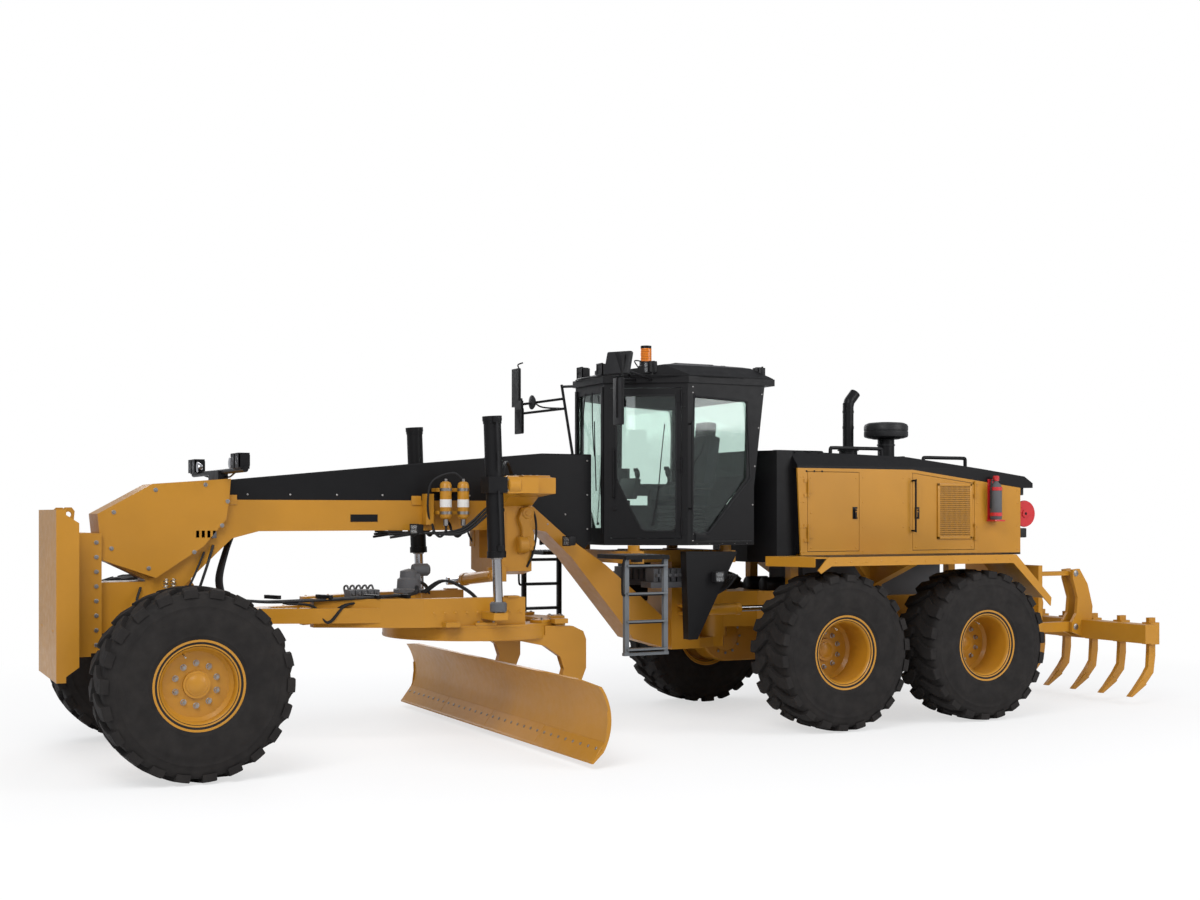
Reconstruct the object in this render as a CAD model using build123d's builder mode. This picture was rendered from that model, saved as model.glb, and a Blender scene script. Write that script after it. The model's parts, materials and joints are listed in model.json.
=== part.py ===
from build123d import *
import os
from math import atan2, cos, degrees, hypot, pi, radians, sin

os.makedirs("parts", exist_ok=True)

# Articulated six-wheel motor grader, millimetres.
# +X forward, +Y left, +Z up; the origin is on the ground under the middle of the machine.

# Stations along the machine
X_TANDEM = -2320.0          # middle of the tandem wheels
WHEELBASE = 7365.0          # mid tandem to front axle
TANDEM_PITCH = 1841.0       # between the two wheels of a tandem
HITCH_AHEAD = 1530.0        # articulation axis ahead of mid tandem
CIRCLE_BACK = 3065.0        # centre of the circle behind the front axle
BALL_BACK = 415.0           # drawbar ball behind the front axle
BALL_Z = 1250.0
BALL_R = 70.0
X_AXLE = X_TANDEM + WHEELBASE
X_HITCH = X_TANDEM + HITCH_AHEAD
X_CIRCLE = X_AXLE - CIRCLE_BACK
X_BALL = X_AXLE - BALL_BACK
FIT = 0.3                   # running clearance between turning faces

# Wheels
TRACK = 2703.0
TYRE_R = 805.0
TYRE_W = 597.0
LUG_H = 38.0
LUGS = 18
LUG_PHASE = 0.0
RIM_FLANGE_R = 381.0
RIM_SEAT_R = 318.0
RIM_W = 528.0
RIM_T = 16.0
HUB_R = 190.0
NUT_CIRCLE_R = 176.0
NUT_R = 21.0
NUTS = 10
WHEEL_Z = TYRE_R
WHEEL_Y = TRACK / 2

# Rear frame
RAIL_Y = 400.0              # middle of each rail from the centre line
RAIL_W = 120.0
RAIL_Z0 = 985.0
RAIL_Z1 = 1290.0
RAIL_REAR = 2560.0          # rear end behind mid tandem
HITCH_R = 170.0
HITCH_PIN_R = 70.0
HITCH_Z0 = 885.0
HITCH_Z1 = 1475.0
TONGUE_T = 140.0
TANDEM_AXIS_Z = 880.0
TANDEM_IN = 690.0           # inner face of the chain case
TANDEM_OUT = 985.0
CASE_R = 285.0
FENDER_TOP = 1770.0
FENDER_T = 14.0
FENDER_IN = 1025.0
FENDER_OUT = 1660.0

# Hood
HOOD_HALF = 750.0
HOOD_T = 22.0
HOOD_FRONT = 915.0          # ahead of mid tandem
HOOD_REAR = -2180.0
HOOD_Z0 = 1740.0
HOOD_SHOULDER = 2693.0      # top of the yellow sides at the front
HOOD_SHOULDER_REAR = 2505.0
HOOD_CROWN = 2880.0
DOOR_Z0 = 1800.0
DOOR_GAP = 6.0
HINGE_Z = (2000.0, 2480.0)   # heights of the hood hinges
CAB_HINGE_Z = (2080.0, 2700.0, 3380.0)
DOOR_HINGE = 65.0           # hinge axis from the corner of the B pillar
PIN_R = 5.0
DOOR_FRONT_X = (789.0, 107.0)
DOOR_REAR_X = (-616.0, -1502.0)

# Cab
CAB_HALF = 800.0
CAB_Z0 = 1885.0
CAB_FLOOR_T = 60.0
CAB_ROOF_Z = 3540.0
CAB_T = 45.0
CAB_REAR = -35.0            # rear wall from the hitch axis
CAB_B = 760.0               # B pillar from the hitch axis
CAB_NOSE = 1475.0           # windshield from the hitch axis
CAB_NOSE_HALF = 330.0
GLASS_T = 8.0

# Front frame
FRAME_HALF = 178.0
FRAME_Z0 = 2045.0
FRAME_Z1 = 2335.0
NOSE_HALF = 250.0

# Front axle
AXLE_Z = 1000.0             # oscillation axis
AXLE_HALF_X = 95.0
LEAN_Y = 750.0
LEAN_Z = 780.0
KING_Y = 1060.0
KING_R = 45.0
ARM_X = -120.0              # steering arm's ball stud behind the kingpin
STUD_R = 27.0
TIE_R = 25.0
TIE_X = ARM_X - STUD_R - FIT - TIE_R     # tie rod behind the steering arm studs
TIE_Z = 735.0
LEAN_BAR_Z = 1085.0

# Drawbar, circle and blade
DRAW_Z0 = 1140.0
DRAW_Z1 = 1410.0
CIRCLE_R = 911.0
CIRCLE_IN = 740.0
CIRCLE_Z0 = 1005.0
CIRCLE_Z1 = 1125.0
CIRCLE_ARM_Y = 790.0
BLADE_L = 4880.0
TIP_X = -410.0              # tip pivot from the circle centre
TIP_Z = 300.0

# Blade lift cylinders
LIFT_Y = 1050.0
LIFT_TOP = (250.0, 3116.0)      # from the circle centre, height
LIFT_BALL = (186.0, 1346.0)
LIFT_TRUNNION_Z = 2476.0
LIFT_BARREL_R = 82.0
LIFT_ROD_R = 45.0

# Centre shift cylinder, (x from the circle centre, y, z)
SHIFT_A = (-60.0, 370.0, 1600.0)
SHIFT_B = (-60.0, -800.0, 1500.0)

# Ripper
RIPPER_PIVOT_X = -2680.0    # from mid tandem
RIPPER_LINK = 570.0
RIPPER_LOW_Z = 850.0
RIPPER_TOP_Z = 1490.0
RIP_CYL_Y = 180.0
SHANK_PITCH = 445.0
SHANKS = 7


def side(y):
    """Upright plane across the machine's width: x forward, y up."""
    return Plane(origin=(0, y, 0), x_dir=(1, 0, 0), z_dir=(0, -1, 0))


def cross(x):
    """Upright plane across the machine's length: x left, y up."""
    return Plane(origin=(x, 0, 0), x_dir=(0, 1, 0), z_dir=(1, 0, 0))


def rod(a, b, r):
    """Round bar from point a to point b in the part being built."""
    start, end = Vector(*a), Vector(*b)
    with BuildSketch(Plane(origin=start, z_dir=end - start)) as face:
        Circle(r)
    extrude(face.sketch, amount=(end - start).length)


def bore(a, b, r):
    """Round hole from point a to point b in the part being built."""
    start, end = Vector(*a), Vector(*b)
    with BuildSketch(Plane(origin=start, z_dir=end - start)) as face:
        Circle(r)
    extrude(face.sketch, amount=(end - start).length, mode=Mode.SUBTRACT)


def plate(points, y0, y1, mode=Mode.ADD):
    """Side profile of (x, z) corners between two heights across the width."""
    with BuildSketch(side((y0 + y1) / 2)) as face:
        with BuildLine():
            Polyline(*points, close=True)
        make_face()
    extrude(face.sketch, amount=abs(y1 - y0) / 2, both=True, mode=mode)


def slab(points, z0, z1, mode=Mode.ADD):
    """Plan profile of (x, y) corners between two heights."""
    with BuildSketch(Plane.XY.offset(z0)) as face:
        with BuildLine():
            Polyline(*points, close=True)
        make_face()
    extrude(face.sketch, amount=z1 - z0, mode=mode)


def block(x0, x1, y0, y1, z0, z1, mode=Mode.ADD):
    """Square block between two corners."""
    with BuildSketch(Plane.XY.offset(z0)) as face:
        with Locations(((x0 + x1) / 2, (y0 + y1) / 2)):
            Rectangle(abs(x1 - x0), abs(y1 - y0))
    extrude(face.sketch, amount=z1 - z0, mode=mode)


def save(part, label):
    part.label = label
    export_step(part, f"parts/{label}.step")


T = X_TANDEM
H = X_HITCH
A = X_AXLE
K = X_CIRCLE

# wheels
with BuildPart() as tread_lug:
    with BuildSketch(Plane(origin=(TYRE_R - 75, 0, 0), x_dir=(0, 1, 0), z_dir=(1, 0, 0))):
        with BuildLine():
            Polyline((-10, -88), (70, -100), (150, -40), (TYRE_W / 2 - 14, -30), (TYRE_W / 2 - 14, 78),
                     (120, 62), (40, -8), (-10, -8), close=True)
        make_face()
    extrude(amount=75 - TYRE_R + (TYRE_R ** 2 - 92 ** 2) ** 0.5, taper=4)

with BuildPart() as tyre_form:
    with BuildSketch(Plane.XY):
        with BuildLine():
            base = TYRE_R - LUG_H
            bead = RIM_W / 2 - 24
            edge = TYRE_W / 2
            half_section = [(RIM_SEAT_R, bead - FIT), (RIM_FLANGE_R + 2, bead + 5),
                            (RIM_FLANGE_R + 7, edge - 24), (470, edge - 3), (600, edge), (700, edge - 16),
                            (base - 6, edge - 52)]
            Polyline(*half_section, (base, 0), *[(r, -w) for r, w in half_section[::-1]], close=True)
        make_face()
    revolve(axis=Axis.Y)
    lugs = []
    for half in range(2):
        for i in range(LUGS):
            turn = LUG_PHASE + (i + 0.5 * half) * 360 / LUGS
            lugs.append(tread_lug.part.rotate(Axis.X, 180 * half).rotate(Axis.Y, turn))
    add(lugs)

rim_forms = {}
for kind, disc, depth in (("rear", -118.0, 60.0), ("front", 128.0, 235.0)):
    with BuildPart() as rim_form:
        with BuildSketch(Plane.XY):
            with BuildLine():
                w = RIM_W / 2
                seat = RIM_SEAT_R - FIT
                well = RIM_SEAT_R - RIM_T
                Polyline((seat, w - 24), (RIM_FLANGE_R, w - 18), (RIM_FLANGE_R, w),
                         (RIM_FLANGE_R - 22, w), (RIM_FLANGE_R - 29, w - 6), (seat + 12, w - 7),
                         (well + 8, w - 28), (well, w - 48), (well, disc + 30), (well - 30, disc),
                         (60, disc), (60, disc - 24), (well, disc - 24), (well, 48 - w),
                         (well + 8, 28 - w), (seat + 12, 7 - w), (RIM_FLANGE_R - 22, -w),
                         (RIM_FLANGE_R, -w), (RIM_FLANGE_R, 18 - w), (seat, 24 - w), close=True)
            make_face()
        revolve(axis=Axis.Y)
        with BuildSketch(Plane(origin=(0, disc - depth, 0), x_dir=(1, 0, 0), z_dir=(0, 1, 0))):
            Circle(HUB_R)
        extrude(amount=depth - 20)
        with BuildSketch(Plane(origin=(0, disc - 30, 0), x_dir=(1, 0, 0), z_dir=(0, 1, 0))):
            Circle(118)
        extrude(amount=58, taper=6)
        with BuildSketch(Plane(origin=(0, disc - 2, 0), x_dir=(1, 0, 0), z_dir=(0, 1, 0))):
            with PolarLocations(NUT_CIRCLE_R, NUTS, start_angle=18):
                RegularPolygon(NUT_R, 6)
        extrude(amount=28)
    rim_forms[kind] = rim_form.part

WHEELS = [("rear_left", T - TANDEM_PITCH / 2, 1), ("mid_left", T + TANDEM_PITCH / 2, 1),
          ("front_left", A, 1), ("rear_right", T - TANDEM_PITCH / 2, -1),
          ("mid_right", T + TANDEM_PITCH / 2, -1), ("front_right", A, -1)]
for name, x, hand in WHEELS:
    seat = Location((x, hand * WHEEL_Y, WHEEL_Z), (0, 0, 0 if hand > 0 else 180))
    with BuildPart() as tyre:
        with Locations(seat):
            add(tyre_form.part)
    save(tyre.part, f"tyre_{name}")
    with BuildPart() as rim:
        with Locations(seat):
            add(rim_forms["front" if name.startswith("front") else "rear"])
    save(rim.part, f"rim_{name}")

# tandems
RIM_BACK_REAR = WHEEL_Y - 118.0 - 60.0
for hand, label in ((1, "left"), (-1, "right")):
    with BuildPart() as tandem:
        with BuildSketch(side(hand * (TANDEM_IN + TANDEM_OUT) / 2)):
            with Locations((T, WHEEL_Z)):
                SlotCenterToCenter(TANDEM_PITCH, 2 * CASE_R)
        extrude(amount=(TANDEM_OUT - TANDEM_IN) / 2, both=True)
        chamfer(tandem.edges().filter_by(GeomType.CIRCLE), 18)
        for dx in (-TANDEM_PITCH / 2, TANDEM_PITCH / 2):
            rod((T + dx, hand * (TANDEM_OUT - 30), WHEEL_Z),
                (T + dx, hand * (RIM_BACK_REAR - FIT), WHEEL_Z), 205)
        rod((T, hand * (TANDEM_IN + 10), TANDEM_AXIS_Z), (T, hand * (TANDEM_IN - 28), TANDEM_AXIS_Z), 255)
        # bracket between the wheels up to the fender
        plate([(T - 95, WHEEL_Z + 230), (T + 95, WHEEL_Z + 230), (T + 95, 1500),
               (T + 300, FENDER_TOP - FENDER_T), (T - 250, FENDER_TOP - FENDER_T), (T - 95, 1560)],
               hand * 800, hand * 875)
        with BuildSketch(cross(T - 60)):
            with BuildLine():
                Polyline((hand * 860, 1420), (hand * (FENDER_OUT - 60), FENDER_TOP - 70),
                         (hand * (FENDER_OUT - 60), FENDER_TOP - FENDER_T),
                         (hand * 860, FENDER_TOP - FENDER_T), close=True)
            make_face()
        extrude(amount=120)
        block(T - 250, T + 300, hand * 800, hand * FENDER_OUT, FENDER_TOP - FENDER_T, FENDER_TOP)
        # fender: deck, rear slope and outer skirt
        deck = [(T - 1282, hand * FENDER_IN), (T - 1282, hand * FENDER_OUT),
                (T + 1171, hand * FENDER_OUT), (T + 1294, hand * 1600), (T + 1500, hand * FENDER_IN)]
        slab(deck, FENDER_TOP - FENDER_T, FENDER_TOP)
        plate([(T - 1270, FENDER_TOP), (T - 1270, FENDER_TOP - FENDER_T),
               (T - 1277, FENDER_TOP - FENDER_T), (T - 1775, 1286), (T - 1785, 1296),
               (T - 1287, FENDER_TOP)][::-1], hand * FENDER_IN, hand * FENDER_OUT)
        plate([(T - 1287, FENDER_TOP), (T - 1785, 1296), (T - 1775, 1206), (T - 1245, FENDER_TOP - 90),
               (T + 1130, FENDER_TOP - 90), (T + 1255, 1608), (T + 1294, 1640), (T + 1171, FENDER_TOP)],
               hand * (FENDER_OUT - FENDER_T), hand * FENDER_OUT)
        with BuildSketch(Plane.XY.offset(FENDER_TOP - 100)):
            with BuildLine():
                Polyline((T + 1294, hand * 1600), (T + 1500, hand * FENDER_IN),
                         (T + 1486, hand * FENDER_IN), (T + 1280, hand * 1596), close=True)
            make_face()
        extrude(amount=100)
    save(tandem.part, f"tandem_{label}")

# rear frame
with BuildPart() as rear_frame:
    for hand in (1, -1):
        block(T - RAIL_REAR, T + 905, hand * (RAIL_Y - RAIL_W / 2), hand * (RAIL_Y + RAIL_W / 2), RAIL_Z0,
              RAIL_Z1)
        rod((T, 0, TANDEM_AXIS_Z), (T, hand * (TANDEM_IN - 28 - FIT), TANDEM_AXIS_Z), 235)
        block(T - 200, T + 200, hand * 330, hand * 460, 800, RAIL_Z0 + 10)
    # tapered neck to the hitch
    slab([(T + 880, -460), (T + 1080, -225), (H, -150), (H, 150), (T + 1080, 225), (T + 880, 460)], 990,
         1370)
    with BuildSketch(Plane.XY.offset(HITCH_Z0)):
        with Locations((H, 0)):
            Circle(HITCH_R)
    extrude(amount=HITCH_Z1 - HITCH_Z0)
    bore((H, 0, HITCH_Z0 - 1), (H, 0, HITCH_Z0 + 120), HITCH_PIN_R + FIT)
    bore((H, 0, HITCH_Z1 + 1), (H, 0, HITCH_Z1 - 120), HITCH_PIN_R + FIT)
    # cross members and engine mounts
    for dx in (-2450, -1500, -700, 500):
        block(T + dx - 60, T + dx + 60, -RAIL_Y, RAIL_Y, RAIL_Z0 + 40, RAIL_Z1 - 40)
    # ears of the articulation rods
    for hand in (1, -1):
        block(T + 930, T + 1040, hand * 200, hand * 495, 1225 + FIT, 1255)
        block(T + 930, T + 1040, hand * 200, hand * 495, 1145, 1175 - FIT)
    # rear bumper and ripper carrier
    block(T - RAIL_REAR - 60, T - RAIL_REAR, -640, 640, 700, 1600)
    for hand in (1, -1):
        for z in (RIPPER_LOW_Z, RIPPER_TOP_Z):
            for y0 in (330, 470):
                plate([(T - RAIL_REAR - 50, z - 75), (T + RIPPER_PIVOT_X - 65, z - 55),
                       (T + RIPPER_PIVOT_X - 65, z + 55), (T - RAIL_REAR - 50, z + 75)], hand * y0,
                       hand * (y0 + 30))
            rod((T + RIPPER_PIVOT_X - 25, hand * 335, z), (T + RIPPER_PIVOT_X - 25, hand * 495, z), 24)
        # hood and fan support posts
        block(T - 2150, T - 2050, hand * 350, hand * 450, RAIL_Z1 - 10, HOOD_Z0 + 2)
        block(T + 700, T + 800, hand * 350, hand * 450, RAIL_Z1 - 10, HOOD_Z0 + 2)
save(rear_frame.part, "rear_frame")

with BuildPart() as engine_block:
    block(T - 1350, T + 560, -330, 330, RAIL_Z1, 1750)
    for hand in (1, -1):
        for x in (-1150, 300):
            block(T + x - 70, T + x + 70, hand * 310, hand * (RAIL_Y + 20), RAIL_Z1, RAIL_Z1 + 60)
    block(T - 1250, T + 460, -270, 270, 1740, 2330)
    rod((T - 1500, 0, 2000), (T - 1250, 0, 2000), 240)
    rod((T - 300, 390, 2200), (T + 120, 390, 2200), 120)
    block(T - 250, T + 60, 200, 400, 2120, 2260)
save(engine_block.part, "engine_block")

# hood
def shoulder(x):
    """Height of the top of the yellow sides at x from mid tandem."""
    knee = -616.0
    if x >= knee:
        return HOOD_SHOULDER
    return HOOD_SHOULDER + (HOOD_SHOULDER_REAR - HOOD_SHOULDER) * (x - knee) / (HOOD_REAR - knee)


SIDE_TOP = [(HOOD_REAR, shoulder(HOOD_REAR)), (-616.0, HOOD_SHOULDER), (HOOD_FRONT, HOOD_SHOULDER)]
with BuildPart() as hood_sides:
    outline = [(T + HOOD_REAR, HOOD_Z0),
               (T + HOOD_FRONT - 47, HOOD_Z0)] + [(T + x, z) for x, z in SIDE_TOP[::-1]]
    plate(outline, -HOOD_HALF, HOOD_HALF)
    inner = [(T + HOOD_REAR + HOOD_T, HOOD_Z0 - 20), (T + HOOD_FRONT + 50, HOOD_Z0 - 20),
             (T + HOOD_FRONT + 50, HOOD_SHOULDER + 200), (T + HOOD_REAR + HOOD_T, HOOD_SHOULDER + 200)]
    plate(inner, -HOOD_HALF + HOOD_T, HOOD_HALF - HOOD_T, mode=Mode.SUBTRACT)
    for x0, x1 in (DOOR_FRONT_X, DOOR_REAR_X):
        top = [(T + x0, shoulder(x0) - 34), (T + x1, shoulder(x1) - 34), (T + x1, DOOR_Z0),
               (T + x0, DOOR_Z0)]
        plate(top, -HOOD_HALF - 50, HOOD_HALF + 50, mode=Mode.SUBTRACT)
    # hinge pins of the doors with a leaf above and below each
    for hand in (1, -1):
        for edge, step in ((DOOR_FRONT_X[0] - DOOR_GAP, 1), (DOOR_REAR_X[1] + DOOR_GAP, -1)):
            y = hand * (HOOD_HALF + 14)
            for z in HINGE_Z:
                rod((T + edge, y, z - 61), (T + edge, y, z + 61), PIN_R)
                for z0, z1 in ((z - 95, z - 60 - FIT), (z + 60 + FIT, z + 95)):
                    rod((T + edge, y, z0), (T + edge, y, z1), 11)
                    block(T + edge + 6 * step, T + edge + 50 * step, hand * (HOOD_HALF - 2),
                          hand * (HOOD_HALF + 8), z0, z1)
    # rear radiator opening with its bars
    block(T + HOOD_REAR - 40, T + HOOD_REAR + 60, -600, 600, HOOD_Z0 + 120, 2420, mode=Mode.SUBTRACT)
    for i in range(7):
        z = HOOD_Z0 + 165 + i * 90
        block(T + HOOD_REAR, T + HOOD_REAR + HOOD_T, -605, 605, z, z + 26)
    # feet on the frame posts
    for hand in (1, -1):
        for x in (-2150, 700):
            block(T + x, T + x + 100, hand * 350, hand * (HOOD_HALF - 5), HOOD_Z0 + 2, HOOD_Z0 + 40)
save(hood_sides.part, "hood_sides")

for hand, label in ((1, "left"), (-1, "right")):
    for which, (x0, x1) in (("front", DOOR_FRONT_X), ("rear", DOOR_REAR_X)):
        with BuildPart() as door:
            g = DOOR_GAP
            leaf = [(T + x0 - g, shoulder(x0) - 34 - g), (T + x1 + g, shoulder(x1) - 34 - g),
                    (T + x1 + g, DOOR_Z0 + g), (T + x0 - g, DOOR_Z0 + g)]
            plate(leaf, hand * (HOOD_HALF - HOOD_T), hand * HOOD_HALF)
            edge = x0 - g if which == "front" else x1 + g
            step = 1 if which == "front" else -1
            # hinge barrels on the outer face beside the jamb
            for z in HINGE_Z:
                rod((T + edge, hand * (HOOD_HALF + 14), z - 60), (T + edge, hand * (HOOD_HALF + 14), z + 60), 11)
                block(T + edge - 60 * step, T + edge, hand * (HOOD_HALF - 2), hand * (HOOD_HALF + 8),
                      z - 55, z + 55)
                bore((T + edge, hand * (HOOD_HALF + 14), z - 70),
                     (T + edge, hand * (HOOD_HALF + 14), z + 70), PIN_R + FIT)
            if which == "rear":
                for i in range(9):
                    z = 2010 + i * 58
                    block(T - 1430, T - 985, hand * (HOOD_HALF - 4), hand * (HOOD_HALF + 9), z, z + 30)
            lx = x1 + g + 45 if which == "front" else x0 - g - 45
            block(T + lx - 16, T + lx + 16, hand * (HOOD_HALF - 2), hand * (HOOD_HALF + 22), 2170, 2260)
        save(door.part, f"hood_door_{label}_{which}")

with BuildPart() as hood_top:
    # sloped crown over the engine
    with BuildSketch(side(0)):
        with BuildLine():
            Polyline((T + HOOD_REAR - 20, shoulder(HOOD_REAR)), (T - 616, HOOD_SHOULDER),
                     (T + HOOD_FRONT, HOOD_SHOULDER), (T + HOOD_FRONT, HOOD_CROWN),
                     (T - 616, HOOD_CROWN - 42), (T - 1719, 2702), (T - 2242, 2637), (T - 2367, 2560),
                     (T - 2367, 2505), close=True)
        make_face()
    extrude(amount=HOOD_HALF, both=True)
    # sloped flanks beside the crown
    for hand in (1, -1):
        with BuildSketch(cross(T + HOOD_FRONT + 10)):
            with BuildLine():
                Polyline((hand * (HOOD_HALF + 1), HOOD_SHOULDER + 25),
                         (hand * (HOOD_HALF - 150), HOOD_CROWN + 5),
                         (hand * (HOOD_HALF - 150), HOOD_CROWN + 80),
                         (hand * (HOOD_HALF + 90), HOOD_CROWN + 80), close=True)
            make_face()
        extrude(amount=-3400, mode=Mode.SUBTRACT)
    # hollow underside
    with BuildSketch(side(0)):
        with BuildLine():
            Polyline((T + HOOD_REAR, 2400), (T + HOOD_FRONT - 30, 2400),
                     (T + HOOD_FRONT - 30, HOOD_CROWN - 40), (T - 616, HOOD_CROWN - 82), (T - 1719, 2655),
                     (T + HOOD_REAR, 2590), close=True)
        make_face()
    extrude(amount=HOOD_HALF - 160, both=True, mode=Mode.SUBTRACT)
    # tower behind the cab, tapered for the articulated cab
    slab([(T + HOOD_FRONT - 46, -650), (T + 1110, -650), (T + 1290, -350), (T + 1290, 350),
          (T + 1110, 650), (T + HOOD_FRONT - 46, 650)], 1690, HOOD_SHOULDER)
    slab([(T + HOOD_FRONT - 2, -650), (T + 1110, -650), (T + 1290, -350), (T + 1290, 350),
          (T + 1110, 650), (T + HOOD_FRONT - 2, 650)], HOOD_SHOULDER - 2, HOOD_CROWN)
    block(T + 850, T + HOOD_FRONT - 40, -HOOD_HALF + HOOD_T + 4, HOOD_HALF - HOOD_T - 4, HOOD_Z0 + 45,
          HOOD_SHOULDER)
    # handrails
    for hand in (1, -1):
        for x0, x1, z0, z1 in ((-335, 354, 2835, 2925), (-1525, -921, 2730, 2840)):
            rod((T + x0, hand * 560, z0 - 90), (T + x0, hand * 560, z1), 13)
            rod((T + x1, hand * 560, z0 - 50), (T + x1, hand * 560, z1), 13)
            rod((T + x0 - 6, hand * 560, z1), (T + x1 + 6, hand * 560, z1), 12)
save(hood_top.part, "hood_top")

with BuildPart() as stacks:
    # exhaust stack with a cut elbow
    rod((T - 400, -140, HOOD_CROWN - 62), (T - 400, -140, HOOD_CROWN + 60), 105)
    rod((T - 400, -140, HOOD_CROWN + 50), (T - 400, -140, 3480), 62)
    with BuildPart(mode=Mode.PRIVATE) as elbow:
        with BuildLine() as bend:
            Polyline((T - 400, -140, 3440), (T - 415, -140, 3500), (T - 500, -140, 3600))
        with BuildSketch(Plane(origin=(T - 400, -140, 3440), z_dir=(-15, 0, 60))):
            Circle(62)
        sweep(path=bend.line, transition=Transition.ROUND)
    add(elbow.part)
    # precleaner
    rod((T - 740, 120, HOOD_CROWN - 80), (T - 740, 120, 3080), 95)
    with BuildSketch(Plane(origin=(T - 740, 120, 0), x_dir=(1, 0, 0), z_dir=(0, -1, 0))):
        with BuildLine():
            Polyline((0, 3060), (150, 3060), (235, 3090), (248, 3130), (225, 3190), (120, 3230),
                     (60, 3250), (0, 3250), close=True)
        make_face()
    revolve(axis=Axis((T - 740, 120, 0), (0, 0, 1)))
    add(hood_top.part, mode=Mode.SUBTRACT)
save(stacks.part, "stacks")

# ripper
PX = T + RIPPER_PIVOT_X - 25
BX = PX - RIPPER_LINK
with BuildPart() as ripper_arms:
    for hand in (1, -1):
        rod((PX, hand * (360 + FIT), RIPPER_LOW_Z), (PX, hand * (470 - FIT), RIPPER_LOW_Z), 60)
        rod((BX, hand * (360 + FIT), RIPPER_LOW_Z), (BX, hand * (470 - FIT), RIPPER_LOW_Z), 60)
        plate([(PX, RIPPER_LOW_Z - 58), (PX, RIPPER_LOW_Z + 58), (BX, RIPPER_LOW_Z + 58),
               (BX, RIPPER_LOW_Z - 58)], hand * 370, hand * 460)
        for x in (PX, BX):
            bore((x, hand * 350, RIPPER_LOW_Z), (x, hand * 480, RIPPER_LOW_Z), 24 + FIT)
    block(PX - 330, PX - 230, -380, 380, RIPPER_LOW_Z - 45, RIPPER_LOW_Z + 45)
save(ripper_arms.part, "ripper_arms")

with BuildPart() as ripper_links:
    for hand in (1, -1):
        for x in (PX, BX):
            rod((x, hand * (360 + FIT), RIPPER_TOP_Z), (x, hand * (470 - FIT), RIPPER_TOP_Z), 46)
        plate([(PX, RIPPER_TOP_Z - 26), (PX, RIPPER_TOP_Z + 26), (BX, RIPPER_TOP_Z + 26),
               (BX, RIPPER_TOP_Z - 26)], hand * 385, hand * 445)
        for x in (PX, BX):
            bore((x, hand * 350, RIPPER_TOP_Z), (x, hand * 480, RIPPER_TOP_Z), 24 + FIT)
save(ripper_links.part, "ripper_links")

with BuildPart() as ripper_beam:
    block(BX - 290, BX - 90, -1500, 1500, 715, 930)
    for hand in (1, -1):
        for y0 in (320, 470):
            plate([(BX - 95, 735), (BX + 60, 790), (BX + 60, 910), (BX - 10, 1010), (BX - 30, 1200),
                   (BX + 50, 1430), (BX + 50, 1535), (BX - 60, 1545), (BX - 190, 1360), (BX - 270, 1090),
                   (BX - 255, 900)], hand * y0, hand * (y0 + 40))
        for z in (RIPPER_LOW_Z, RIPPER_TOP_Z):
            rod((BX, hand * 325, z), (BX, hand * 505, z), 24)
    for i in range(SHANKS):
        y = (i - (SHANKS - 1) / 2) * SHANK_PITCH
        block(BX - 420, BX - 280, y - 65, y + 65, 690, 945)
        plate([(BX - 400, 1000), (BX - 300, 1000), (BX - 300, 640), (BX - 285, 430), (BX - 210, 330),
               (BX + 0, 105), (BX - 40, 100), (BX - 250, 235), (BX - 370, 360), (BX - 400, 560)], y - 24,
               y + 24)
save(ripper_beam.part, "ripper_beam")

# cylinders from the bumper down to the arms' cross piece, u is the way the rod goes out
RIP_TOP = (T - RAIL_REAR - 116, 1555.0)
RIP_EYE = (PX - 280, RIPPER_LOW_Z + 45 + 46 + 10)
RIP_LEN = ((RIP_EYE[0] - RIP_TOP[0]) ** 2 + (RIP_EYE[1] - RIP_TOP[1]) ** 2) ** 0.5
RIP_U = ((RIP_EYE[0] - RIP_TOP[0]) / RIP_LEN, (RIP_EYE[1] - RIP_TOP[1]) / RIP_LEN)


def rip_at(run, y):
    return (RIP_TOP[0] + RIP_U[0] * run, y, RIP_TOP[1] + RIP_U[1] * run)


with BuildPart() as ripper_barrels:
    for hand in (1, -1):
        y = hand * RIP_CYL_Y
        rod(rip_at(0, y), rip_at(370, y), 58)
        block(T - RAIL_REAR - 130, T - RAIL_REAR - 60 - FIT, y - 40, y + 40, 1500, 1590)
        bore(rip_at(20, y), rip_at(400, y), 30 + FIT)
save(ripper_barrels.part, "ripper_barrels")

with BuildPart() as ripper_rods:
    for hand in (1, -1):
        y = hand * RIP_CYL_Y
        rod(rip_at(140, y), rip_at(RIP_LEN, y), 30)
        rod((RIP_EYE[0], y - 40, RIP_EYE[1]), (RIP_EYE[0], y + 40, RIP_EYE[1]), 46)
save(ripper_rods.part, "ripper_rods")

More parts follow.
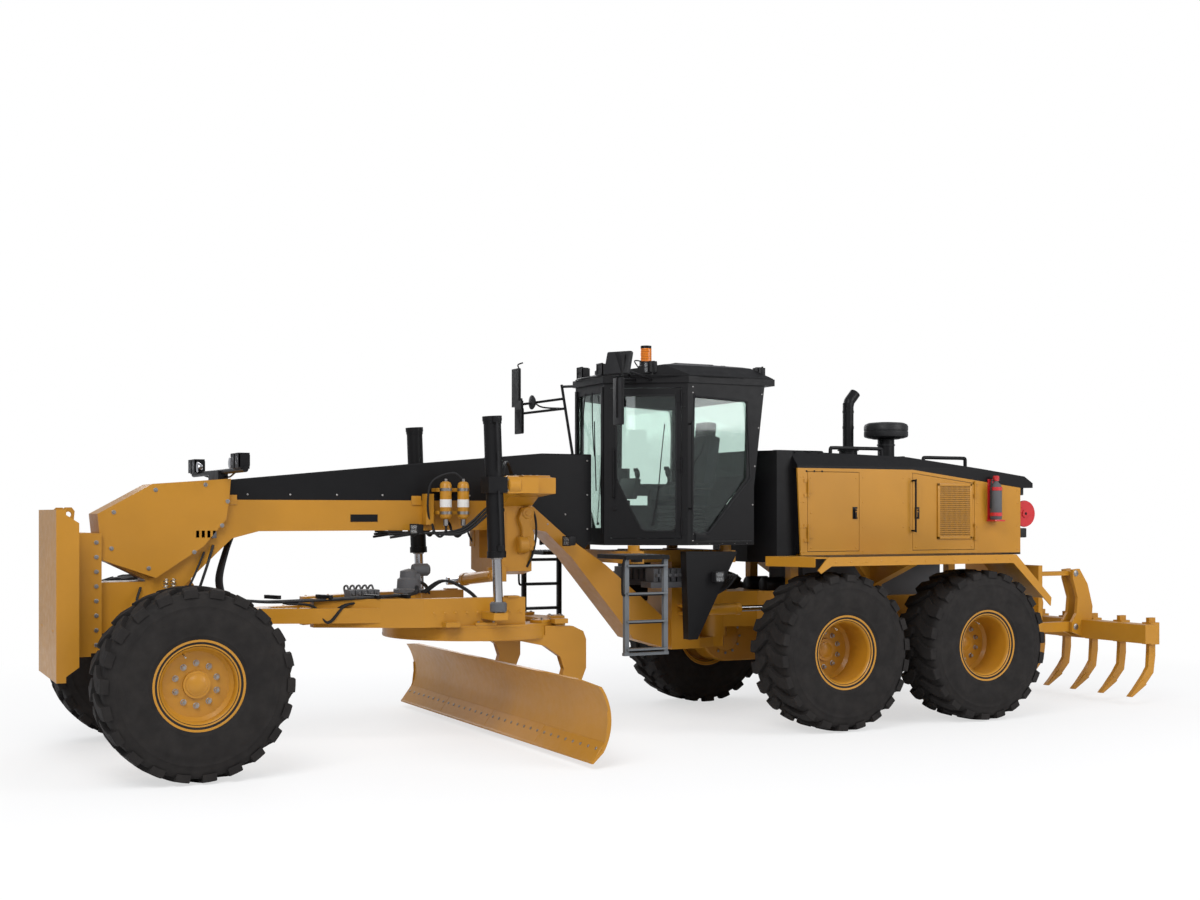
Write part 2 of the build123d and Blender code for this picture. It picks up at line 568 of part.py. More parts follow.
# front frame
TAIL_Z = 780.0
with BuildPart() as front_frame:
    # curved main beam from the nose to the hitch
    with BuildSketch(side(0)):
        with BuildLine():
            Polyline((A + 175, 1195), (A + 175, 1620), (A + 535, 1800), (A + 535, 2180), (A + 120, 2420),
                     (A - 560, FRAME_Z1), (K - 500, FRAME_Z1), (H + 1850, 1990), (H + 1380, 1680),
                     (H + 560, 1010), (H + 330, 1010), (H + 330, TAIL_Z), (H + 700, TAIL_Z + 20),
                     (H + 1050, 900), (H + 1770, 1760), (H + 2060, FRAME_Z0 - 20), (H + 2190, FRAME_Z0),
                     (A - 850, FRAME_Z0), (A - 600, 1980), (A - 250, 1640), (A - 175, 1560),
                     (A - 175, 1195), close=True)
        make_face()
    extrude(amount=FRAME_HALF, both=True)
    # wider nose box
    plate([(A + 594, 2206), (A + 118, 2474), (A - 575, 2527), (A - 560, 2345), (A - 534, 2159),
           (A - 328, 1911), (A + 92, 1634), (A + 551, 1798)], -NOSE_HALF, NOSE_HALF)
    # pivot lugs of the axle
    for x0, x1 in ((A + AXLE_HALF_X + FIT, A + 175), (A - 175, A - AXLE_HALF_X - FIT)):
        with BuildSketch(cross(x0)):
            with BuildLine():
                Polyline((-178, 1205), (-110, 930), (110, 930), (178, 1205), close=True)
            make_face()
        extrude(amount=x1 - x0)
    rod((A - 190, 0, AXLE_Z), (A + 190, 0, AXLE_Z), 55)
    # drawbar ball socket bracket
    plate([(X_BALL + 10, BALL_Z - 62), (X_BALL + 10, BALL_Z + 85), (A - 230, 1640), (A - 160, 1600),
           (A - 160, BALL_Z - 80)], -80, 80)
    with Locations((X_BALL, 0, BALL_Z)):
        Sphere(BALL_R + FIT, mode=Mode.SUBTRACT)
    # hitch tongues and the post between them
    block(H + 300, H + 640, -260, 260, TAIL_Z, HITCH_Z1 + FIT + TONGUE_T)
    for z0 in (HITCH_Z0 - FIT - 105, HITCH_Z1 + FIT):
        t = 105 if z0 < HITCH_Z0 else TONGUE_T
        slab([(H + 340, -250), (H + 60, -150), (H - 60, -150), (H - 110, -90), (H - 110, 90),
              (H - 60, 150), (H + 60, 150), (H + 340, 250)], z0, z0 + t)
    rod((H, 0, HITCH_Z0 - FIT - 60), (H, 0, HITCH_Z0 + 110), HITCH_PIN_R)
    rod((H, 0, HITCH_Z1 + FIT + 60), (H, 0, HITCH_Z1 - 110), HITCH_PIN_R)
    # cab floor bearers and mounts
    block(H + 380, H + 620, -230, 230, HITCH_Z1 + 80, CAB_Z0 - 60)
    for x in (H + 90, H + 1180):
        block(x, x + 150, -640, 640, 1700, CAB_Z0 - 60)
        for hand in (1, -1):
            rod((x + 75, hand * 560, CAB_Z0 - 70), (x + 75, hand * 560, CAB_Z0), 62)
    block(H + 90, H + 1330, -230, -110, 1700, CAB_Z0 - 60)
    block(H + 90, H + 1330, 110, 230, 1700, CAB_Z0 - 60)
    # ears of the articulation barrels
    for hand in (1, -1):
        block(H + 470, H + 570, hand * 240, hand * 495, 1225 + FIT, 1255)
        block(H + 470, H + 570, hand * 240, hand * 495, 1145, 1175 - FIT)
        rod((H + 520, hand * 450, 1135), (H + 520, hand * 450, 1265), 20)
save(front_frame.part, "front_frame")

with BuildPart() as frame_cover:
    cover = [(A - 580, FRAME_Z1 + FIT), (A - 580, 2520), (A - 2285, 2686), (K - 670, 2818),
             (H + 1545, 2818), (H + 1545, 1940), (H + 1620, 1850), (H + 1850, 1990 + 2),
             (K - 500, FRAME_Z1 + FIT)]
    plate(cover, -FRAME_HALF, FRAME_HALF)
    chamfer(frame_cover.edges().filter_by(Axis.Y, reverse=True).group_by(Axis.Z)[-1], 12)
save(frame_cover.part, "frame_cover")

with BuildPart() as push_plate:
    block(A + 900, A + 980, -600, 600, 772, 2242)
    for y in (-600, -300, 270, 570):
        plate([(A + 794, 900), (A + 905, 820), (A + 905, 2200), (A + 794, 2127)], y, y + 30)
    block(A + 655, A + 905, -300, 300, 960, 1010)
    block(A + 655, A + 905, -300, 300, 1990, 2040)
    for hand in (1, -1):
        block(A + 655, A + 905, hand * 270, hand * 300, 960, 2040)
    block(A + 565, A + 656, -300, 300, 990, 2035)
    block(A + 175 + FIT, A + 566, -176, 176, 1150, 1600)
    # lifting eyes on top
    for hand in (1, -1):
        plate([(A + 800, 2120), (A + 905, 2120), (A + 905, 2230), (A + 870, 2262), (A + 815, 2262),
               (A + 790, 2230)], hand * 300, hand * 270)
        bore((A + 842, hand * 260, 2200), (A + 842, hand * 310, 2200), 25)
    add(front_frame.part, mode=Mode.SUBTRACT)
save(push_plate.part, "push_plate")

# yoke over the beam
with BuildPart() as lift_yoke:
    with BuildSketch(cross(K - 450)):
        with BuildLine():
            Polyline((-LIFT_Y + 90, 2400), (-560, 2370), (-400, 2280), (-400, 1640), (-180, 1600),
                     (180, 1600), (400, 1640), (400, 2280), (560, 2370), (LIFT_Y - 90, 2400),
                     (LIFT_Y - 90, 2550), (520, 2580), (300, 2560), (-300, 2560), (-520, 2580),
                     (-LIFT_Y + 90, 2550), close=True)
        make_face()
        with BuildLine():
            Polyline((-FRAME_HALF - 2, 1760), (FRAME_HALF + 2, 1760), (FRAME_HALF + 2, 2700),
                     (-FRAME_HALF - 2, 2700), close=True)
        make_face(mode=Mode.SUBTRACT)
    extrude(amount=320)
    for hand in (1, -1):
        block(K - 200, K + 132 - FIT, hand * (LIFT_Y - 170), hand * (LIFT_Y + 60), 2400, 2550)
        rod((K + 60, hand * LIFT_Y, LIFT_TRUNNION_Z), (K + 165, hand * LIFT_Y, LIFT_TRUNNION_Z), 38)
    # lug of the centre shift cylinder
    block(K - 170, K - 121, 310, 421, 1540, 1700)
    rod((K - 140, SHIFT_A[1], SHIFT_A[2]), (K - 10, SHIFT_A[1], SHIFT_A[2]), 22)
save(lift_yoke.part, "lift_yoke")

for hand, label in ((1, "left"), (-1, "right")):
    y = hand * LIFT_Y
    lean = (LIFT_TOP[0] - LIFT_BALL[0]) / (LIFT_TOP[1] - LIFT_BALL[1])
    with BuildPart() as lift_barrel:
        top = (K + LIFT_TOP[0], y, LIFT_TOP[1])
        low = (K + LIFT_TOP[0] - (LIFT_TOP[1] - 1797) * lean, y, 1797)
        rod(top, low, LIFT_BARREL_R)
        rod((top[0] + 1, y, top[2] + 1), (top[0] - 44 * lean, y, top[2] - 44), LIFT_BARREL_R + 10)
        rod(low, (low[0] + 60 * lean, y, low[2] + 60), LIFT_BARREL_R + 8)
        block(K + 132, K + 322, y - 95, y + 95, LIFT_TRUNNION_Z - 75, LIFT_TRUNNION_Z + 75)
        bore((low[0] - lean, y, low[2] - 1), (top[0] - 60 * lean, y, top[2] - 60), LIFT_ROD_R + FIT)
        bore((K + 131, y, LIFT_TRUNNION_Z), (K + 170, y, LIFT_TRUNNION_Z), 38 + FIT)
    save(lift_barrel.part, f"lift_barrel_{label}")
    with BuildPart() as lift_rod:
        ball = (K + LIFT_BALL[0], y, LIFT_BALL[1])
        rod(ball, (ball[0] + 1050 * lean, y, ball[2] + 1050), LIFT_ROD_R)
        with Locations(ball):
            Sphere(60)
    save(lift_rod.part, f"lift_rod_{label}")

# drawbar, circle, blade
with BuildPart() as drawbar_ball:
    with Locations((X_BALL, 0, BALL_Z)):
        Sphere(BALL_R)
save(drawbar_ball.part, "drawbar_ball")

with BuildPart() as drawbar:
    slab([(X_BALL - 12, -78), (X_BALL - 12, 78), (A - 800, 130), (K + 1170, 560), (K + 800, 730),
          (K - 180, 850), (K - 180, 730), (K + 760, 610), (K + 1080, 450), (A - 1000, 90),
          (A - 1000, -90), (K + 1080, -450), (K + 760, -610), (K - 180, -730), (K - 180, -850),
          (K + 800, -730), (K + 1170, -560), (A - 800, -130)], 1185, 1325)
    for hand in (1, -1):
        slab([(A - 1350, hand * 240), (K + 1170, hand * 560), (K + 800, hand * 730),
              (K - 180, hand * 850), (K - 180, hand * 730), (K + 760, hand * 610), (K + 1080, hand * 450),
              (A - 1350, hand * 120)], DRAW_Z0, DRAW_Z1)
        block(K + 116, K + 256, hand * 800, hand * 1110, 1215, LIFT_BALL[1] - 64)
        block(K - 120, K, hand * 850, hand * 740, DRAW_Z1 - 1, DRAW_Z1 + 14)
    with Locations((X_BALL, 0, BALL_Z)):
        Sphere(BALL_R + FIT, mode=Mode.SUBTRACT)
    # ring plate over the circle with its tail
    with BuildSketch(Plane.XY.offset(CIRCLE_Z1 + FIT)):
        with Locations((K, 0)):
            Circle(905)
            Circle(640, mode=Mode.SUBTRACT)
    extrude(amount=26)
    # cross members and the drive housing
    block(K + 560, K + 700, -640, 640, 1150, 1260)
    rod((K + 690, 0, CIRCLE_Z1 + 20), (K + 690, 0, 1440), 130)
    for hand in (1, -1):
        for x in (-560, 560):
            block(K + x - 70, K + x + 70, hand * 860, hand * 760, 1145, 1190)
save(drawbar.part, "drawbar")

with BuildPart() as circle:
    with BuildSketch(Plane.XY.offset(CIRCLE_Z0)):
        with Locations((K, 0)):
            Circle(CIRCLE_R)
            Circle(CIRCLE_IN, mode=Mode.SUBTRACT)
    extrude(amount=CIRCLE_Z1 - CIRCLE_Z0)
    with BuildSketch(Plane.XY.offset(CIRCLE_Z0)):
        with PolarLocations(CIRCLE_IN - 10, 64):
            Rectangle(52, 34)
    ring_teeth = extrude(amount=70, mode=Mode.PRIVATE)
    with Locations((K, 0, 0)):
        add(ring_teeth)
    for hand in (1, -1):
        plate([(K - 400, CIRCLE_Z0 + 30), (K - 400, CIRCLE_Z1), (K - 700, CIRCLE_Z1 - 12),
               (K - 810, 1060), (K - 841, 980), (K - 841, 700), (K - 770, 530), (K - 600, 350),
               (K - 480, 240), (K - 410, 232), (K - 352, 270), (K - 352, 330), (K - 410, 368),
               (K - 480, 430), (K - 560, 560), (K - 600, 700), (K - 560, 820), (K - 400, 930),
               (K - 150, 985), (K + 250, 1000), (K + 250, CIRCLE_Z0 + 30)], hand * (CIRCLE_ARM_Y - 40),
               hand * (CIRCLE_ARM_Y + 40))
        rod((K + TIP_X, hand * (CIRCLE_ARM_Y - 70), TIP_Z),
            (K + TIP_X, hand * (CIRCLE_ARM_Y + 50), TIP_Z), 28)
save(circle.part, "circle")

with BuildPart() as blade_carrier:
    rod((K + TIP_X, -CIRCLE_ARM_Y + 40 + FIT, TIP_Z), (K + TIP_X, CIRCLE_ARM_Y - 40 - FIT, TIP_Z), 58)
    for hand in (1, -1):
        block(K - 430, K - 330 - FIT, hand * 560, hand * 690, 215, 640)
        block(K - 430, K - 300, hand * 560, hand * 690, 590 + FIT, 640)
        block(K - 430, K - 300, hand * 560, hand * 690, 205, 240 - FIT)
        bore((K + TIP_X, hand * 700, TIP_Z), (K + TIP_X, hand * 760, TIP_Z), 28 + FIT)
    block(K - 430, K - 380, -600, 600, 520, 600)
save(blade_carrier.part, "blade_carrier")

with BuildPart() as moldboard:
    with BuildSketch(side(0)):
        with BuildLine():
            back = ThreePointArc((K - 160, 748), (K - 282, 425), (K - 205, 140))
            Line((K - 205, 140), (K - 107, 50))
            Line((K - 107, 50), (K - 92, 66))
            Line((K - 92, 66), (K - 180, 150))
            ThreePointArc((K - 180, 150), (K - 257, 425), (K - 136, 740))
            Line((K - 136, 740), (K - 160, 748))
        make_face()
    extrude(amount=BLADE_L / 2, both=True)
    for z0 in (240, 540):
        block(K - 330, K - 262, -1900, 1900, z0, z0 + 50)
    # dropped top corners
    for hand in (1, -1):
        with BuildSketch(cross(K - 400)):
            with BuildLine():
                Polyline((hand * (BLADE_L / 2 - 550), 760), (hand * (BLADE_L / 2 + 1), 710),
                         (hand * (BLADE_L / 2 + 1), 800), (hand * (BLADE_L / 2 - 550), 800), close=True)
            make_face()
        extrude(amount=500, mode=Mode.SUBTRACT)
save(moldboard.part, "moldboard")

# centre shift cylinder
u = Vector(SHIFT_B[0] - SHIFT_A[0], SHIFT_B[1] - SHIFT_A[1], SHIFT_B[2] - SHIFT_A[2])
SHIFT_L = u.length
u = u.normalized()
foot = Vector(K + SHIFT_A[0], SHIFT_A[1], SHIFT_A[2])
with BuildPart() as shift_barrel:
    rod(tuple(foot), tuple(foot + u * 780), 58)
    rod(tuple(foot - Vector(45, 0, 0)), tuple(foot + Vector(45, 0, 0)), 50)
    bore(tuple(foot + u * 50), tuple(foot + u * 790), 32 + FIT)
    bore(tuple(foot - Vector(75, 0, 0)), tuple(foot + Vector(75, 0, 0)), 22 + FIT)
save(shift_barrel.part, "shift_barrel")
with BuildPart() as shift_rod:
    rod(tuple(foot + u * (SHIFT_L - 800)), tuple(foot + u * SHIFT_L), 32)
    rod(tuple(foot + u * SHIFT_L - Vector(40, 0, 0)), tuple(foot + u * SHIFT_L + Vector(40, 0, 0)), 41)
save(shift_rod.part, "shift_rod")

# articulation cylinders
for hand, label in ((1, "left"), (-1, "right")):
    y = hand * 450
    with BuildPart() as artic_barrel:
        rod((H + 440, y, 1200), (H - 74, y, 1200), 58)
        block(H + 430, H + 520, y - 42, y + 42, 1175, 1225)
        rod((H - 20, y, 1200), (H - 74, y, 1200), 66)
        rod((H + 520, y, 1175), (H + 520, y, 1225), 52)
        bore((H + 440, y, 1200), (H - 80, y, 1200), 32 + FIT)
        bore((H + 520, y, 1170), (H + 520, y, 1230), 20 + FIT)
    save(artic_barrel.part, f"artic_barrel_{label}")
    with BuildPart() as artic_rod:
        rod((H + 120, y, 1200), (H - 545, y, 1200), 32)
        rod((H - 545, y, 1175), (H - 545, y, 1225), 46)
        with BuildSketch(Plane.XY.offset(1225)) as cap:
            with Locations((H - 545, y)):
                Rectangle(220, 130)
        extrude(cap.sketch, amount=60, mode=Mode.SUBTRACT)
        with BuildSketch(Plane.XY.offset(1175)) as cap:
            with Locations((H - 545, y)):
                Rectangle(220, 130)
        extrude(cap.sketch, amount=-60, mode=Mode.SUBTRACT)
    save(artic_rod.part, f"artic_rod_{label}")

# front axle
with BuildPart() as axle_beam:
    with BuildSketch(cross(A - AXLE_HALF_X)):
        with BuildLine():
            Polyline((-820, 740), (-750, 700), (-610, 715), (-260, 870), (260, 870), (610, 715),
                     (750, 700), (820, 740), (820, 830), (750, 860), (625, 890), (280, 1125),
                     (-280, 1125), (-625, 890), (-750, 860), (-820, 830), close=True)
        make_face()
    extrude(amount=2 * AXLE_HALF_X)
    bore((A - 100, 0, AXLE_Z), (A + 100, 0, AXLE_Z), 55 + FIT)
    for hand in (1, -1):
        bore((A - 100, hand * LEAN_Y, LEAN_Z), (A + 100, hand * LEAN_Y, LEAN_Z), 32 + FIT)
    # steering cylinder body under the beam
    rod((A + TIE_X, -340, TIE_Z), (A + TIE_X, 340, TIE_Z), 50)
    for hand in (1, -1):
        block(A + TIE_X - 30, A - AXLE_HALF_X + 60, hand * 180, hand * 260, TIE_Z, 900)
    bore((A + TIE_X, -350, TIE_Z), (A + TIE_X, 350, TIE_Z), TIE_R + FIT)
save(axle_beam.part, "axle_beam")

for hand, label in ((1, "left"), (-1, "right")):
    with BuildPart() as knuckle:
        # the rear cheek leaves room for the steering arm's stud
        for x0, low in ((A - 135, 800), (A + AXLE_HALF_X + FIT, 650)):
            with BuildSketch(cross(x0)):
                with BuildLine():
                    Polyline((hand * 700, 715), (hand * 755, 690), (hand * 830, 700), (hand * 890, low),
                             (hand * 1020, low), (hand * 1020, 930), (hand * 850, 980),
                             (hand * 780, 1120), (hand * 725, 1120), (hand * 690, 900), close=True)
                make_face()
            extrude(amount=40 - FIT)
        rod((A - 145, hand * LEAN_Y, LEAN_Z), (A + 145, hand * LEAN_Y, LEAN_Z), 32)
        with BuildSketch(Plane.XY.offset(650)):
            with Locations((A, hand * KING_Y)):
                Circle(78)
            with Locations((A + 67, hand * (KING_Y - 50))):
                Rectangle(135 - FIT, 40)
        extrude(amount=280)
        block(A - 135, A, hand * (KING_Y - 70), hand * (KING_Y - 30), 800, 930)
        bore((A, hand * KING_Y, 640), (A, hand * KING_Y, 940), KING_R + FIT)
        rod((A - 130, hand * LEAN_Y, LEAN_BAR_Z), (A - 195, hand * LEAN_Y, LEAN_BAR_Z), 30)
    save(knuckle.part, f"knuckle_{label}")
    with BuildPart() as spindle:
        rod((A, hand * KING_Y, 600), (A, hand * KING_Y, 980), KING_R)
        for z0 in (600, 930 + FIT):
            with BuildSketch(Plane.XY.offset(z0)):
                with Locations((A, hand * KING_Y)):
                    Circle(72)
                with Locations((A, hand * (KING_Y + 65))):
                    Rectangle(144, 130)
            extrude(amount=50 - FIT)
        rod((A, hand * 1150, WHEEL_Z), (A, hand * (WHEEL_Y + 128 - 235 - FIT), WHEEL_Z), 165)
        block(A - 72, A + 72, hand * 1148, hand * 1200, 600, 980)
        # steering arm and its ball stud
        slab([(A + 10, hand * (KING_Y - 40)), (A + ARM_X, hand * (KING_Y - 24)),
              (A + ARM_X, hand * (KING_Y + 24)), (A + 10, hand * (KING_Y + 40))], 600, 650 - FIT)
        rod((A + ARM_X, hand * KING_Y, 600), (A + ARM_X, hand * KING_Y, TIE_Z + 40), STUD_R)
    save(spindle.part, f"spindle_{label}")

with BuildPart() as tie_rod:
    rod((A + TIE_X, -KING_Y - 10, TIE_Z), (A + TIE_X, KING_Y + 10, TIE_Z), TIE_R)
save(tie_rod.part, "tie_rod")

with BuildPart() as lean_bar:
    block(A - 225, A - 195 - FIT, -LEAN_Y - 30, LEAN_Y + 30, LEAN_BAR_Z - 34, LEAN_BAR_Z + 34)
save(lean_bar.part, "lean_bar")

# cab
PLAN = [(-170, -CAB_HALF), (-170, CAB_HALF), (CAB_B, CAB_HALF), (CAB_NOSE, CAB_NOSE_HALF),
        (CAB_NOSE, -CAB_NOSE_HALF), (CAB_B, -CAB_HALF)]
PLAN = [(H + x, y) for x, y in PLAN]


def door_plane(hand):
    """Plane of the slanted doorway, x from the B pillar to the nose, y up."""
    run = Vector(CAB_NOSE - CAB_B, hand * (CAB_NOSE_HALF - CAB_HALF), 0).normalized()
    return Plane(origin=(H + CAB_B, hand * CAB_HALF, 0), x_dir=run, z_dir=run.cross(Vector(0, 0, 1)))


DOOR_RUN = hypot(CAB_NOSE - CAB_B, CAB_HALF - CAB_NOSE_HALF)
WINDOW_SIDE = [(H + 700, 2010), (H + 527, 2010), (H + 60, 2576), (H + 40, 3370), (H + 690, 3400)]
WINDSHIELD = [(-265, 2060), (265, 2060), (280, 3440), (-280, 3440)]
WINDOW_REAR = [(-640, 2600), (640, 2600), (620, 3400), (-620, 3400)]

def door_axis(hand, z):
    """Point of the cab door's hinge axis at height z, outside the pillar."""
    ux = (CAB_NOSE - CAB_B) / DOOR_RUN
    uy = hand * (CAB_NOSE_HALF - CAB_HALF) / DOOR_RUN
    return (H + CAB_B + ux * DOOR_HINGE - hand * uy * 14,
            hand * CAB_HALF + uy * DOOR_HINGE + hand * ux * 14, z)


def door_leaf(hand, x0, x1, z0, z1):
    """Hinge leaf on the outer face of a cab door or of its pillar."""
    with BuildSketch(door_plane(hand)) as leaf:
        with BuildLine():
            Polyline((x0, z0), (x1, z0), (x1, z1), (x0, z1), close=True)
        make_face()
    extrude(leaf.sketch, amount=-hand * 8)


with BuildPart() as cab_shell:
    with BuildSketch(Plane.XY.offset(CAB_Z0)) as outer:
        with BuildLine():
            Polyline(*PLAN, close=True)
        make_face()
    extrude(outer.sketch, amount=CAB_ROOF_Z - CAB_Z0)
    with BuildSketch(Plane.XY.offset(CAB_Z0 + CAB_FLOOR_T)) as inner:
        with BuildLine():
            Polyline(*PLAN, close=True)
        make_face()
        offset(amount=-CAB_T, kind=Kind.INTERSECTION, mode=Mode.REPLACE)
    extrude(inner.sketch, amount=CAB_ROOF_Z - CAB_Z0 - CAB_FLOOR_T, mode=Mode.SUBTRACT)
    # sloped rear wall
    rear = [(H + CAB_REAR, CAB_Z0 - 1), (H + CAB_REAR, 2484), (H - 167, CAB_ROOF_Z + 1),
            (H - 400, CAB_ROOF_Z + 1), (H - 400, CAB_Z0 - 1)]
    plate(rear, -900, 900, mode=Mode.SUBTRACT)
    wall = [(H + CAB_REAR, CAB_Z0), (H + CAB_REAR, 2484), (H - 167, CAB_ROOF_Z),
            (H - 167 + CAB_T, CAB_ROOF_Z), (H + CAB_REAR + CAB_T, 2484), (H + CAB_REAR + CAB_T, CAB_Z0)]
    plate(wall, -CAB_HALF, CAB_HALF)
    # doorways and windows
    for hand in (1, -1):
        with BuildSketch(door_plane(hand)) as way:
            with BuildLine():
                Polyline((60, CAB_Z0 + 70), (60, CAB_ROOF_Z - 50), (DOOR_RUN - 60, CAB_ROOF_Z - 50),
                         (DOOR_RUN - 60, CAB_Z0 + 70), close=True)
            make_face()
        extrude(way.sketch, amount=80, both=True, mode=Mode.SUBTRACT)
        plate(WINDOW_SIDE, hand * (CAB_HALF - 60), hand * (CAB_HALF + 20), mode=Mode.SUBTRACT)
    for x, outline in ((H + CAB_NOSE - 60, WINDSHIELD), (H - 240, WINDOW_REAR)):
        with BuildSketch(cross(x)) as pane:
            with BuildLine():
                Polyline(*outline, close=True)
            make_face()
        extrude(pane.sketch, amount=80 if x > H else 300, mode=Mode.SUBTRACT)
    # roof
    with BuildPart(mode=Mode.PRIVATE) as roof:
        with BuildSketch(Plane.XY.offset(CAB_ROOF_Z)) as lid:
            with BuildLine():
                Polyline((H - 280, -CAB_HALF - 20), (H - 280, CAB_HALF + 20), (H + CAB_B, CAB_HALF + 20),
                         (H + CAB_NOSE + 25, CAB_NOSE_HALF + 20),
                         (H + CAB_NOSE + 25, -CAB_NOSE_HALF - 20), (H + CAB_B, -CAB_HALF - 20),
                         close=True)
            make_face()
        extrude(lid.sketch, amount=70)
        with BuildSketch(Plane.XY.offset(CAB_ROOF_Z + 68)) as crown:
            with BuildLine():
                Polyline((H - 265, 5 - CAB_HALF), (H - 265, CAB_HALF - 5), (H + CAB_B - 25, CAB_HALF - 5),
                         (H + CAB_NOSE - 20, CAB_NOSE_HALF - 10), (H + CAB_NOSE - 20, 10 - CAB_NOSE_HALF),
                         (H + CAB_B - 25, 5 - CAB_HALF), close=True)
            make_face()
        extrude(crown.sketch, amount=190)
        with BuildSketch(cross(H - 400)) as brow:
            with BuildLine():
                Polyline((-900, CAB_ROOF_Z - 5), (-900, CAB_ROOF_Z + 10), (-835, CAB_ROOF_Z + 55),
                         (-650, 3730), (-350, 3785), (350, 3785), (650, 3730), (835, CAB_ROOF_Z + 55),
                         (900, CAB_ROOF_Z + 10), (900, CAB_ROOF_Z - 5), close=True)
            make_face()
        extrude(brow.sketch, amount=2100, mode=Mode.INTERSECT)
        with BuildSketch(side(0)) as shape:
            with BuildLine():
                Polyline((H - 300, CAB_ROOF_Z - 5), (H - 300, 3600), (H - 60, 3750), (H + 560, 3790),
                         (H + 1310, 3675), (H + 1520, 3610), (H + 1520, CAB_ROOF_Z - 5), close=True)
            make_face()
        extrude(shape.sketch, amount=900, both=True, mode=Mode.INTERSECT)
    add(roof.part)
    # door hinges on the B pillars
    for hand in (1, -1):
        for z in CAB_HINGE_Z:
            rod(door_axis(hand, z - 52), door_axis(hand, z + 52), PIN_R)
            for z0, z1 in ((z - 84, z - 50 - FIT), (z + 50 + FIT, z + 84)):
                rod(door_axis(hand, z0), door_axis(hand, z1), 12)
                door_leaf(hand, 20, DOOR_HINGE - 6, z0, z1)
save(cab_shell.part, "cab_shell")

with BuildPart() as cab_glass:
    for hand in (1, -1):
        plate(WINDOW_SIDE, hand * (CAB_HALF - 30), hand * (CAB_HALF - 30 + GLASS_T))
    with BuildSketch(cross(H + CAB_NOSE - 30)) as pane:
        with BuildLine():
            Polyline(*WINDSHIELD, close=True)
        make_face()
    extrude(pane.sketch, amount=GLASS_T)
    slope = (H - 167 - (H + CAB_REAR)) / (CAB_ROOF_Z - 2484)
    with BuildPart(mode=Mode.PRIVATE) as rear_pane:
        plate([(H + CAB_REAR + 18, 2484), (H - 167 + 18, CAB_ROOF_Z), (H - 167 + 26, CAB_ROOF_Z),
               (H + CAB_REAR + 26, 2484)], -CAB_HALF, CAB_HALF)
        with BuildSketch(cross(H - 240)) as pane:
            with BuildLine():
                Polyline(*WINDOW_REAR, close=True)
            make_face()
        extrude(pane.sketch, amount=300, mode=Mode.INTERSECT)
    add(rear_pane.part)
save(cab_glass.part, "cab_glass")

for hand, label in ((1, "left"), (-1, "right")):
    with BuildPart() as cab_door:
        g = 5
        with BuildSketch(door_plane(hand)) as leaf:
            with BuildLine():
                Polyline((DOOR_HINGE, CAB_Z0 + 70 + g), (DOOR_HINGE, CAB_ROOF_Z - 50 - g),
                         (DOOR_RUN - 60 - g, CAB_ROOF_Z - 50 - g), (DOOR_RUN - 60 - g, CAB_Z0 + 70 + g),
                         close=True)
            make_face()
        extrude(leaf.sketch, amount=hand * 36)
        with BuildSketch(door_plane(hand)) as light:
            with BuildLine():
                Polyline((120, 2030), (470, 2030), (DOOR_RUN - 125, 2560), (DOOR_RUN - 125, 3410),
                         (120, 3410), close=True)
            make_face()
            fillet(light.vertices(), 45)
        extrude(light.sketch, amount=hand * 12, mode=Mode.SUBTRACT)
        with BuildSketch(door_plane(hand).offset(hand * 20)) as light:
            with BuildLine():
                Polyline((120, 2030), (470, 2030), (DOOR_RUN - 125, 2560), (DOOR_RUN - 125, 3410),
                         (120, 3410), close=True)
            make_face()
            fillet(light.vertices(), 45)
        extrude(light.sketch, amount=hand * 20, mode=Mode.SUBTRACT)
        for z in CAB_HINGE_Z:
            rod(door_axis(hand, z - 50), door_axis(hand, z + 50), 12)
            door_leaf(hand, DOOR_HINGE, DOOR_HINGE + 55, z - 46, z + 46)
            bore(door_axis(hand, z - 60), door_axis(hand, z + 60), PIN_R + FIT)
    save(cab_door.part, f"cab_door_{label}")

with BuildPart() as cab_interior:
    z = CAB_Z0 + CAB_FLOOR_T
    block(H + 180, H + 560, -190, 190, z, 2330)
    block(H + 130, H + 640, -260, 260, 2310, 2450)
    plate([(H + 110, 2400), (H + 230, 2400), (H + 170, 3000), (H + 80, 3000)], -250, 250)
    plate([(H + 90, 2960), (H + 190, 2960), (H + 170, 3170), (H + 90, 3170)], -150, 150)
    for hand in (1, -1):
        block(H + 250, H + 760, hand * 270, hand * 400, 2330, 2520)
        rod((H + 700, hand * 335, 2500), (H + 740, hand * 335, 2640), 26)
        block(H + 300, H + 420, hand * 180, hand * 300, 2320, 2360)
    plate([(H + 1080, z), (H + 1200, z), (H + 1120, 2420), (H + 1060, 2420)], -90, 90)
    plate([(H + 1010, 2400), (H + 1180, 2440), (H + 1180, 2560), (H + 1060, 2560)], -190, 190)
save(cab_interior.part, "cab_interior")

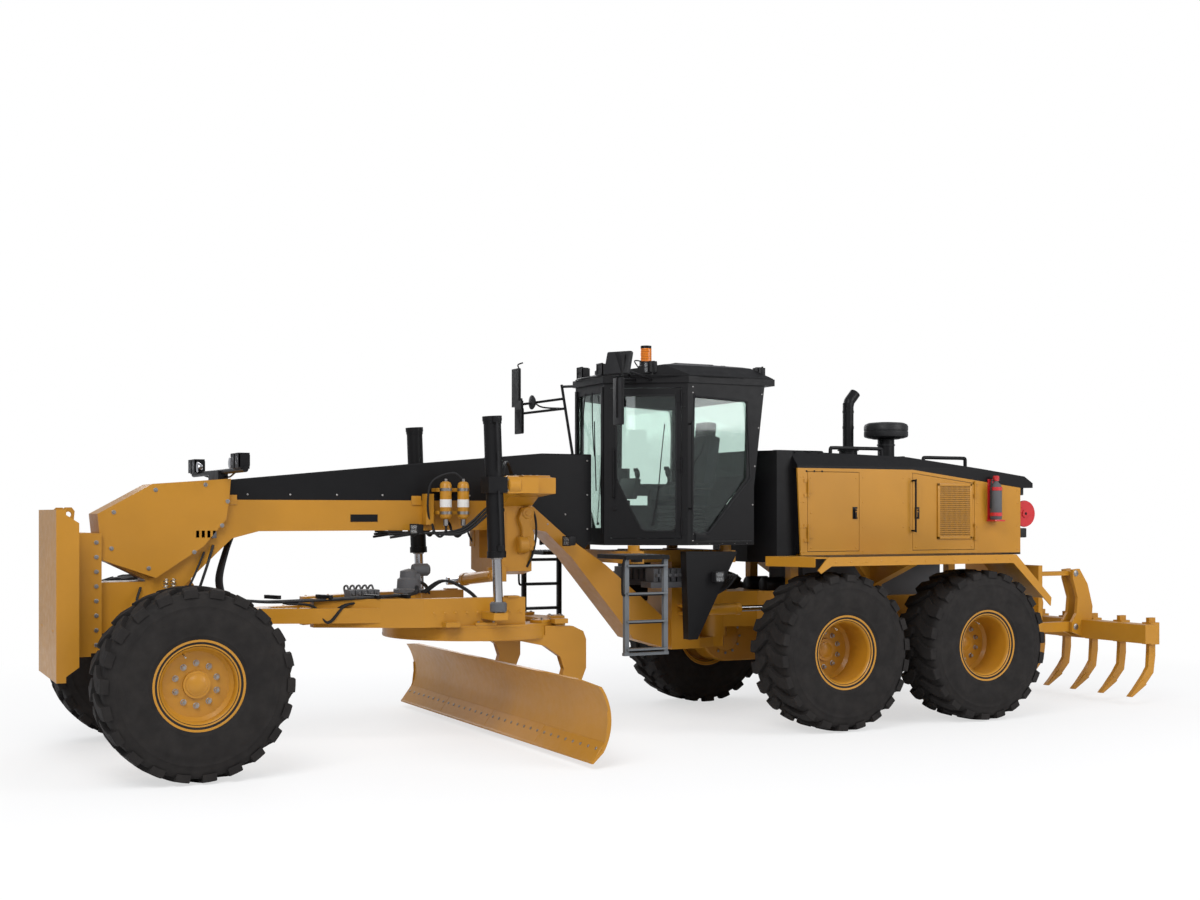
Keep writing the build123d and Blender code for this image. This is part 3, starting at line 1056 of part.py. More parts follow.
with BuildPart() as cab_fittings:
    for hand in (1, -1):
        # platform and ladder
        block(H + 1230, H + 1710, hand * 640, hand * 1250, 1765, 1805)
        block(H + 1230, H + 1330, hand * 640, hand * 700, 1720, 1770)
        for x in (1235, 1665):
            block(H + x, H + x + 40, hand * 1185, hand * 1215, 850, 1770)
        for i in range(4):
            rod((H + 1240, hand * 1200, 885 + i * 270), (H + 1700, hand * 1200, 885 + i * 270), 15)
        # guard and box beside the hitch
        plate([(H + 753, 1821), (H + 137, 1814), (H + 616, 921), (H + 720, 921)], hand * 640, hand * 752)
    # beacon and roof lamps
    rod((H + 805, 0, 3640), (H + 805, 0, 3820), 70)
    rod((H + 805, 0, 3815), (H + 805, 0, 3987), 58)
    for x, y, z in ((1440, 230, 3600), (1440, -230, 3600), (1060, 560, 3620), (1060, -560, 3620),
                    (-200, 640, 3600), (-200, -640, 3600)):
        block(H + x - 40, H + x + 40, y - 62, y + 62, z + 30, z + 140)
        block(H + x - 20, H + x + 20, y - 20, y + 20, z - 10, z + 40)
    # headlamp bar on the nose
    rod((A - 515, -1040, 2590), (A - 515, 1040, 2590), 24)
    block(A - 560, A - 470, -200, 200, 2490, 2600)
    for hand in (1, -1):
        for y in (960, 800):
            block(A - 555, A - 455, hand * y - 60, hand * y + 60, 2605, 2735)
    # mirror arms
    rod((H + 1470, -345, 3560), (H + 1500, -620, 3575), 15)
    rod((H + 1500, -620, 3590), (H + 1590, -165, 2815), 15)
    rod((H + 1515, -540, 3440), (H + 1800, -1080, 3400), 14)
    rod((H + 1530, -480, 3330), (H + 1800, -1080, 3300), 14)
    block(H + 1790, H + 1815, -1240, -1060, 3380, 3800)
    block(H + 1790, H + 1815, -1160, -980, 3080, 3440)
    rod((H + 1060, 600, 3570), (H + 1620, 930, 3640), 14)
    block(H + 1610, H + 1640, 830, 1030, 3560, 3790)
    rod((H + 1180, 480, 3575), (H + 1610, 905, 3530), 14)
    block(H + 1600, H + 1625, 820, 1000, 3080, 3545)
    for carrier in (cab_shell.part, frame_cover.part, front_frame.part):
        add(carrier, mode=Mode.SUBTRACT)
save(cab_fittings.part, "cab_fittings")
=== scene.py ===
"""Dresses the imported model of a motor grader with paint, tread, glass, lamps, hoses and fasteners.

All places are in metres in the model's own frame: X forward, Y to the machine's left, Z up.
"""
import json
import logging
import math
from dataclasses import dataclass, field
from enum import Enum
from typing import Iterable, Sequence

import bmesh
import bpy
from mathutils import Matrix, Vector

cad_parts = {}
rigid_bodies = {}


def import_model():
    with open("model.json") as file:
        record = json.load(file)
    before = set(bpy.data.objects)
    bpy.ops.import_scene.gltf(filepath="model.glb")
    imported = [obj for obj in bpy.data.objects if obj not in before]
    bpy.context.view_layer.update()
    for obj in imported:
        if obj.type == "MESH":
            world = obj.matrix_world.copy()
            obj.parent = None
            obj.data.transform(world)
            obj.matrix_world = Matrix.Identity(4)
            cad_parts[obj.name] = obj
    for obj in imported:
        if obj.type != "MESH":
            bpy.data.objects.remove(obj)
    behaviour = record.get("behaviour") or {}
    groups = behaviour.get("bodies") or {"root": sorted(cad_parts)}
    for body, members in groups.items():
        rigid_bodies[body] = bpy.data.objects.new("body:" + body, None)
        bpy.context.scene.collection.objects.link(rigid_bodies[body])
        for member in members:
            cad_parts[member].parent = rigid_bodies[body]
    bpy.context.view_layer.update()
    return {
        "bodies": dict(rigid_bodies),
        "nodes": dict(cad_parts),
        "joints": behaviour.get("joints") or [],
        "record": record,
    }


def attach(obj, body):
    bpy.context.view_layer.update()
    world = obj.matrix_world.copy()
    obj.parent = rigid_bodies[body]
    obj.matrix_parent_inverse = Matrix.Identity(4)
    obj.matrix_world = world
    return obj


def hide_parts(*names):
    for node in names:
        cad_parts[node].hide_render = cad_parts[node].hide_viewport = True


LOG = logging.getLogger("grader")
Point = Sequence[float]

TANDEM_X = -2.320
HITCH_X = -0.790
CIRCLE_X = 1.980
AXLE_X = 5.045
WHEEL_Y = 1.3515
WHEEL_Z = 0.805
WHEELS = {"rear_left": (-3.2405, 1), "mid_left": (-1.3995, 1), "front_left": (AXLE_X, 1),
          "rear_right": (-3.2405, -1), "mid_right": (-1.3995, -1), "front_right": (AXLE_X, -1)}


# finishes

class NodeBook:
    """Short hand for wiring one material's nodes."""

    def __init__(self, name: str) -> None:
        """Starts a material with a Principled shader."""
        self.material = bpy.data.materials.new(name)
        self.material.use_nodes = True
        self.tree = self.material.node_tree
        self.shader = next(n for n in self.tree.nodes if n.type == "BSDF_PRINCIPLED")
        self.coords = self.tree.nodes.new("ShaderNodeTexCoord")

    def node(self, kind: str, **values: object) -> bpy.types.Node:
        """Adds a node and sets its properties or its inputs by name.

        Args:
            kind: the node's type.
            values: properties, or input names with underscores for spaces.

        Returns:
            The new node.
        """
        made = self.tree.nodes.new(kind)
        for key, value in values.items():
            if hasattr(made, key):
                setattr(made, key, value)
            else:
                made.inputs[key.replace("_", " ")].default_value = value
        return made

    def link(self, source: bpy.types.NodeSocket, target: bpy.types.NodeSocket) -> None:
        """Joins an output to an input."""
        self.tree.links.new(source, target)

    def noise(self, scale: float, detail: float = 3.0, rough: float = 0.5,
              stretch: Point | None = None) -> bpy.types.NodeSocket:
        """Adds a noise pattern on object coordinates.

        Args:
            scale: repeats per metre.
            detail: octaves.
            rough: weight of the fine octaves.
            stretch: scale along x, y and z, for brushed or streaked looks.

        Returns:
            The noise's value output.
        """
        pattern = self.node("ShaderNodeTexNoise", Scale=scale, Detail=detail, Roughness=rough)
        source = self.coords.outputs["Object"]
        if stretch is not None:
            mapping = self.node("ShaderNodeMapping")
            mapping.inputs["Scale"].default_value = stretch
            self.link(source, mapping.inputs["Vector"])
            source = mapping.outputs["Vector"]
        self.link(source, pattern.inputs["Vector"])
        return pattern.outputs["Fac"]

    def ramp(self, source: bpy.types.NodeSocket, low: float, high: float, to_low: float = 0.0,
             to_high: float = 1.0) -> bpy.types.NodeSocket:
        """Maps a value's span to another span, clamped."""
        made = self.node("ShaderNodeMapRange", From_Min=low, From_Max=high, To_Min=to_low, To_Max=to_high)
        self.link(source, made.inputs["Value"])
        return made.outputs["Result"]

    def math(self, operation: str, first: bpy.types.NodeSocket,
             second: bpy.types.NodeSocket | float) -> bpy.types.NodeSocket:
        """Joins two values by an operation, clamped to 0 and 1."""
        made = self.node("ShaderNodeMath", operation=operation, use_clamp=True)
        self.link(first, made.inputs[0])
        if isinstance(second, (int, float)):
            made.inputs[1].default_value = second
        else:
            self.link(second, made.inputs[1])
        return made.outputs["Value"]

    def blend(self, factor: bpy.types.NodeSocket, first: object, second: object) -> bpy.types.NodeSocket:
        """Mixes two colours, each a plain colour or a socket."""
        made = self.node("ShaderNodeMix", data_type="RGBA")
        self.link(factor, made.inputs["Factor"])
        for slot, value in ((made.inputs[6], first), (made.inputs[7], second)):
            if isinstance(value, tuple):
                slot.default_value = (*value, 1.0)
            else:
                self.link(value, slot)
        return made.outputs[2]

    def bump(self, height: bpy.types.NodeSocket, strength: float, distance: float) -> None:
        """Raises the surface by a height pattern."""
        made = self.node("ShaderNodeBump", Strength=strength, Distance=distance)
        self.link(height, made.inputs["Height"])
        if self.shader.inputs["Normal"].links:
            self.link(self.shader.inputs["Normal"].links[0].from_socket, made.inputs["Normal"])
        self.link(made.outputs["Normal"], self.shader.inputs["Normal"])

    def edges(self, radius: float) -> bpy.types.NodeSocket:
        """Finds edges by how far a rounded normal leaves the true one.

        Returns:
            A value that grows towards sharp edges.
        """
        round_off = self.node("ShaderNodeBevel", samples=3, Radius=radius)
        geometry = self.node("ShaderNodeNewGeometry")
        dot = self.node("ShaderNodeVectorMath", operation="DOT_PRODUCT")
        self.link(round_off.outputs["Normal"], dot.inputs[0])
        self.link(geometry.outputs["Normal"], dot.inputs[1])
        return self.ramp(dot.outputs["Value"], 0.985, 0.86)

    def upward(self) -> bpy.types.NodeSocket:
        """Value that is 1 on faces that look up, where dust settles."""
        geometry = self.node("ShaderNodeNewGeometry")
        parts = self.node("ShaderNodeSeparateXYZ")
        self.link(geometry.outputs["Normal"], parts.inputs["Vector"])
        return self.ramp(parts.outputs["Z"], 0.55, 0.98)


@dataclass(frozen=True)
class Paint:
    """Sprayed enamel with faint orange peel, dust on top faces and worn edges."""
    name: str
    slot: str
    color: tuple[float, float, float]
    rough: float = 0.38
    dust: tuple[float, float, float] = (0.42, 0.36, 0.28)
    dusty: float = 0.16
    worn: tuple[float, float, float] = (0.30, 0.25, 0.18)
    wear: float = 0.35
    coat: float = 0.12
    gloss: float = 0.35

    def make(self) -> bpy.types.Material:
        """Builds the material and returns it."""
        book = NodeBook(self.name)
        shade = book.shader.inputs
        shade["Coat Weight"].default_value = self.coat
        shade["Specular IOR Level"].default_value = self.gloss
        shade["Coat Roughness"].default_value = 0.16
        cloud = book.ramp(book.noise(1.7, 4.0), 0.3, 0.72)
        deep = tuple(c * 0.88 for c in self.color)
        color = book.blend(cloud, deep, self.color)
        film = book.math("MULTIPLY", book.upward(), book.ramp(book.noise(9.0, 6.0, 0.65), 0.35, 0.8))
        color = book.blend(book.math("MULTIPLY", film, self.dusty), color, self.dust)
        scuff = book.math("MULTIPLY", book.edges(0.006), book.ramp(book.noise(22.0, 5.0, 0.7), 0.47, 0.66))
        color = book.blend(book.math("MULTIPLY", scuff, self.wear), color, self.worn)
        book.link(color, shade["Base Color"])
        book.link(book.ramp(book.noise(14.0, 5.0, 0.6), 0.25, 0.8, self.rough - 0.07, self.rough + 0.13),
                  shade["Roughness"])
        book.bump(book.noise(420.0, 2.0), 0.05, 0.0006)
        book.bump(book.noise(5.0, 2.0), 0.08, 0.004)
        return book.material


@dataclass(frozen=True)
class Rubber:
    """Tyre or hose rubber with a dry bloom and fine grain."""
    name: str
    slot: str
    color: tuple[float, float, float]
    bloom: tuple[float, float, float]
    rough: float = 0.78
    grain: float = 260.0
    share: float = 0.55

    def make(self) -> bpy.types.Material:
        """Builds the material and returns it."""
        book = NodeBook(self.name)
        shade = book.shader.inputs
        shade["Specular IOR Level"].default_value = 0.15
        patch = book.math("MULTIPLY", book.ramp(book.noise(6.0, 6.0, 0.6), 0.38, 0.75), self.share)
        color = book.blend(patch, self.color, self.bloom)
        speck = book.math("MULTIPLY", book.ramp(book.noise(90.0, 4.0, 0.7), 0.6, 0.75), 0.25)
        book.link(book.blend(speck, color, self.bloom), shade["Base Color"])
        book.link(book.ramp(book.noise(18.0, 4.0), 0.3, 0.7, self.rough - 0.08, self.rough + 0.1),
                  shade["Roughness"])
        book.bump(book.noise(self.grain, 3.0), 0.12, 0.0012)
        return book.material


@dataclass(frozen=True)
class Metal:
    """Bare, plated or ground steel with drawn or ground marks."""
    name: str
    slot: str
    color: tuple[float, float, float]
    rough: float = 0.25
    stain: tuple[float, float, float] = (0.16, 0.11, 0.08)
    stained: float = 0.2
    lines: tuple[float, float, float] = (6.0, 6.0, 6.0)

    def make(self) -> bpy.types.Material:
        """Builds the material and returns it."""
        book = NodeBook(self.name)
        shade = book.shader.inputs
        shade["Metallic"].default_value = 1.0
        marks = book.noise(30.0, 4.0, 0.6, self.lines)
        tone = book.blend(book.ramp(marks, 0.3, 0.7), tuple(c * 0.82 for c in self.color), self.color)
        rust = book.math("MULTIPLY", book.ramp(book.noise(7.0, 6.0, 0.65), 0.5, 0.78), self.stained)
        book.link(book.blend(rust, tone, self.stain), shade["Base Color"])
        book.link(book.ramp(marks, 0.25, 0.75, self.rough * 0.8, self.rough * 1.35), shade["Roughness"])
        book.bump(marks, 0.06, 0.0005)
        return book.material


@dataclass(frozen=True)
class Moulding:
    """Moulded plastic or woven trim with a fine texture."""
    name: str
    slot: str
    color: tuple[float, float, float]
    rough: float = 0.6
    texture: float = 320.0
    depth: float = 0.1

    def make(self) -> bpy.types.Material:
        """Builds the material and returns it."""
        book = NodeBook(self.name)
        shade = book.shader.inputs
        shade["Specular IOR Level"].default_value = 0.25
        tone = book.ramp(book.noise(11.0, 5.0, 0.6), 0.35, 0.7)
        book.link(book.blend(tone, tuple(c * 0.8 for c in self.color), self.color), shade["Base Color"])
        book.link(book.ramp(book.noise(40.0, 3.0), 0.3, 0.7, self.rough - 0.06, self.rough + 0.06),
                  shade["Roughness"])
        book.bump(book.noise(self.texture, 2.0), self.depth, 0.001)
        return book.material


@dataclass(frozen=True)
class Pane:
    """Clear or tinted glass or lens."""
    name: str
    slot: str
    color: tuple[float, float, float]
    rough: float = 0.03
    clear: float = 1.0
    glow: float = 0.0
    ribs: float = 0.0

    def make(self) -> bpy.types.Material:
        """Builds the material and returns it."""
        book = NodeBook(self.name)
        shade = book.shader.inputs
        shade["Transmission Weight"].default_value = self.clear
        shade["IOR"].default_value = 1.45
        smear = book.ramp(book.noise(3.0, 5.0, 0.6), 0.4, 0.8)
        book.link(book.blend(smear, self.color, tuple(min(1.0, c * 0.93 + 0.02) for c in self.color)),
                  shade["Base Color"])
        book.link(book.ramp(book.noise(8.0, 5.0), 0.4, 0.8, self.rough, self.rough + 0.05),
                  shade["Roughness"])
        if self.glow:
            shade["Emission Color"].default_value = (*self.color, 1.0)
            shade["Emission Strength"].default_value = self.glow
        if self.ribs:
            book.bump(book.noise(self.ribs, 0.0, 0.0, (0.05, 1.0, 0.05)), 0.4, 0.002)
        return book.material


class Finish(Enum):
    """The finishes of the grader; each is built once and shared."""
    YELLOW = Paint("machine_yellow", "golden_paint", (0.455, 0.205, 0.014), dusty=0.10)
    BLACK = Paint("frame_black", "black_paint", (0.0062, 0.0060, 0.0066), 0.42, (0.055, 0.05, 0.045), 0.2,
                  (0.07, 0.07, 0.07), 0.3, 0.03, 0.16)
    # Black paint painted lighter grey: a painted highlight for the ladder on the lit side.
    BLACK_PAINTED_LIGHTER = Paint("step_black_painted_lighter", "black_paint", (0.115, 0.125, 0.135), 0.5, worn=(0.3, 0.3, 0.3))
    RED = Paint("safety_red", "black_paint", (0.52, 0.016, 0.02), 0.3, dusty=0.05, wear=0.1, coat=0.6)
    LABEL = Paint("label_white", "golden_paint", (0.72, 0.71, 0.68), 0.45, dusty=0.05, wear=0.0)
    TYRE = Rubber("dry_tyre_rubber", "tyre_rubber", (0.0150, 0.0135, 0.0130), (0.030, 0.0265, 0.0245))
    HOSE = Rubber("hose_rubber", "tyre_rubber", (0.014, 0.014, 0.015), (0.04, 0.04, 0.04), 0.5, 500.0, 0.3)
    CHROME = Metal("polished_chrome", "rod_chrome", (0.62, 0.62, 0.63), 0.12, stained=0.03,
                   lines=(1.0, 1.0, 0.1))
    STEEL = Metal("plain_steel", "forged_steel", (0.33, 0.32, 0.31), 0.38, stained=0.45)
    ZINC = Metal("plated_fitting", "forged_steel", (0.52, 0.50, 0.44), 0.3, stained=0.15)
    CASTING = Paint("casting_grey", "engine_grey", (0.09, 0.09, 0.095), 0.6, wear=0.1, coat=0.0)
    TRIM = Moulding("moulded_trim", "interior_trim", (0.022, 0.022, 0.024))
    PLASTIC = Moulding("lamp_housing", "interior_trim", (0.015, 0.015, 0.016), 0.45, 500.0, 0.05)
    CLOTH = Moulding("seat_cloth", "interior_trim", (0.045, 0.045, 0.05), 0.9, 700.0, 0.35)
    GLASS = Pane("cab_glass", "tinted_glass", (0.74, 0.86, 0.81))
    LENS = Pane("lamp_lens", "tinted_glass", (0.93, 0.95, 0.96), 0.08, 0.85, ribs=160.0)
    AMBER = Pane("beacon_amber", "tinted_glass", (1.0, 0.26, 0.01), 0.15, 0.35, 0.12, 120.0)
    REDLENS = Pane("rear_lens", "tinted_glass", (0.6, 0.01, 0.01), 0.15, 0.3)
    MIRROR = Metal("mirror_glass", "rod_chrome", (0.8, 0.82, 0.83), 0.02, stained=0.0)

    def material(self) -> bpy.types.Material:
        """Returns the built material, made at its first use."""
        held = bpy.data.materials.get(self.value.name)
        return held or self.value.make()


# meshes

class Shaper:
    """Collects the faces of one piece, all in the model's frame."""

    def __init__(self) -> None:
        """Starts with an empty mesh."""
        self.mesh = bmesh.new()

    def _merge(self, part: bmesh.types.BMesh) -> None:
        """Adds a finished small mesh to the piece."""
        scratch = bpy.data.meshes.new("scratch")
        bmesh.ops.recalc_face_normals(part, faces=part.faces)
        part.to_mesh(scratch)
        part.free()
        self.mesh.from_mesh(scratch)
        bpy.data.meshes.remove(scratch)

    def box(self, low: Point, high: Point, bevel: float = 0.004, turn: Matrix | None = None) -> "Shaper":
        """Adds a block with rounded edges.

        Args:
            low: one corner.
            high: the opposite corner, in any order.
            bevel: width of the rounding.
            turn: a matrix for the corners, about the block's middle.

        Returns:
            The shaper, for chaining.
        """
        part = bmesh.new()
        middle = (Vector(low) + Vector(high)) / 2
        size = Vector([abs(side) for side in Vector(high) - Vector(low)])
        bmesh.ops.create_cube(part, size=1.0)
        bmesh.ops.scale(part, vec=size, verts=part.verts)
        bevel = min(bevel, 0.45 * min(size))
        if bevel > 0:
            bmesh.ops.bevel(part, geom=part.edges[:], offset=bevel, segments=2, affect="EDGES", profile=0.7)
        if turn is not None:
            bmesh.ops.transform(part, matrix=turn.to_4x4(), verts=part.verts)
        bmesh.ops.translate(part, vec=middle, verts=part.verts)
        self._merge(part)
        return self

    def lathe(self, profile: Sequence[Point], base: Point, axis: Point, sides: int = 32) -> "Shaper":
        """Turns a profile of (along, radius) pairs about an axis.

        A profile that neither starts nor ends on the axis is closed into a ring.

        Args:
            profile: pairs of distance along the axis and radius.
            base: where the axis starts.
            axis: its direction.
            sides: facets round the axis.

        Returns:
            The shaper, for chaining.
        """
        part = bmesh.new()
        aim = Vector(axis).normalized()
        turn = Vector((0, 0, 1)).rotation_difference(aim)
        rings = []
        for along, radius in profile:
            if radius < 1e-6:
                rings.append([part.verts.new(Vector(base) + aim * along)])
                continue
            ring = []
            for k in range(sides):
                angle = 2 * math.pi * k / sides
                spoke = turn @ Vector((math.cos(angle), math.sin(angle), 0))
                ring.append(part.verts.new(Vector(base) + aim * along + spoke * radius))
            rings.append(ring)
        for one, two in zip(rings, rings[1:]):
            for k in range(sides):
                nxt = (k + 1) % sides
                if len(one) == 1 and len(two) == 1:
                    break
                if len(one) == 1:
                    part.faces.new((one[0], two[k], two[nxt]))
                elif len(two) == 1:
                    part.faces.new((one[k], one[nxt], two[0]))
                else:
                    part.faces.new((one[k], one[nxt], two[nxt], two[k]))
        if len(rings[0]) > 1 and len(rings[-1]) > 1:
            for k in range(sides):
                nxt = (k + 1) % sides
                part.faces.new((rings[-1][k], rings[-1][nxt], rings[0][nxt], rings[0][k]))
        else:
            for ring in (rings[0], rings[-1]):
                if len(ring) > 1:
                    part.faces.new(ring)
        self._merge(part)
        return self

    def rod(self, start: Point, end: Point, radius: float, sides: int = 24, bevel: float = 0.003) -> "Shaper":
        """Adds a round bar with broken edges."""
        run = Vector(end) - Vector(start)
        size = run.length
        edge = min(bevel, radius * 0.4, size * 0.4)
        profile = [(0, 0), (0, radius - edge), (edge, radius), (size - edge, radius), (size, radius - edge),
                   (size, 0)]
        return self.lathe(profile, start, run, sides)

    def tube(self, route: Sequence[Point], radius: float, sides: int = 10, steps: int = 6) -> "Shaper":
        """Adds a hose or pipe along a smooth line through points.

        Args:
            route: points that the middle line passes.
            radius: of the hose.
            sides: facets round it.
            steps: pieces between two points.

        Returns:
            The shaper, for chaining.
        """
        points = [Vector(p) for p in route]
        ends = [2 * points[0] - points[1], *points, 2 * points[-1] - points[-2]]
        line = []
        for i in range(1, len(ends) - 2):
            before, here, there, after = ends[i - 1:i + 3]
            for k in range(steps):
                t = k / steps
                line.append(0.5 * (2 * here + (there - before) * t
                                   + (2 * before - 5 * here + 4 * there - after) * t * t
                                   + (3 * here - before - 3 * there + after) * t ** 3))
        line.append(points[-1])
        part = bmesh.new()
        rings = []
        aim = (line[1] - line[0]).normalized()
        cross = aim.orthogonal().normalized()
        for i, spot in enumerate(line):
            nxt = line[min(i + 1, len(line) - 1)] - line[max(i - 1, 0)]
            new_aim = nxt.normalized()
            cross = (aim.rotation_difference(new_aim) @ cross).normalized()
            aim = new_aim
            other = aim.cross(cross)
            rings.append([part.verts.new(spot + radius * (math.cos(2 * math.pi * k / sides) * cross
                                                          + math.sin(2 * math.pi * k / sides) * other))
                          for k in range(sides)])
        for one, two in zip(rings, rings[1:]):
            for k in range(sides):
                part.faces.new((one[k], one[(k + 1) % sides], two[(k + 1) % sides], two[k]))
        part.faces.new(rings[0])
        part.faces.new(rings[-1])
        self._merge(part)
        return self

    def plate(self, outline: Sequence[Point], thick: Point, bevel: float = 0.003) -> "Shaper":
        """Adds a flat plate from its outline.

        Args:
            outline: corner points in 3-D, in order, in one plane.
            thick: the vector that gives the plate its thickness.
            bevel: width of the broken edges.

        Returns:
            The shaper, for chaining.
        """
        part = bmesh.new()
        base = [part.verts.new(Vector(p)) for p in outline]
        face = part.faces.new(base)
        grown = bmesh.ops.extrude_face_region(part, geom=[face])
        moved = [v for v in grown["geom"] if isinstance(v, bmesh.types.BMVert)]
        bmesh.ops.translate(part, vec=Vector(thick), verts=moved)
        if bevel > 0:
            bmesh.ops.bevel(part, geom=part.edges[:], offset=bevel, segments=1, affect="EDGES",
                            clamp_overlap=True)
        self._merge(part)
        return self

    def piece(self, name: str, body: str, finish: Finish, smooth: float = 38.0,
              replaces: Sequence[str] = ()) -> bpy.types.Object:
        """Turns the collected faces into one piece that rides on a body.

        Args:
            name: the piece's name.
            body: the body it moves with.
            finish: its finish.
            smooth: angle in degrees under which edges are shaded smooth.
            replaces: CAD nodes that it stands for.

        Returns:
            The new object.
        """
        data = bpy.data.meshes.new(name)
        self.mesh.to_mesh(data)
        self.mesh.free()
        return dress(data, name, body, finish, smooth, replaces)


def dress(data: bpy.types.Mesh, name: str, body: str, finish: Finish, smooth: float = 38.0,
          replaces: Sequence[str] = ()) -> bpy.types.Object:
    """Makes a piece from a mesh: material, shading and body.

    Args:
        data: the finished mesh in the model's frame.
        name: the piece's name.
        body: the body it moves with.
        finish: its finish.
        smooth: angle in degrees under which edges are shaded smooth.
        replaces: CAD nodes that it stands for.

    Returns:
        The new object.
    """
    data.materials.clear()
    data.materials.append(finish.material())
    data.polygons.foreach_set("use_smooth", [True] * len(data.polygons))
    data.set_sharp_from_angle(angle=math.radians(smooth))
    made = bpy.data.objects.new(name, data)
    bpy.context.scene.collection.objects.link(made)
    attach(made, body)
    if replaces:
        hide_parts(*replaces)
    LOG.info("%s on %s: %d faces", name, body, len(data.polygons))
    return made


class Scatter:
    """Geometry Nodes that set one small mesh at many places and turn it to each place's aim."""

    def __init__(self) -> None:
        """Builds the tree with named inputs for size and finish."""
        tree = bpy.data.node_groups.new("repeat_at_places", "GeometryNodeTree")
        face = tree.interface
        face.new_socket("Geometry", in_out="INPUT", socket_type="NodeSocketGeometry")
        self.shape_id = face.new_socket("Shape", in_out="INPUT", socket_type="NodeSocketObject").identifier
        self.size_id = face.new_socket("Size", in_out="INPUT", socket_type="NodeSocketFloat").identifier
        self.finish_id = face.new_socket("Finish", in_out="INPUT",
                                         socket_type="NodeSocketMaterial").identifier
        face.new_socket("Geometry", in_out="OUTPUT", socket_type="NodeSocketGeometry")
        nodes, links = tree.nodes, tree.links
        entry, leave = nodes.new("NodeGroupInput"), nodes.new("NodeGroupOutput")
        info = nodes.new("GeometryNodeObjectInfo")
        aim = nodes.new("GeometryNodeInputNamedAttribute")
        aim.data_type = "FLOAT_VECTOR"
        aim.inputs["Name"].default_value = "aim"
        turn = nodes.new("FunctionNodeAlignRotationToVector")
        turn.axis = "Z"
        place = nodes.new("GeometryNodeInstanceOnPoints")
        real = nodes.new("GeometryNodeRealizeInstances")
        paint = nodes.new("GeometryNodeSetMaterial")
        links.new(entry.outputs["Geometry"], place.inputs["Points"])
        links.new(entry.outputs["Shape"], info.inputs["Object"])
        links.new(info.outputs["Geometry"], place.inputs["Instance"])
        links.new(aim.outputs["Attribute"], turn.inputs["Vector"])
        links.new(turn.outputs["Rotation"], place.inputs["Rotation"])
        links.new(entry.outputs["Size"], place.inputs["Scale"])
        links.new(place.outputs["Instances"], real.inputs["Geometry"])
        links.new(real.outputs["Geometry"], paint.inputs["Geometry"])
        links.new(entry.outputs["Finish"], paint.inputs["Material"])
        links.new(paint.outputs["Geometry"], leave.inputs["Geometry"])
        self.tree = tree
        self.bolt = self._store("bolt_form", Shaper().lathe(
            [(-0.1, 0), (-0.1, 1.3), (0.16, 1.3), (0.2, 1.22), (0.2, 1.0)], (0, 0, 0), (0, 0, 1), 12).lathe(
            [(0.18, 0), (0.18, 0.98), (0.72, 0.98), (0.82, 0.84), (0.82, 0)], (0, 0, 0), (0, 0, 1), 6))
        self.cap = self._store("cap_form", Shaper().lathe(
            [(-0.1, 0), (-0.1, 1.0), (0.16, 1.0), (0.34, 0.8), (0.44, 0.4), (0.46, 0)], (0, 0, 0), (0, 0, 1),
            10))

    @staticmethod
    def _store(name: str, shaper: Shaper) -> bpy.types.Object:
        """Keeps a small mesh as an object that is in no collection."""
        data = bpy.data.meshes.new(name)
        shaper.mesh.to_mesh(data)
        shaper.mesh.free()
        return bpy.data.objects.new(name, data)

    def spread(self, name: str, body: str, finish: Finish, size: float,
               places: Iterable[tuple[Point, Point]], shape: bpy.types.Object | None = None,
               replaces: Sequence[str] = ()) -> bpy.types.Object:
        """Makes one piece of a small shape repeated at places.

        Args:
            name: the piece's name.
            body: the body it moves with.
            finish: its finish.
            size: scale of the shape, for a bolt half its head's width in metres.
            places: pairs of a point and the direction that the shape's Z follows.
            shape: what is repeated; the bolt when left out.
            replaces: CAD nodes that it stands for.

        Returns:
            The new object.
        """
        spots = list(places)
        data = bpy.data.meshes.new(name + "_places")
        data.from_pydata([tuple(spot) for spot, _ in spots], [], [])
        data.attributes.new("aim", "FLOAT_VECTOR", "POINT")
        aims = data.attributes["aim"].data
        for i, (_, aim) in enumerate(spots):
            aims[i].vector = Vector(aim)
        holder = bpy.data.objects.new(name + "_places", data)
        bpy.context.scene.collection.objects.link(holder)
        chosen = shape or self.bolt
        bpy.context.scene.collection.objects.link(chosen)
        modifier = holder.modifiers.new("repeat", "NODES")
        modifier.node_group = self.tree
        modifier[self.shape_id] = chosen
        modifier[self.size_id] = size
        modifier[self.finish_id] = finish.material()
        ready = holder.evaluated_get(bpy.context.evaluated_depsgraph_get())
        result = bpy.data.meshes.new_from_object(ready)
        holder.modifiers.clear()
        bpy.data.objects.remove(holder)
        bpy.context.scene.collection.objects.unlink(chosen)
        return dress(result, name, body, finish, 34.0, replaces)


def ring(middle: Point, axis: Point, radius: float, count: int, phase: float = 0.0,
         outward: bool = False) -> list[tuple[Point, Point]]:
    """Places in a circle, with the axis or the spoke as aim."""
    aim = Vector(axis).normalized()
    turn = Vector((0, 0, 1)).rotation_difference(aim)
    found = []
    for k in range(count):
        angle = math.radians(phase) + 2 * math.pi * k / count
        spoke = turn @ Vector((math.cos(angle), math.sin(angle), 0))
        found.append((Vector(middle) + spoke * radius, spoke if outward else aim))
    return found


# sub-assemblies

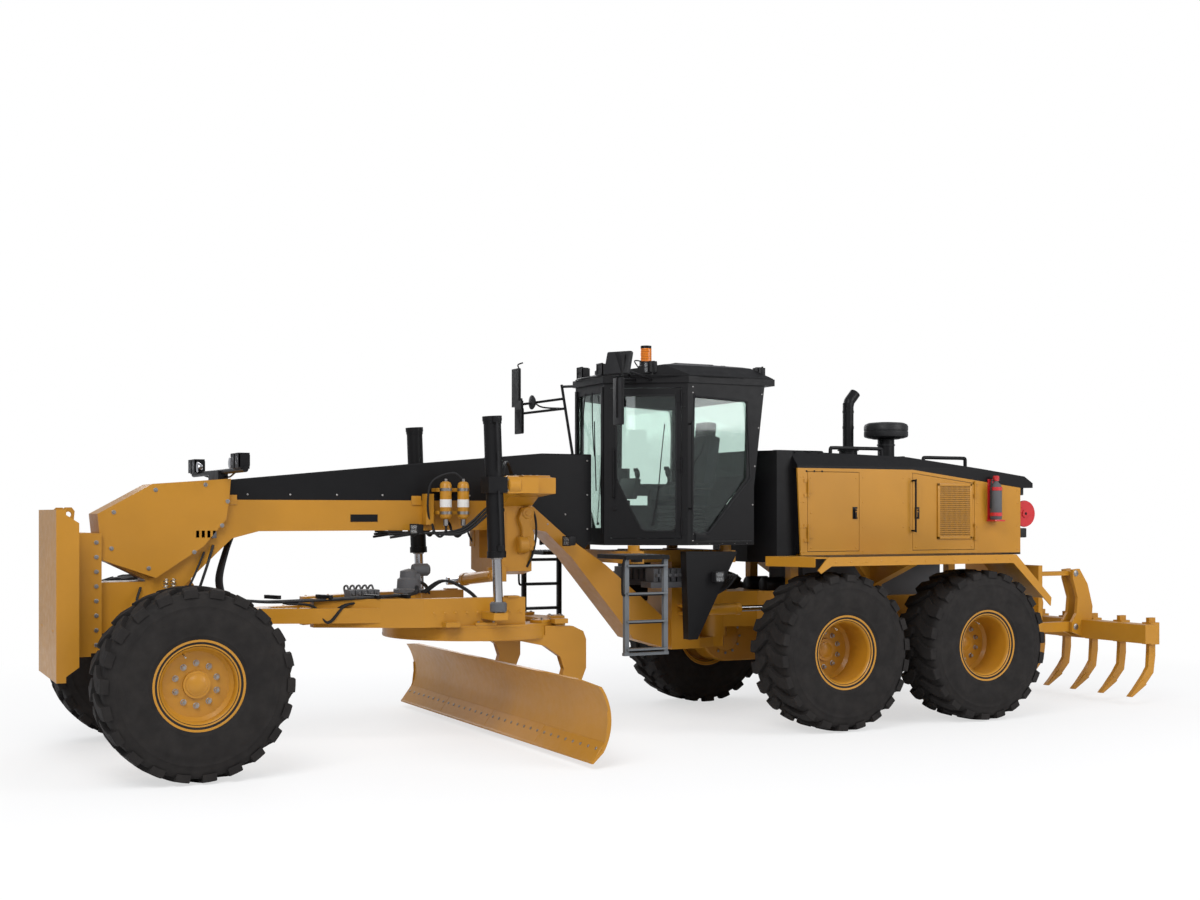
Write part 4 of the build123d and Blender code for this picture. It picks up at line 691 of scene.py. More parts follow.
@dataclass
class Studio:
    """Floor, lights and the camera at the photograph's view."""
    eye: Point = (7.714, 13.997, 2.208)
    heading: float = 27.062
    lens: float = 45.125
    rise: float = 0.0530

    def build(self) -> None:
        """Makes the stage; nothing of it belongs to the machine."""
        scene = bpy.context.scene
        scene.view_settings.view_transform = "Standard"
        data = bpy.data.cameras.new("photo_view")
        data.lens, data.sensor_width, data.shift_y = self.lens, 36.0, self.rise
        data.clip_start, data.clip_end = 0.1, 200.0
        camera = bpy.data.objects.new("photo_view", data)
        camera.location = self.eye
        yaw = math.radians(self.heading)
        look = Vector((-math.sin(yaw), -math.cos(yaw), 0.0))
        camera.rotation_euler = look.to_track_quat("-Z", "Y").to_euler()
        scene.collection.objects.link(camera)
        scene.camera = camera
        self._world(scene)
        self._floor(scene)
        for name, place, aim, power, size in (
                ("key", (9.0, 9.0, 11.0), (0, 0, 1.0), 1350.0, 8.0),
                ("side", (-8.0, 10.0, 7.0), (-1, 0, 1.5), 750.0, 7.0),
                ("back", (0.0, -12.0, 8.0), (0, 0, 1.5), 650.0, 8.0)):
            light = bpy.data.lights.new(name, "AREA")
            light.energy, light.size = power, size
            lamp = bpy.data.objects.new(name, light)
            lamp.location = place
            lamp.rotation_euler = (Vector(aim) - Vector(place)).to_track_quat("-Z", "Y").to_euler()
            scene.collection.objects.link(lamp)

    def _world(self, scene: bpy.types.Scene) -> None:
        """Sets a pale sky that the camera, gloss and glass see as white."""
        world = bpy.data.worlds.new("studio")
        world.use_nodes = True
        nodes, links = world.node_tree.nodes, world.node_tree.links
        back = nodes["Background"]
        back.inputs["Color"].default_value = (0.93, 0.95, 1.0, 1.0)
        back.inputs["Strength"].default_value = 0.55
        seen = nodes.new("ShaderNodeBackground")
        seen.inputs["Color"].default_value = (1.0, 1.0, 1.0, 1.0)
        seen.inputs["Strength"].default_value = 1.0
        path = nodes.new("ShaderNodeLightPath")
        either = nodes.new("ShaderNodeMath")
        either.operation = "MAXIMUM"
        links.new(path.outputs["Is Camera Ray"], either.inputs[0])
        links.new(path.outputs["Is Transmission Ray"], either.inputs[1])
        mix = nodes.new("ShaderNodeMixShader")
        links.new(either.outputs["Value"], mix.inputs["Fac"])
        links.new(back.outputs["Background"], mix.inputs[1])
        links.new(seen.outputs["Background"], mix.inputs[2])
        links.new(mix.outputs["Shader"], nodes["World Output"].inputs["Surface"])
        scene.world = world

    def _floor(self, scene: bpy.types.Scene) -> None:
        """Lays a plain pale floor that keeps the machine's shadow."""
        data = bpy.data.meshes.new("floor")
        reach = 60.0
        data.from_pydata([(-reach, -reach, 0), (reach, -reach, 0), (reach, reach, 0), (-reach, reach, 0)], [],
                         [(0, 1, 2, 3)])
        floor = bpy.data.objects.new("floor", data)
        book = NodeBook("studio_floor")
        book.shader.inputs["Base Color"].default_value = (0.9, 0.9, 0.9, 1.0)
        book.shader.inputs["Roughness"].default_value = 0.85
        glow = book.node("ShaderNodeEmission", Strength=1.0)
        path = book.node("ShaderNodeLightPath")
        add = book.node("ShaderNodeMixShader")
        place = book.node("ShaderNodeTexCoord")
        far = book.node("ShaderNodeVectorMath", operation="LENGTH")
        book.link(place.outputs["Object"], far.inputs[0])
        fade = book.node("ShaderNodeMapRange")
        for key, value in (("From Min", 5.5), ("From Max", 11.0), ("To Min", 0.62), ("To Max", 1.0)):
            fade.inputs[key].default_value = value
        book.link(far.outputs["Value"], fade.inputs["Value"])
        share = book.math("MULTIPLY", path.outputs["Is Camera Ray"], fade.outputs["Result"])
        book.link(share, add.inputs["Fac"])
        book.link(book.shader.outputs["BSDF"], add.inputs[1])
        book.link(glow.outputs["Emission"], add.inputs[2])
        out = next(n for n in book.tree.nodes if n.type == "OUTPUT_MATERIAL")
        book.link(add.outputs["Shader"], out.inputs["Surface"])
        data.materials.append(book.material)
        scene.collection.objects.link(floor)


@dataclass
class Tyre:
    """One tyre with a ribbed sidewall and two staggered rows of angled lugs."""
    crown: float = 0.803
    base: float = 0.762
    half_width: float = 0.2975
    bead: float = 0.3195
    lugs: int = 22
    profile: Sequence[Point] = (
        (0.320, 0.250), (0.350, 0.262), (0.384, 0.266), (0.400, 0.276), (0.412, 0.281), (0.418, 0.280),
        (0.440, 0.287), (0.500, 0.2945), (0.560, 0.2975), (0.600, 0.2972), (0.605, 0.2955), (0.640, 0.2950),
        (0.645, 0.2968), (0.652, 0.2968), (0.657, 0.2935), (0.690, 0.2905), (0.715, 0.2865), (0.735, 0.278),
        (0.750, 0.262), (0.760, 0.236), (0.762, 0.18))
    outline: Sequence[Point] = (
        (0.000, 0.2935), (0.116, 0.2935), (0.120, 0.225), (0.150, 0.150), (0.212, 0.068), (0.206, 0.016),
        (0.138, 0.010), (0.066, 0.098), (0.016, 0.165), (-0.002, 0.225))

    def carcass(self) -> Shaper:
        """Turns the casing about Y, with its middle at the origin."""
        outer = [(y, r) for r, y in self.profile]
        tread = [(y, r) for y, r in ((0.10, self.base + 0.002), (0.0, self.base + 0.003),
                                     (-0.10, self.base + 0.002))]
        inner = [(-0.240, self.bead), (0.240, self.bead)]
        loop = [*inner[::-1][:1], *outer, *tread, *[(-y, r) for y, r in outer[::-1]], *inner[:1]]
        shaper = Shaper()
        part = bmesh.new()
        sides = 96
        rings = [[part.verts.new((r * math.cos(2 * math.pi * k / sides), y,
                                  r * math.sin(2 * math.pi * k / sides)))
                  for k in range(sides)] for y, r in loop]
        for one, two in zip(rings, rings[1:] + rings[:1]):
            for k in range(sides):
                part.faces.new((one[k], one[(k + 1) % sides], two[(k + 1) % sides], two[k]))
        shaper._merge(part)
        return shaper

    def lug(self) -> Shaper:
        """Shapes one lug: a shoulder block that bends into a slanted arm, with drafted walls."""
        part = bmesh.new()
        steps = []
        for (s0, y0), (s1, y1) in zip(self.outline, self.outline[1:] + self.outline[:1]):
            for t in (0.0, 0.5):
                steps.append((s0 + (s1 - s0) * t, y0 + (y1 - y0) * t))
        middle = (sum(s for s, _ in steps) / len(steps), sum(y for _, y in steps) / len(steps))
        levels = []
        for depth, grow in ((0.046, 1.10), (0.006, 1.015), (0.0, 0.965)):
            level = []
            for s, y in steps:
                s2 = middle[0] + (s - middle[0]) * grow
                y2 = middle[1] + (y - middle[1]) * grow
                y2 = min(max(y2, 0.004), self.half_width - 0.001 - 0.004 * (depth == 0.0))
                droop = 0.42 * max(0.0, y2 - 0.10) ** 2
                radius = self.crown - droop - depth - (0.02 if y2 > 0.28 and depth > 0.04 else 0.0)
                angle = s2 / self.crown
                level.append(part.verts.new((radius * math.cos(angle), y2, radius * math.sin(angle))))
            levels.append(level)
        count = len(steps)
        for one, two in zip(levels, levels[1:]):
            for k in range(count):
                part.faces.new((one[k], one[(k + 1) % count], two[(k + 1) % count], two[k]))
        part.faces.new(levels[-1])
        part.faces.new(levels[0])
        bmesh.ops.triangulate(part, faces=[f for f in part.faces if len(f.verts) > 4])
        shaper = Shaper()
        shaper._merge(part)
        return shaper

    def build(self) -> bpy.types.Mesh:
        """Joins casing and lugs into one mesh about the origin and returns it."""
        shaper = self.carcass()
        one = bpy.data.meshes.new("lug")
        lug = self.lug()
        lug.mesh.to_mesh(one)
        lug.mesh.free()
        pitch = 2 * math.pi / self.lugs
        lug_object = bpy.data.objects.new("lug", one)
        for hand in (1, -1):
            data = self._round(lug_object, pitch, hand)
            shaper.mesh.from_mesh(data)
            bpy.data.meshes.remove(data)
        data = bpy.data.meshes.new("tyre_form")
        shaper.mesh.to_mesh(data)
        shaper.mesh.free()
        return data

    def _round(self, lug: bpy.types.Object, pitch: float, hand: int) -> bpy.types.Mesh:
        """Repeats the lug round the axle with Geometry Nodes."""
        tree = bpy.data.node_groups.new("lugs_round_the_axle", "GeometryNodeTree")
        count_id = tree.interface.new_socket("Count", in_out="INPUT", socket_type="NodeSocketInt").identifier
        pitch_id = tree.interface.new_socket("Pitch", in_out="INPUT",
                                             socket_type="NodeSocketFloat").identifier
        start_id = tree.interface.new_socket("Start", in_out="INPUT",
                                             socket_type="NodeSocketFloat").identifier
        lug_id = tree.interface.new_socket("Lug", in_out="INPUT", socket_type="NodeSocketObject").identifier
        finish_id = tree.interface.new_socket("Finish", in_out="INPUT",
                                              socket_type="NodeSocketMaterial").identifier
        tree.interface.new_socket("Geometry", in_out="OUTPUT", socket_type="NodeSocketGeometry")
        nodes, links = tree.nodes, tree.links
        entry, leave = nodes.new("NodeGroupInput"), nodes.new("NodeGroupOutput")
        points, index = nodes.new("GeometryNodePoints"), nodes.new("GeometryNodeInputIndex")
        times = nodes.new("ShaderNodeMath")
        times.operation = "MULTIPLY_ADD"
        angle = nodes.new("ShaderNodeCombineXYZ")
        place, info = nodes.new("GeometryNodeInstanceOnPoints"), nodes.new("GeometryNodeObjectInfo")
        real, paint = nodes.new("GeometryNodeRealizeInstances"), nodes.new("GeometryNodeSetMaterial")
        links.new(entry.outputs["Count"], points.inputs["Count"])
        links.new(points.outputs[0], place.inputs["Points"])
        links.new(entry.outputs["Lug"], info.inputs["Object"])
        links.new(info.outputs["Geometry"], place.inputs["Instance"])
        links.new(index.outputs["Index"], times.inputs[0])
        links.new(entry.outputs["Pitch"], times.inputs[1])
        links.new(entry.outputs["Start"], times.inputs[2])
        links.new(times.outputs["Value"], angle.inputs["Y"])
        links.new(angle.outputs["Vector"], place.inputs["Rotation"])
        links.new(place.outputs["Instances"], real.inputs["Geometry"])
        links.new(real.outputs["Geometry"], paint.inputs["Geometry"])
        links.new(entry.outputs["Finish"], paint.inputs["Material"])
        links.new(paint.outputs["Geometry"], leave.inputs["Geometry"])
        holder = bpy.data.objects.new("lugs", bpy.data.meshes.new("lugs_seed"))
        scene = bpy.context.scene.collection.objects
        scene.link(holder)
        scene.link(lug)
        modifier = holder.modifiers.new("lugs", "NODES")
        modifier.node_group = tree
        for key, value in ((count_id, self.lugs), (pitch_id, pitch),
                           (start_id, 0.0 if hand > 0 else pitch / 2),
                           (lug_id, lug), (finish_id, Finish.TYRE.material())):
            modifier[key] = value
        data = bpy.data.meshes.new_from_object(holder.evaluated_get(bpy.context.evaluated_depsgraph_get()))
        holder.modifiers.clear()
        bpy.data.objects.remove(holder)
        scene.unlink(lug)
        if hand < 0:
            data.transform(Matrix.Diagonal((1, -1, 1, 1)))
            data.flip_normals()
        return data


@dataclass
class RunningGear:
    """Six tyres with nuts, valves and caps on their rims."""
    nuts: int = 10
    nut_circle: float = 0.176

    def build(self, scatter: Scatter) -> None:
        """Makes the tyres and the small parts of the wheels."""
        form = Tyre().build()
        nut = scatter._store("nut_form", Shaper().lathe(
            [(-0.2, 0), (-0.2, 1.45), (0.12, 1.45), (0.2, 1.3), (0.2, 1.0)], (0, 0, 0), (0, 0, 1), 12).lathe(
            [(0.1, 0), (0.1, 1.12), (1.3, 1.12), (1.45, 0.95), (1.45, 0.5), (1.8, 0.5), (1.85, 0.4),
             (1.85, 0)],
            (0, 0, 0), (0, 0, 1), 6))
        for name, (x, hand) in WHEELS.items():
            data = form.copy()
            data.transform(Matrix.Translation((x, hand * WHEEL_Y, WHEEL_Z))
                           @ Matrix.Rotation(0.0 if hand > 0 else math.pi, 4, "Z")
                           @ Matrix.Rotation(math.radians(7.0 + 23.0 * (x < 0) + 11 * hand), 4, "Y"))
            dress(data, f"tyre_dressed_{name}", f"wheel_{name}", Finish.TYRE, 32.0, [f"tyre_{name}"])
            disc = 0.128 if name.startswith("front") else -0.118
            face = (x, hand * (WHEEL_Y + disc), WHEEL_Z)
            scatter.spread(f"nuts_{name}", f"wheel_{name}", Finish.STEEL, 0.0185,
                           ring(face, (0, hand, 0), self.nut_circle, self.nuts, 18.0), nut)
            trim = Shaper()
            rim_y = hand * (WHEEL_Y + 0.262)
            trim.lathe([(0, 0.358), (0.004, 0.368), (0.004, 0.377), (0, 0.3795)], (x, rim_y, WHEEL_Z),
                       (0, hand, 0), 64)
            cap = 0.072 if name.startswith("front") else 0.062
            depth = hand * (WHEEL_Y + disc + 0.026)
            trim.lathe([(0, 0), (0, cap + 0.02), (0.008, cap + 0.018), (0.012, cap), (0.02, cap - 0.01),
                        (0.024, 0)],
                       (x, depth, WHEEL_Z), (0, hand, 0), 40)
            trim.piece(f"hub_cap_{name}", f"wheel_{name}", Finish.YELLOW)
            stem = Shaper()
            angle = math.radians(64)
            spot = Vector((x + 0.29 * math.cos(angle), hand * (WHEEL_Y + 0.205),
                           WHEEL_Z + 0.29 * math.sin(angle)))
            stem.rod(spot, spot + Vector((-0.01, hand * 0.045, -0.02)), 0.006, 10)
            stem.rod(spot + Vector((-0.01, hand * 0.045, -0.02)),
                     spot + Vector((-0.014, hand * 0.062, -0.028)), 0.008, 8)
            stem.piece(f"valve_{name}", f"wheel_{name}", Finish.ZINC)


@dataclass
class Bonnet:
    """Engine cover: fasteners, latches, mesh screens, rear lamps, reel and extinguisher."""
    half: float = 0.750

    def build(self, scatter: Scatter) -> None:
        """Dresses the covers and their doors."""
        for hand, label in ((1, "left"), (-1, "right")):
            self._doors(scatter, hand, label)
            self._panels(scatter, hand, label)
        self._roof(scatter)
        self._rear(scatter)
        self._exhaust()

    def _doors(self, scatter: Scatter, hand: int, label: str) -> None:
        """Adds latches, screens and fasteners to one side's doors."""
        y = hand * self.half
        for which, x0, x1 in (("front", 0.783, 0.113), ("rear", -0.622, -1.496)):
            body = f"hood_door_{label}_{which}"
            latch = Shaper()
            edge = x1 + 0.055 if which == "front" else x0 - 0.055
            latch.box((TANDEM_X + edge - 0.03, y, 2.15),
                      (TANDEM_X + edge + 0.03, y + hand * 0.008, 2.28), 0.006)
            latch.lathe([(0, 0), (0, 0.022), (0.012, 0.020), (0.016, 0.012), (0.022, 0.010), (0.024, 0)],
                        (TANDEM_X + edge, y + hand * 0.006, 2.245), (0, hand, 0), 20)
            latch.box((TANDEM_X + edge - 0.012, y + hand * 0.008, 2.16),
                      (TANDEM_X + edge + 0.012, y + hand * 0.024, 2.225), 0.004)
            latch.piece(f"latch_{label}_{which}", body, Finish.BLACK)
            low, high = 1.84, 2.59 if which == "front" else 2.50
            spots = []
            for z in (low, (low + high) / 2, high):
                spots += [((TANDEM_X + x, y, z), (0, hand, 0)) for x in (x0 - 0.04, x1 + 0.04)
                          if abs(x - edge) > 0.02 or z != (low + high) / 2]
            scatter.spread(f"door_bolts_{label}_{which}", body, Finish.YELLOW, 0.010, spots, scatter.cap)
        frame = Shaper()
        x0, x1, z0, z1 = TANDEM_X - 1.452, TANDEM_X - 0.962, 1.925, 2.545
        for low, high in (((x0, z0), (x1, z0 + 0.028)), ((x0, z1 - 0.028), (x1, z1)),
                          ((x0, z0), (x0 + 0.028, z1)), ((x1 - 0.028, z0), (x1, z1))):
            frame.box((low[0], y, low[1]), (high[0], y + hand * 0.016, high[1]), 0.004)
        frame.piece(f"screen_frame_{label}", f"hood_door_{label}_rear", Finish.YELLOW)
        # Near-black plate right behind the wires: painted shade, standing for the dark inside behind the
        # screen.
        shade_backing = Shaper()
        shade_backing.box((x0 + 0.02, y + hand * 0.001, z0 + 0.02),
                    (x1 - 0.02, y + hand * 0.0105, z1 - 0.02), 0.0)
        shade_backing.piece(f"screen_back_{label}", f"hood_door_{label}_rear", Finish.PLASTIC)
        bar = scatter._store(f"screen_bar_{label}",
                             Shaper().box((-0.0045, -0.5, -0.0015), (0.0045, 0.5, 0.0035), 0.0))
        wires = [((x0 + 0.034 + i * 0.0176, y + hand * 0.0115, (z0 + z1) / 2),
                  (0, hand, 0)) for i in range(25)]
        upright = scatter.spread(f"screen_wires_{label}", f"hood_door_{label}_rear", Finish.YELLOW, 0.575,
                                 wires, scatter._store("wire_form", Shaper().box(
                                     (-0.0062, -0.5, -0.002), (0.0062, 0.5, 0.005), 0.0)))
        LOG.info("screen %s has %d faces", label, len(upright.data.polygons))
        cross = Shaper()
        for i in range(24):
            z = z0 + 0.036 + i * 0.0232
            cross.box((x0 + 0.026, y + hand * 0.0105, z - 0.0035),
                      (x1 - 0.026, y + hand * 0.015, z + 0.0035), 0.0)
        cross.piece(f"screen_cross_{label}", f"hood_door_{label}_rear", Finish.YELLOW)
        bpy.data.objects.remove(bar)

    def _panels(self, scatter: Scatter, hand: int, label: str) -> None:
        """Adds rows of cap screws, trim and a grab rail to the fixed side panels."""
        y = hand * self.half
        spots = []
        for x in (0.875, 0.835, 0.06, -0.49, -0.575, -1.54, -2.13):
            top = 2.60 if x > -0.6 else 2.60 + (x + 0.6) * 0.085
            for z in (1.80, 2.06, 2.33, top):
                spots.append(((TANDEM_X + x, y, z), (0, hand, 0)))
        scatter.spread(f"panel_screws_{label}", "rear_frame", Finish.YELLOW, 0.0095, spots, scatter.cap)
        trim = Shaper()
        trim.box((TANDEM_X - 2.175, y, 1.742), (TANDEM_X + 0.86, y + hand * 0.006, 1.762), 0.003)
        trim.piece(f"lower_trim_{label}", "rear_frame", Finish.BLACK)
        grab = Shaper()
        x = TANDEM_X - 0.612
        grab.tube([(x, y, 2.57), (x, y + hand * 0.06, 2.57), (x, y + hand * 0.062, 2.54),
                   (x, y + hand * 0.062, 2.05),
                   (x, y + hand * 0.06, 2.02), (x, y, 2.02)], 0.011, 10, 4)
        grab.piece(f"grab_rail_{label}", "rear_frame", Finish.BLACK)

    def _roof(self, scatter: Scatter) -> None:
        """Adds screws, seams and access lids to the black top."""
        spots = []
        for hand in (1, -1):
            for x in (0.86, 0.55, 0.2, -0.1, -0.55):
                spots.append(((TANDEM_X + x, hand * 0.62, 2.872 - 0.0275 * (0.915 - x)), (0, 0, 1)))
            for x in (0.80, 0.70, 0.60):
                spots.append(((TANDEM_X + x, hand * 0.752, 2.66), (0, hand, 0)))
        spots += [((TANDEM_X + 1.02, y, 2.88), (0, 0, 1)) for y in (-0.5, -0.2, 0.2, 0.5)]
        scatter.spread("top_screws", "rear_frame", Finish.BLACK, 0.011, spots, scatter.cap)
        lids = Shaper()
        for x0, x1, z in ((-0.02, 0.62, 2.861), (-1.58, -1.02, 2.745)):
            tilt = Matrix.Rotation(math.radians(-1.6 if x0 > -1 else -7.2), 3, "Y")
            lids.box((TANDEM_X + x0, -0.36, z - 0.004), (TANDEM_X + x1, 0.36, z + 0.012), 0.008, tilt)
        lids.piece("top_lids", "rear_frame", Finish.BLACK)
        rims = Shaper()
        rims.box((TANDEM_X + 0.66, -0.62, 2.874), (TANDEM_X + 0.70, 0.62, 2.886), 0.004)
        rims.box((TANDEM_X - 0.63, -0.60, 2.832), (TANDEM_X - 0.60, 0.60, 2.848), 0.004)
        rims.piece("top_seams", "rear_frame", Finish.BLACK)

    def _rear(self, scatter: Scatter) -> None:
        """Adds lamps, the hose reel, the extinguisher and the tail screen."""
        x = TANDEM_X - 2.18
        for hand, label in ((1, "left"), (-1, "right")):
            y = hand * 0.62
            lamp = Shaper()
            lamp.box((x - 0.10, y - 0.075, 2.42), (x - 0.02, y + 0.075, 2.55), 0.014)
            lamp.box((x - 0.03, y - 0.02, 2.45), (x + 0.004, y + 0.02, 2.52), 0.004)
            lamp.box((x - 0.16, y - 0.06, 1.93), (x - 0.06, y + 0.06, 2.04), 0.012)
            lamp.box((x - 0.07, y - 0.015, 1.96), (x + 0.004, y + 0.015, 2.01), 0.003)
            lamp.piece(f"tail_lamp_body_{label}", "rear_frame", Finish.PLASTIC)
            lens = Shaper()
            lens.box((x - 0.106, y - 0.06, 2.435), (x - 0.098, y + 0.06, 2.535), 0.004)
            lens.piece(f"tail_lamp_lens_{label}", "rear_frame", Finish.LENS)
            red = Shaper()
            red.box((x - 0.168, y - 0.048, 1.942), (x - 0.158, y + 0.048, 2.028), 0.004)
            red.piece(f"tail_lamp_red_{label}", "rear_frame", Finish.REDLENS)
        reel = Shaper()
        rx, ry, rz = TANDEM_X - 2.32, 0.60, 2.207
        reel.lathe([(-0.075, 0), (-0.075, 0.15), (-0.062, 0.155), (-0.055, 0.15), (-0.055, 0.118),
                    (0.055, 0.118),
                    (0.055, 0.15), (0.062, 0.155), (0.075, 0.15), (0.075, 0.05), (0.088, 0.045), (0.09, 0)],
                   (rx, ry, rz), (0, 1, 0), 40)
        reel.piece("reel_drum", "rear_frame", Finish.RED)
        coil = Shaper()
        for k in range(7):
            ring_y = ry - 0.046 + k * 0.0153
            coil.lathe([(-0.008, 0.118), (-0.006, 0.130), (0.0, 0.134), (0.006, 0.130), (0.008, 0.118)],
                       (rx, ring_y, rz), (0, 1, 0), 32)
        coil.piece("reel_hose", "rear_frame", Finish.HOSE)
        stand = Shaper()
        stand.box((rx - 0.03, ry - 0.10, rz - 0.20), (x + 0.004, ry - 0.085, rz + 0.12), 0.004)
        stand.rod((rx, ry - 0.10, rz), (rx, ry + 0.092, rz), 0.018, 16)
        stand.piece("reel_stand", "rear_frame", Finish.BLACK)
        bottle = Shaper()
        bx, by = TANDEM_X - 1.75, 0.822
        bottle.lathe([(0, 0), (0.0, 0.058), (0.012, 0.066), (0.36, 0.066), (0.40, 0.052), (0.425, 0.026),
                      (0.44, 0.024),
                      (0.44, 0)], (bx, by, 2.14), (0, 0, 1), 32)
        bottle.piece("extinguisher", "rear_frame", Finish.CASTING)
        holder = Shaper()
        holder.box((bx - 0.062, self.half - 0.002, 2.12), (bx + 0.062, by - 0.060, 2.60), 0.004)
        holder.box((bx - 0.075, self.half - 0.002, 2.12), (bx + 0.075, by + 0.070, 2.139), 0.006)
        for z in (2.20, 2.49):
            holder.lathe([(-0.02, 0.0665), (-0.02, 0.0705), (0.02, 0.0705), (0.02, 0.0665)], (bx, by, z),
                         (0, 0, 1), 32)
        holder.lathe([(0, 0), (0, 0.030), (0.012, 0.036), (0.05, 0.036), (0.06, 0.028), (0.06, 0)],
                     (bx, by, 2.578), (0, 0, 1), 24)
        holder.piece("extinguisher_holder", "rear_frame", Finish.RED)
        head = Shaper()
        head.rod((bx, by, 2.578), (bx, by, 2.61), 0.020, 14)
        head.box((bx - 0.055, by - 0.012, 2.60), (bx + 0.03, by + 0.012, 2.612), 0.003)
        head.box((bx - 0.06, by - 0.012, 2.578), (bx + 0.0, by + 0.012, 2.588), 0.003)
        head.tube([(bx + 0.02, by, 2.59), (bx + 0.075, by + 0.01, 2.57), (bx + 0.085, by + 0.01, 2.42),
                   (bx + 0.08, by, 2.27)],
                  0.009, 8)
        head.piece("extinguisher_head", "rear_frame", Finish.PLASTIC)
        slats = scatter._store("tail_slat", Shaper().box((-0.004, -0.5, -0.011), (0.022, 0.5, -0.005),
                                                         0.0015))
        scatter.spread("tail_slats", "rear_frame", Finish.BLACK, 1.15,
                       [((x + 0.012, 0.0, 1.90 + i * 0.036), (0, 0, 1)) for i in range(15)], slats)
        trims = Shaper()
        for hand in (1, -1):
            trims.box((x - 0.012, hand * 0.63 - 0.02, 1.76), (x, hand * 0.63 + 0.02, 2.42), 0.004)
        trims.piece("tail_trims", "rear_frame", Finish.BLACK)

    def _exhaust(self) -> None:
        """Adds clamp bands, the precleaner's grooved rim and the top rails."""
        x, y = TANDEM_X - 0.4, -0.14
        bands = Shaper()
        for z in (2.97, 3.20, 3.38):
            bands.lathe([(-0.014, 0.060), (-0.014, 0.066), (0.014, 0.066), (0.014, 0.060)], (x, y, z),
                        (0, 0, 1), 36)
        bands.lathe([(0, 0.10), (0.0, 0.122), (0.012, 0.122), (0.02, 0.09), (0.05, 0.075), (0.05, 0.06)],
                    (x, y, 2.93), (0, 0, 1), 36)
        bands.piece("exhaust_bands", "rear_frame", Finish.BLACK)
        px, py = TANDEM_X - 0.74, 0.12
        bowl = Shaper()
        bowl.lathe([(0, 0), (0, 0.20), (0.014, 0.243), (0.03, 0.2505), (0.075, 0.2505), (0.079, 0.246),
                    (0.085, 0.246), (0.089, 0.2505),
                    (0.135, 0.2505), (0.158, 0.240), (0.176, 0.20), (0.184, 0.10), (0.184, 0)],
                    (px, py, 3.070), (0, 0, 1), 56)
        bowl.lathe([(0.0, 0.094), (0.0, 0.103), (0.016, 0.103), (0.016, 0.094)], (px, py, 2.985), (0, 0, 1),
                   40)
        bowl.piece("precleaner_rim", "rear_frame", Finish.PLASTIC)
        rails = Shaper()
        for hand in (1, -1):
            for x0, x1, z0, z1 in ((-0.335, 0.354, 2.835, 2.925), (-1.525, -0.921, 2.730, 2.840)):
                run = [(x0, z0 - 0.09), (x0, z1 - 0.035), (x0 + 0.006, z1 - 0.010), (x0 + 0.035, z1),
                       ((x0 + x1) / 2, z1), (x1 - 0.035, z1),
                       (x1 - 0.006, z1 - 0.010), (x1, z1 - 0.035), (x1, z0 - 0.05)]
                rails.tube([(TANDEM_X + x, hand * 0.56, z) for x, z in run], 0.0205, 12)
        rails.piece("top_rails", "rear_frame", Finish.BLACK)


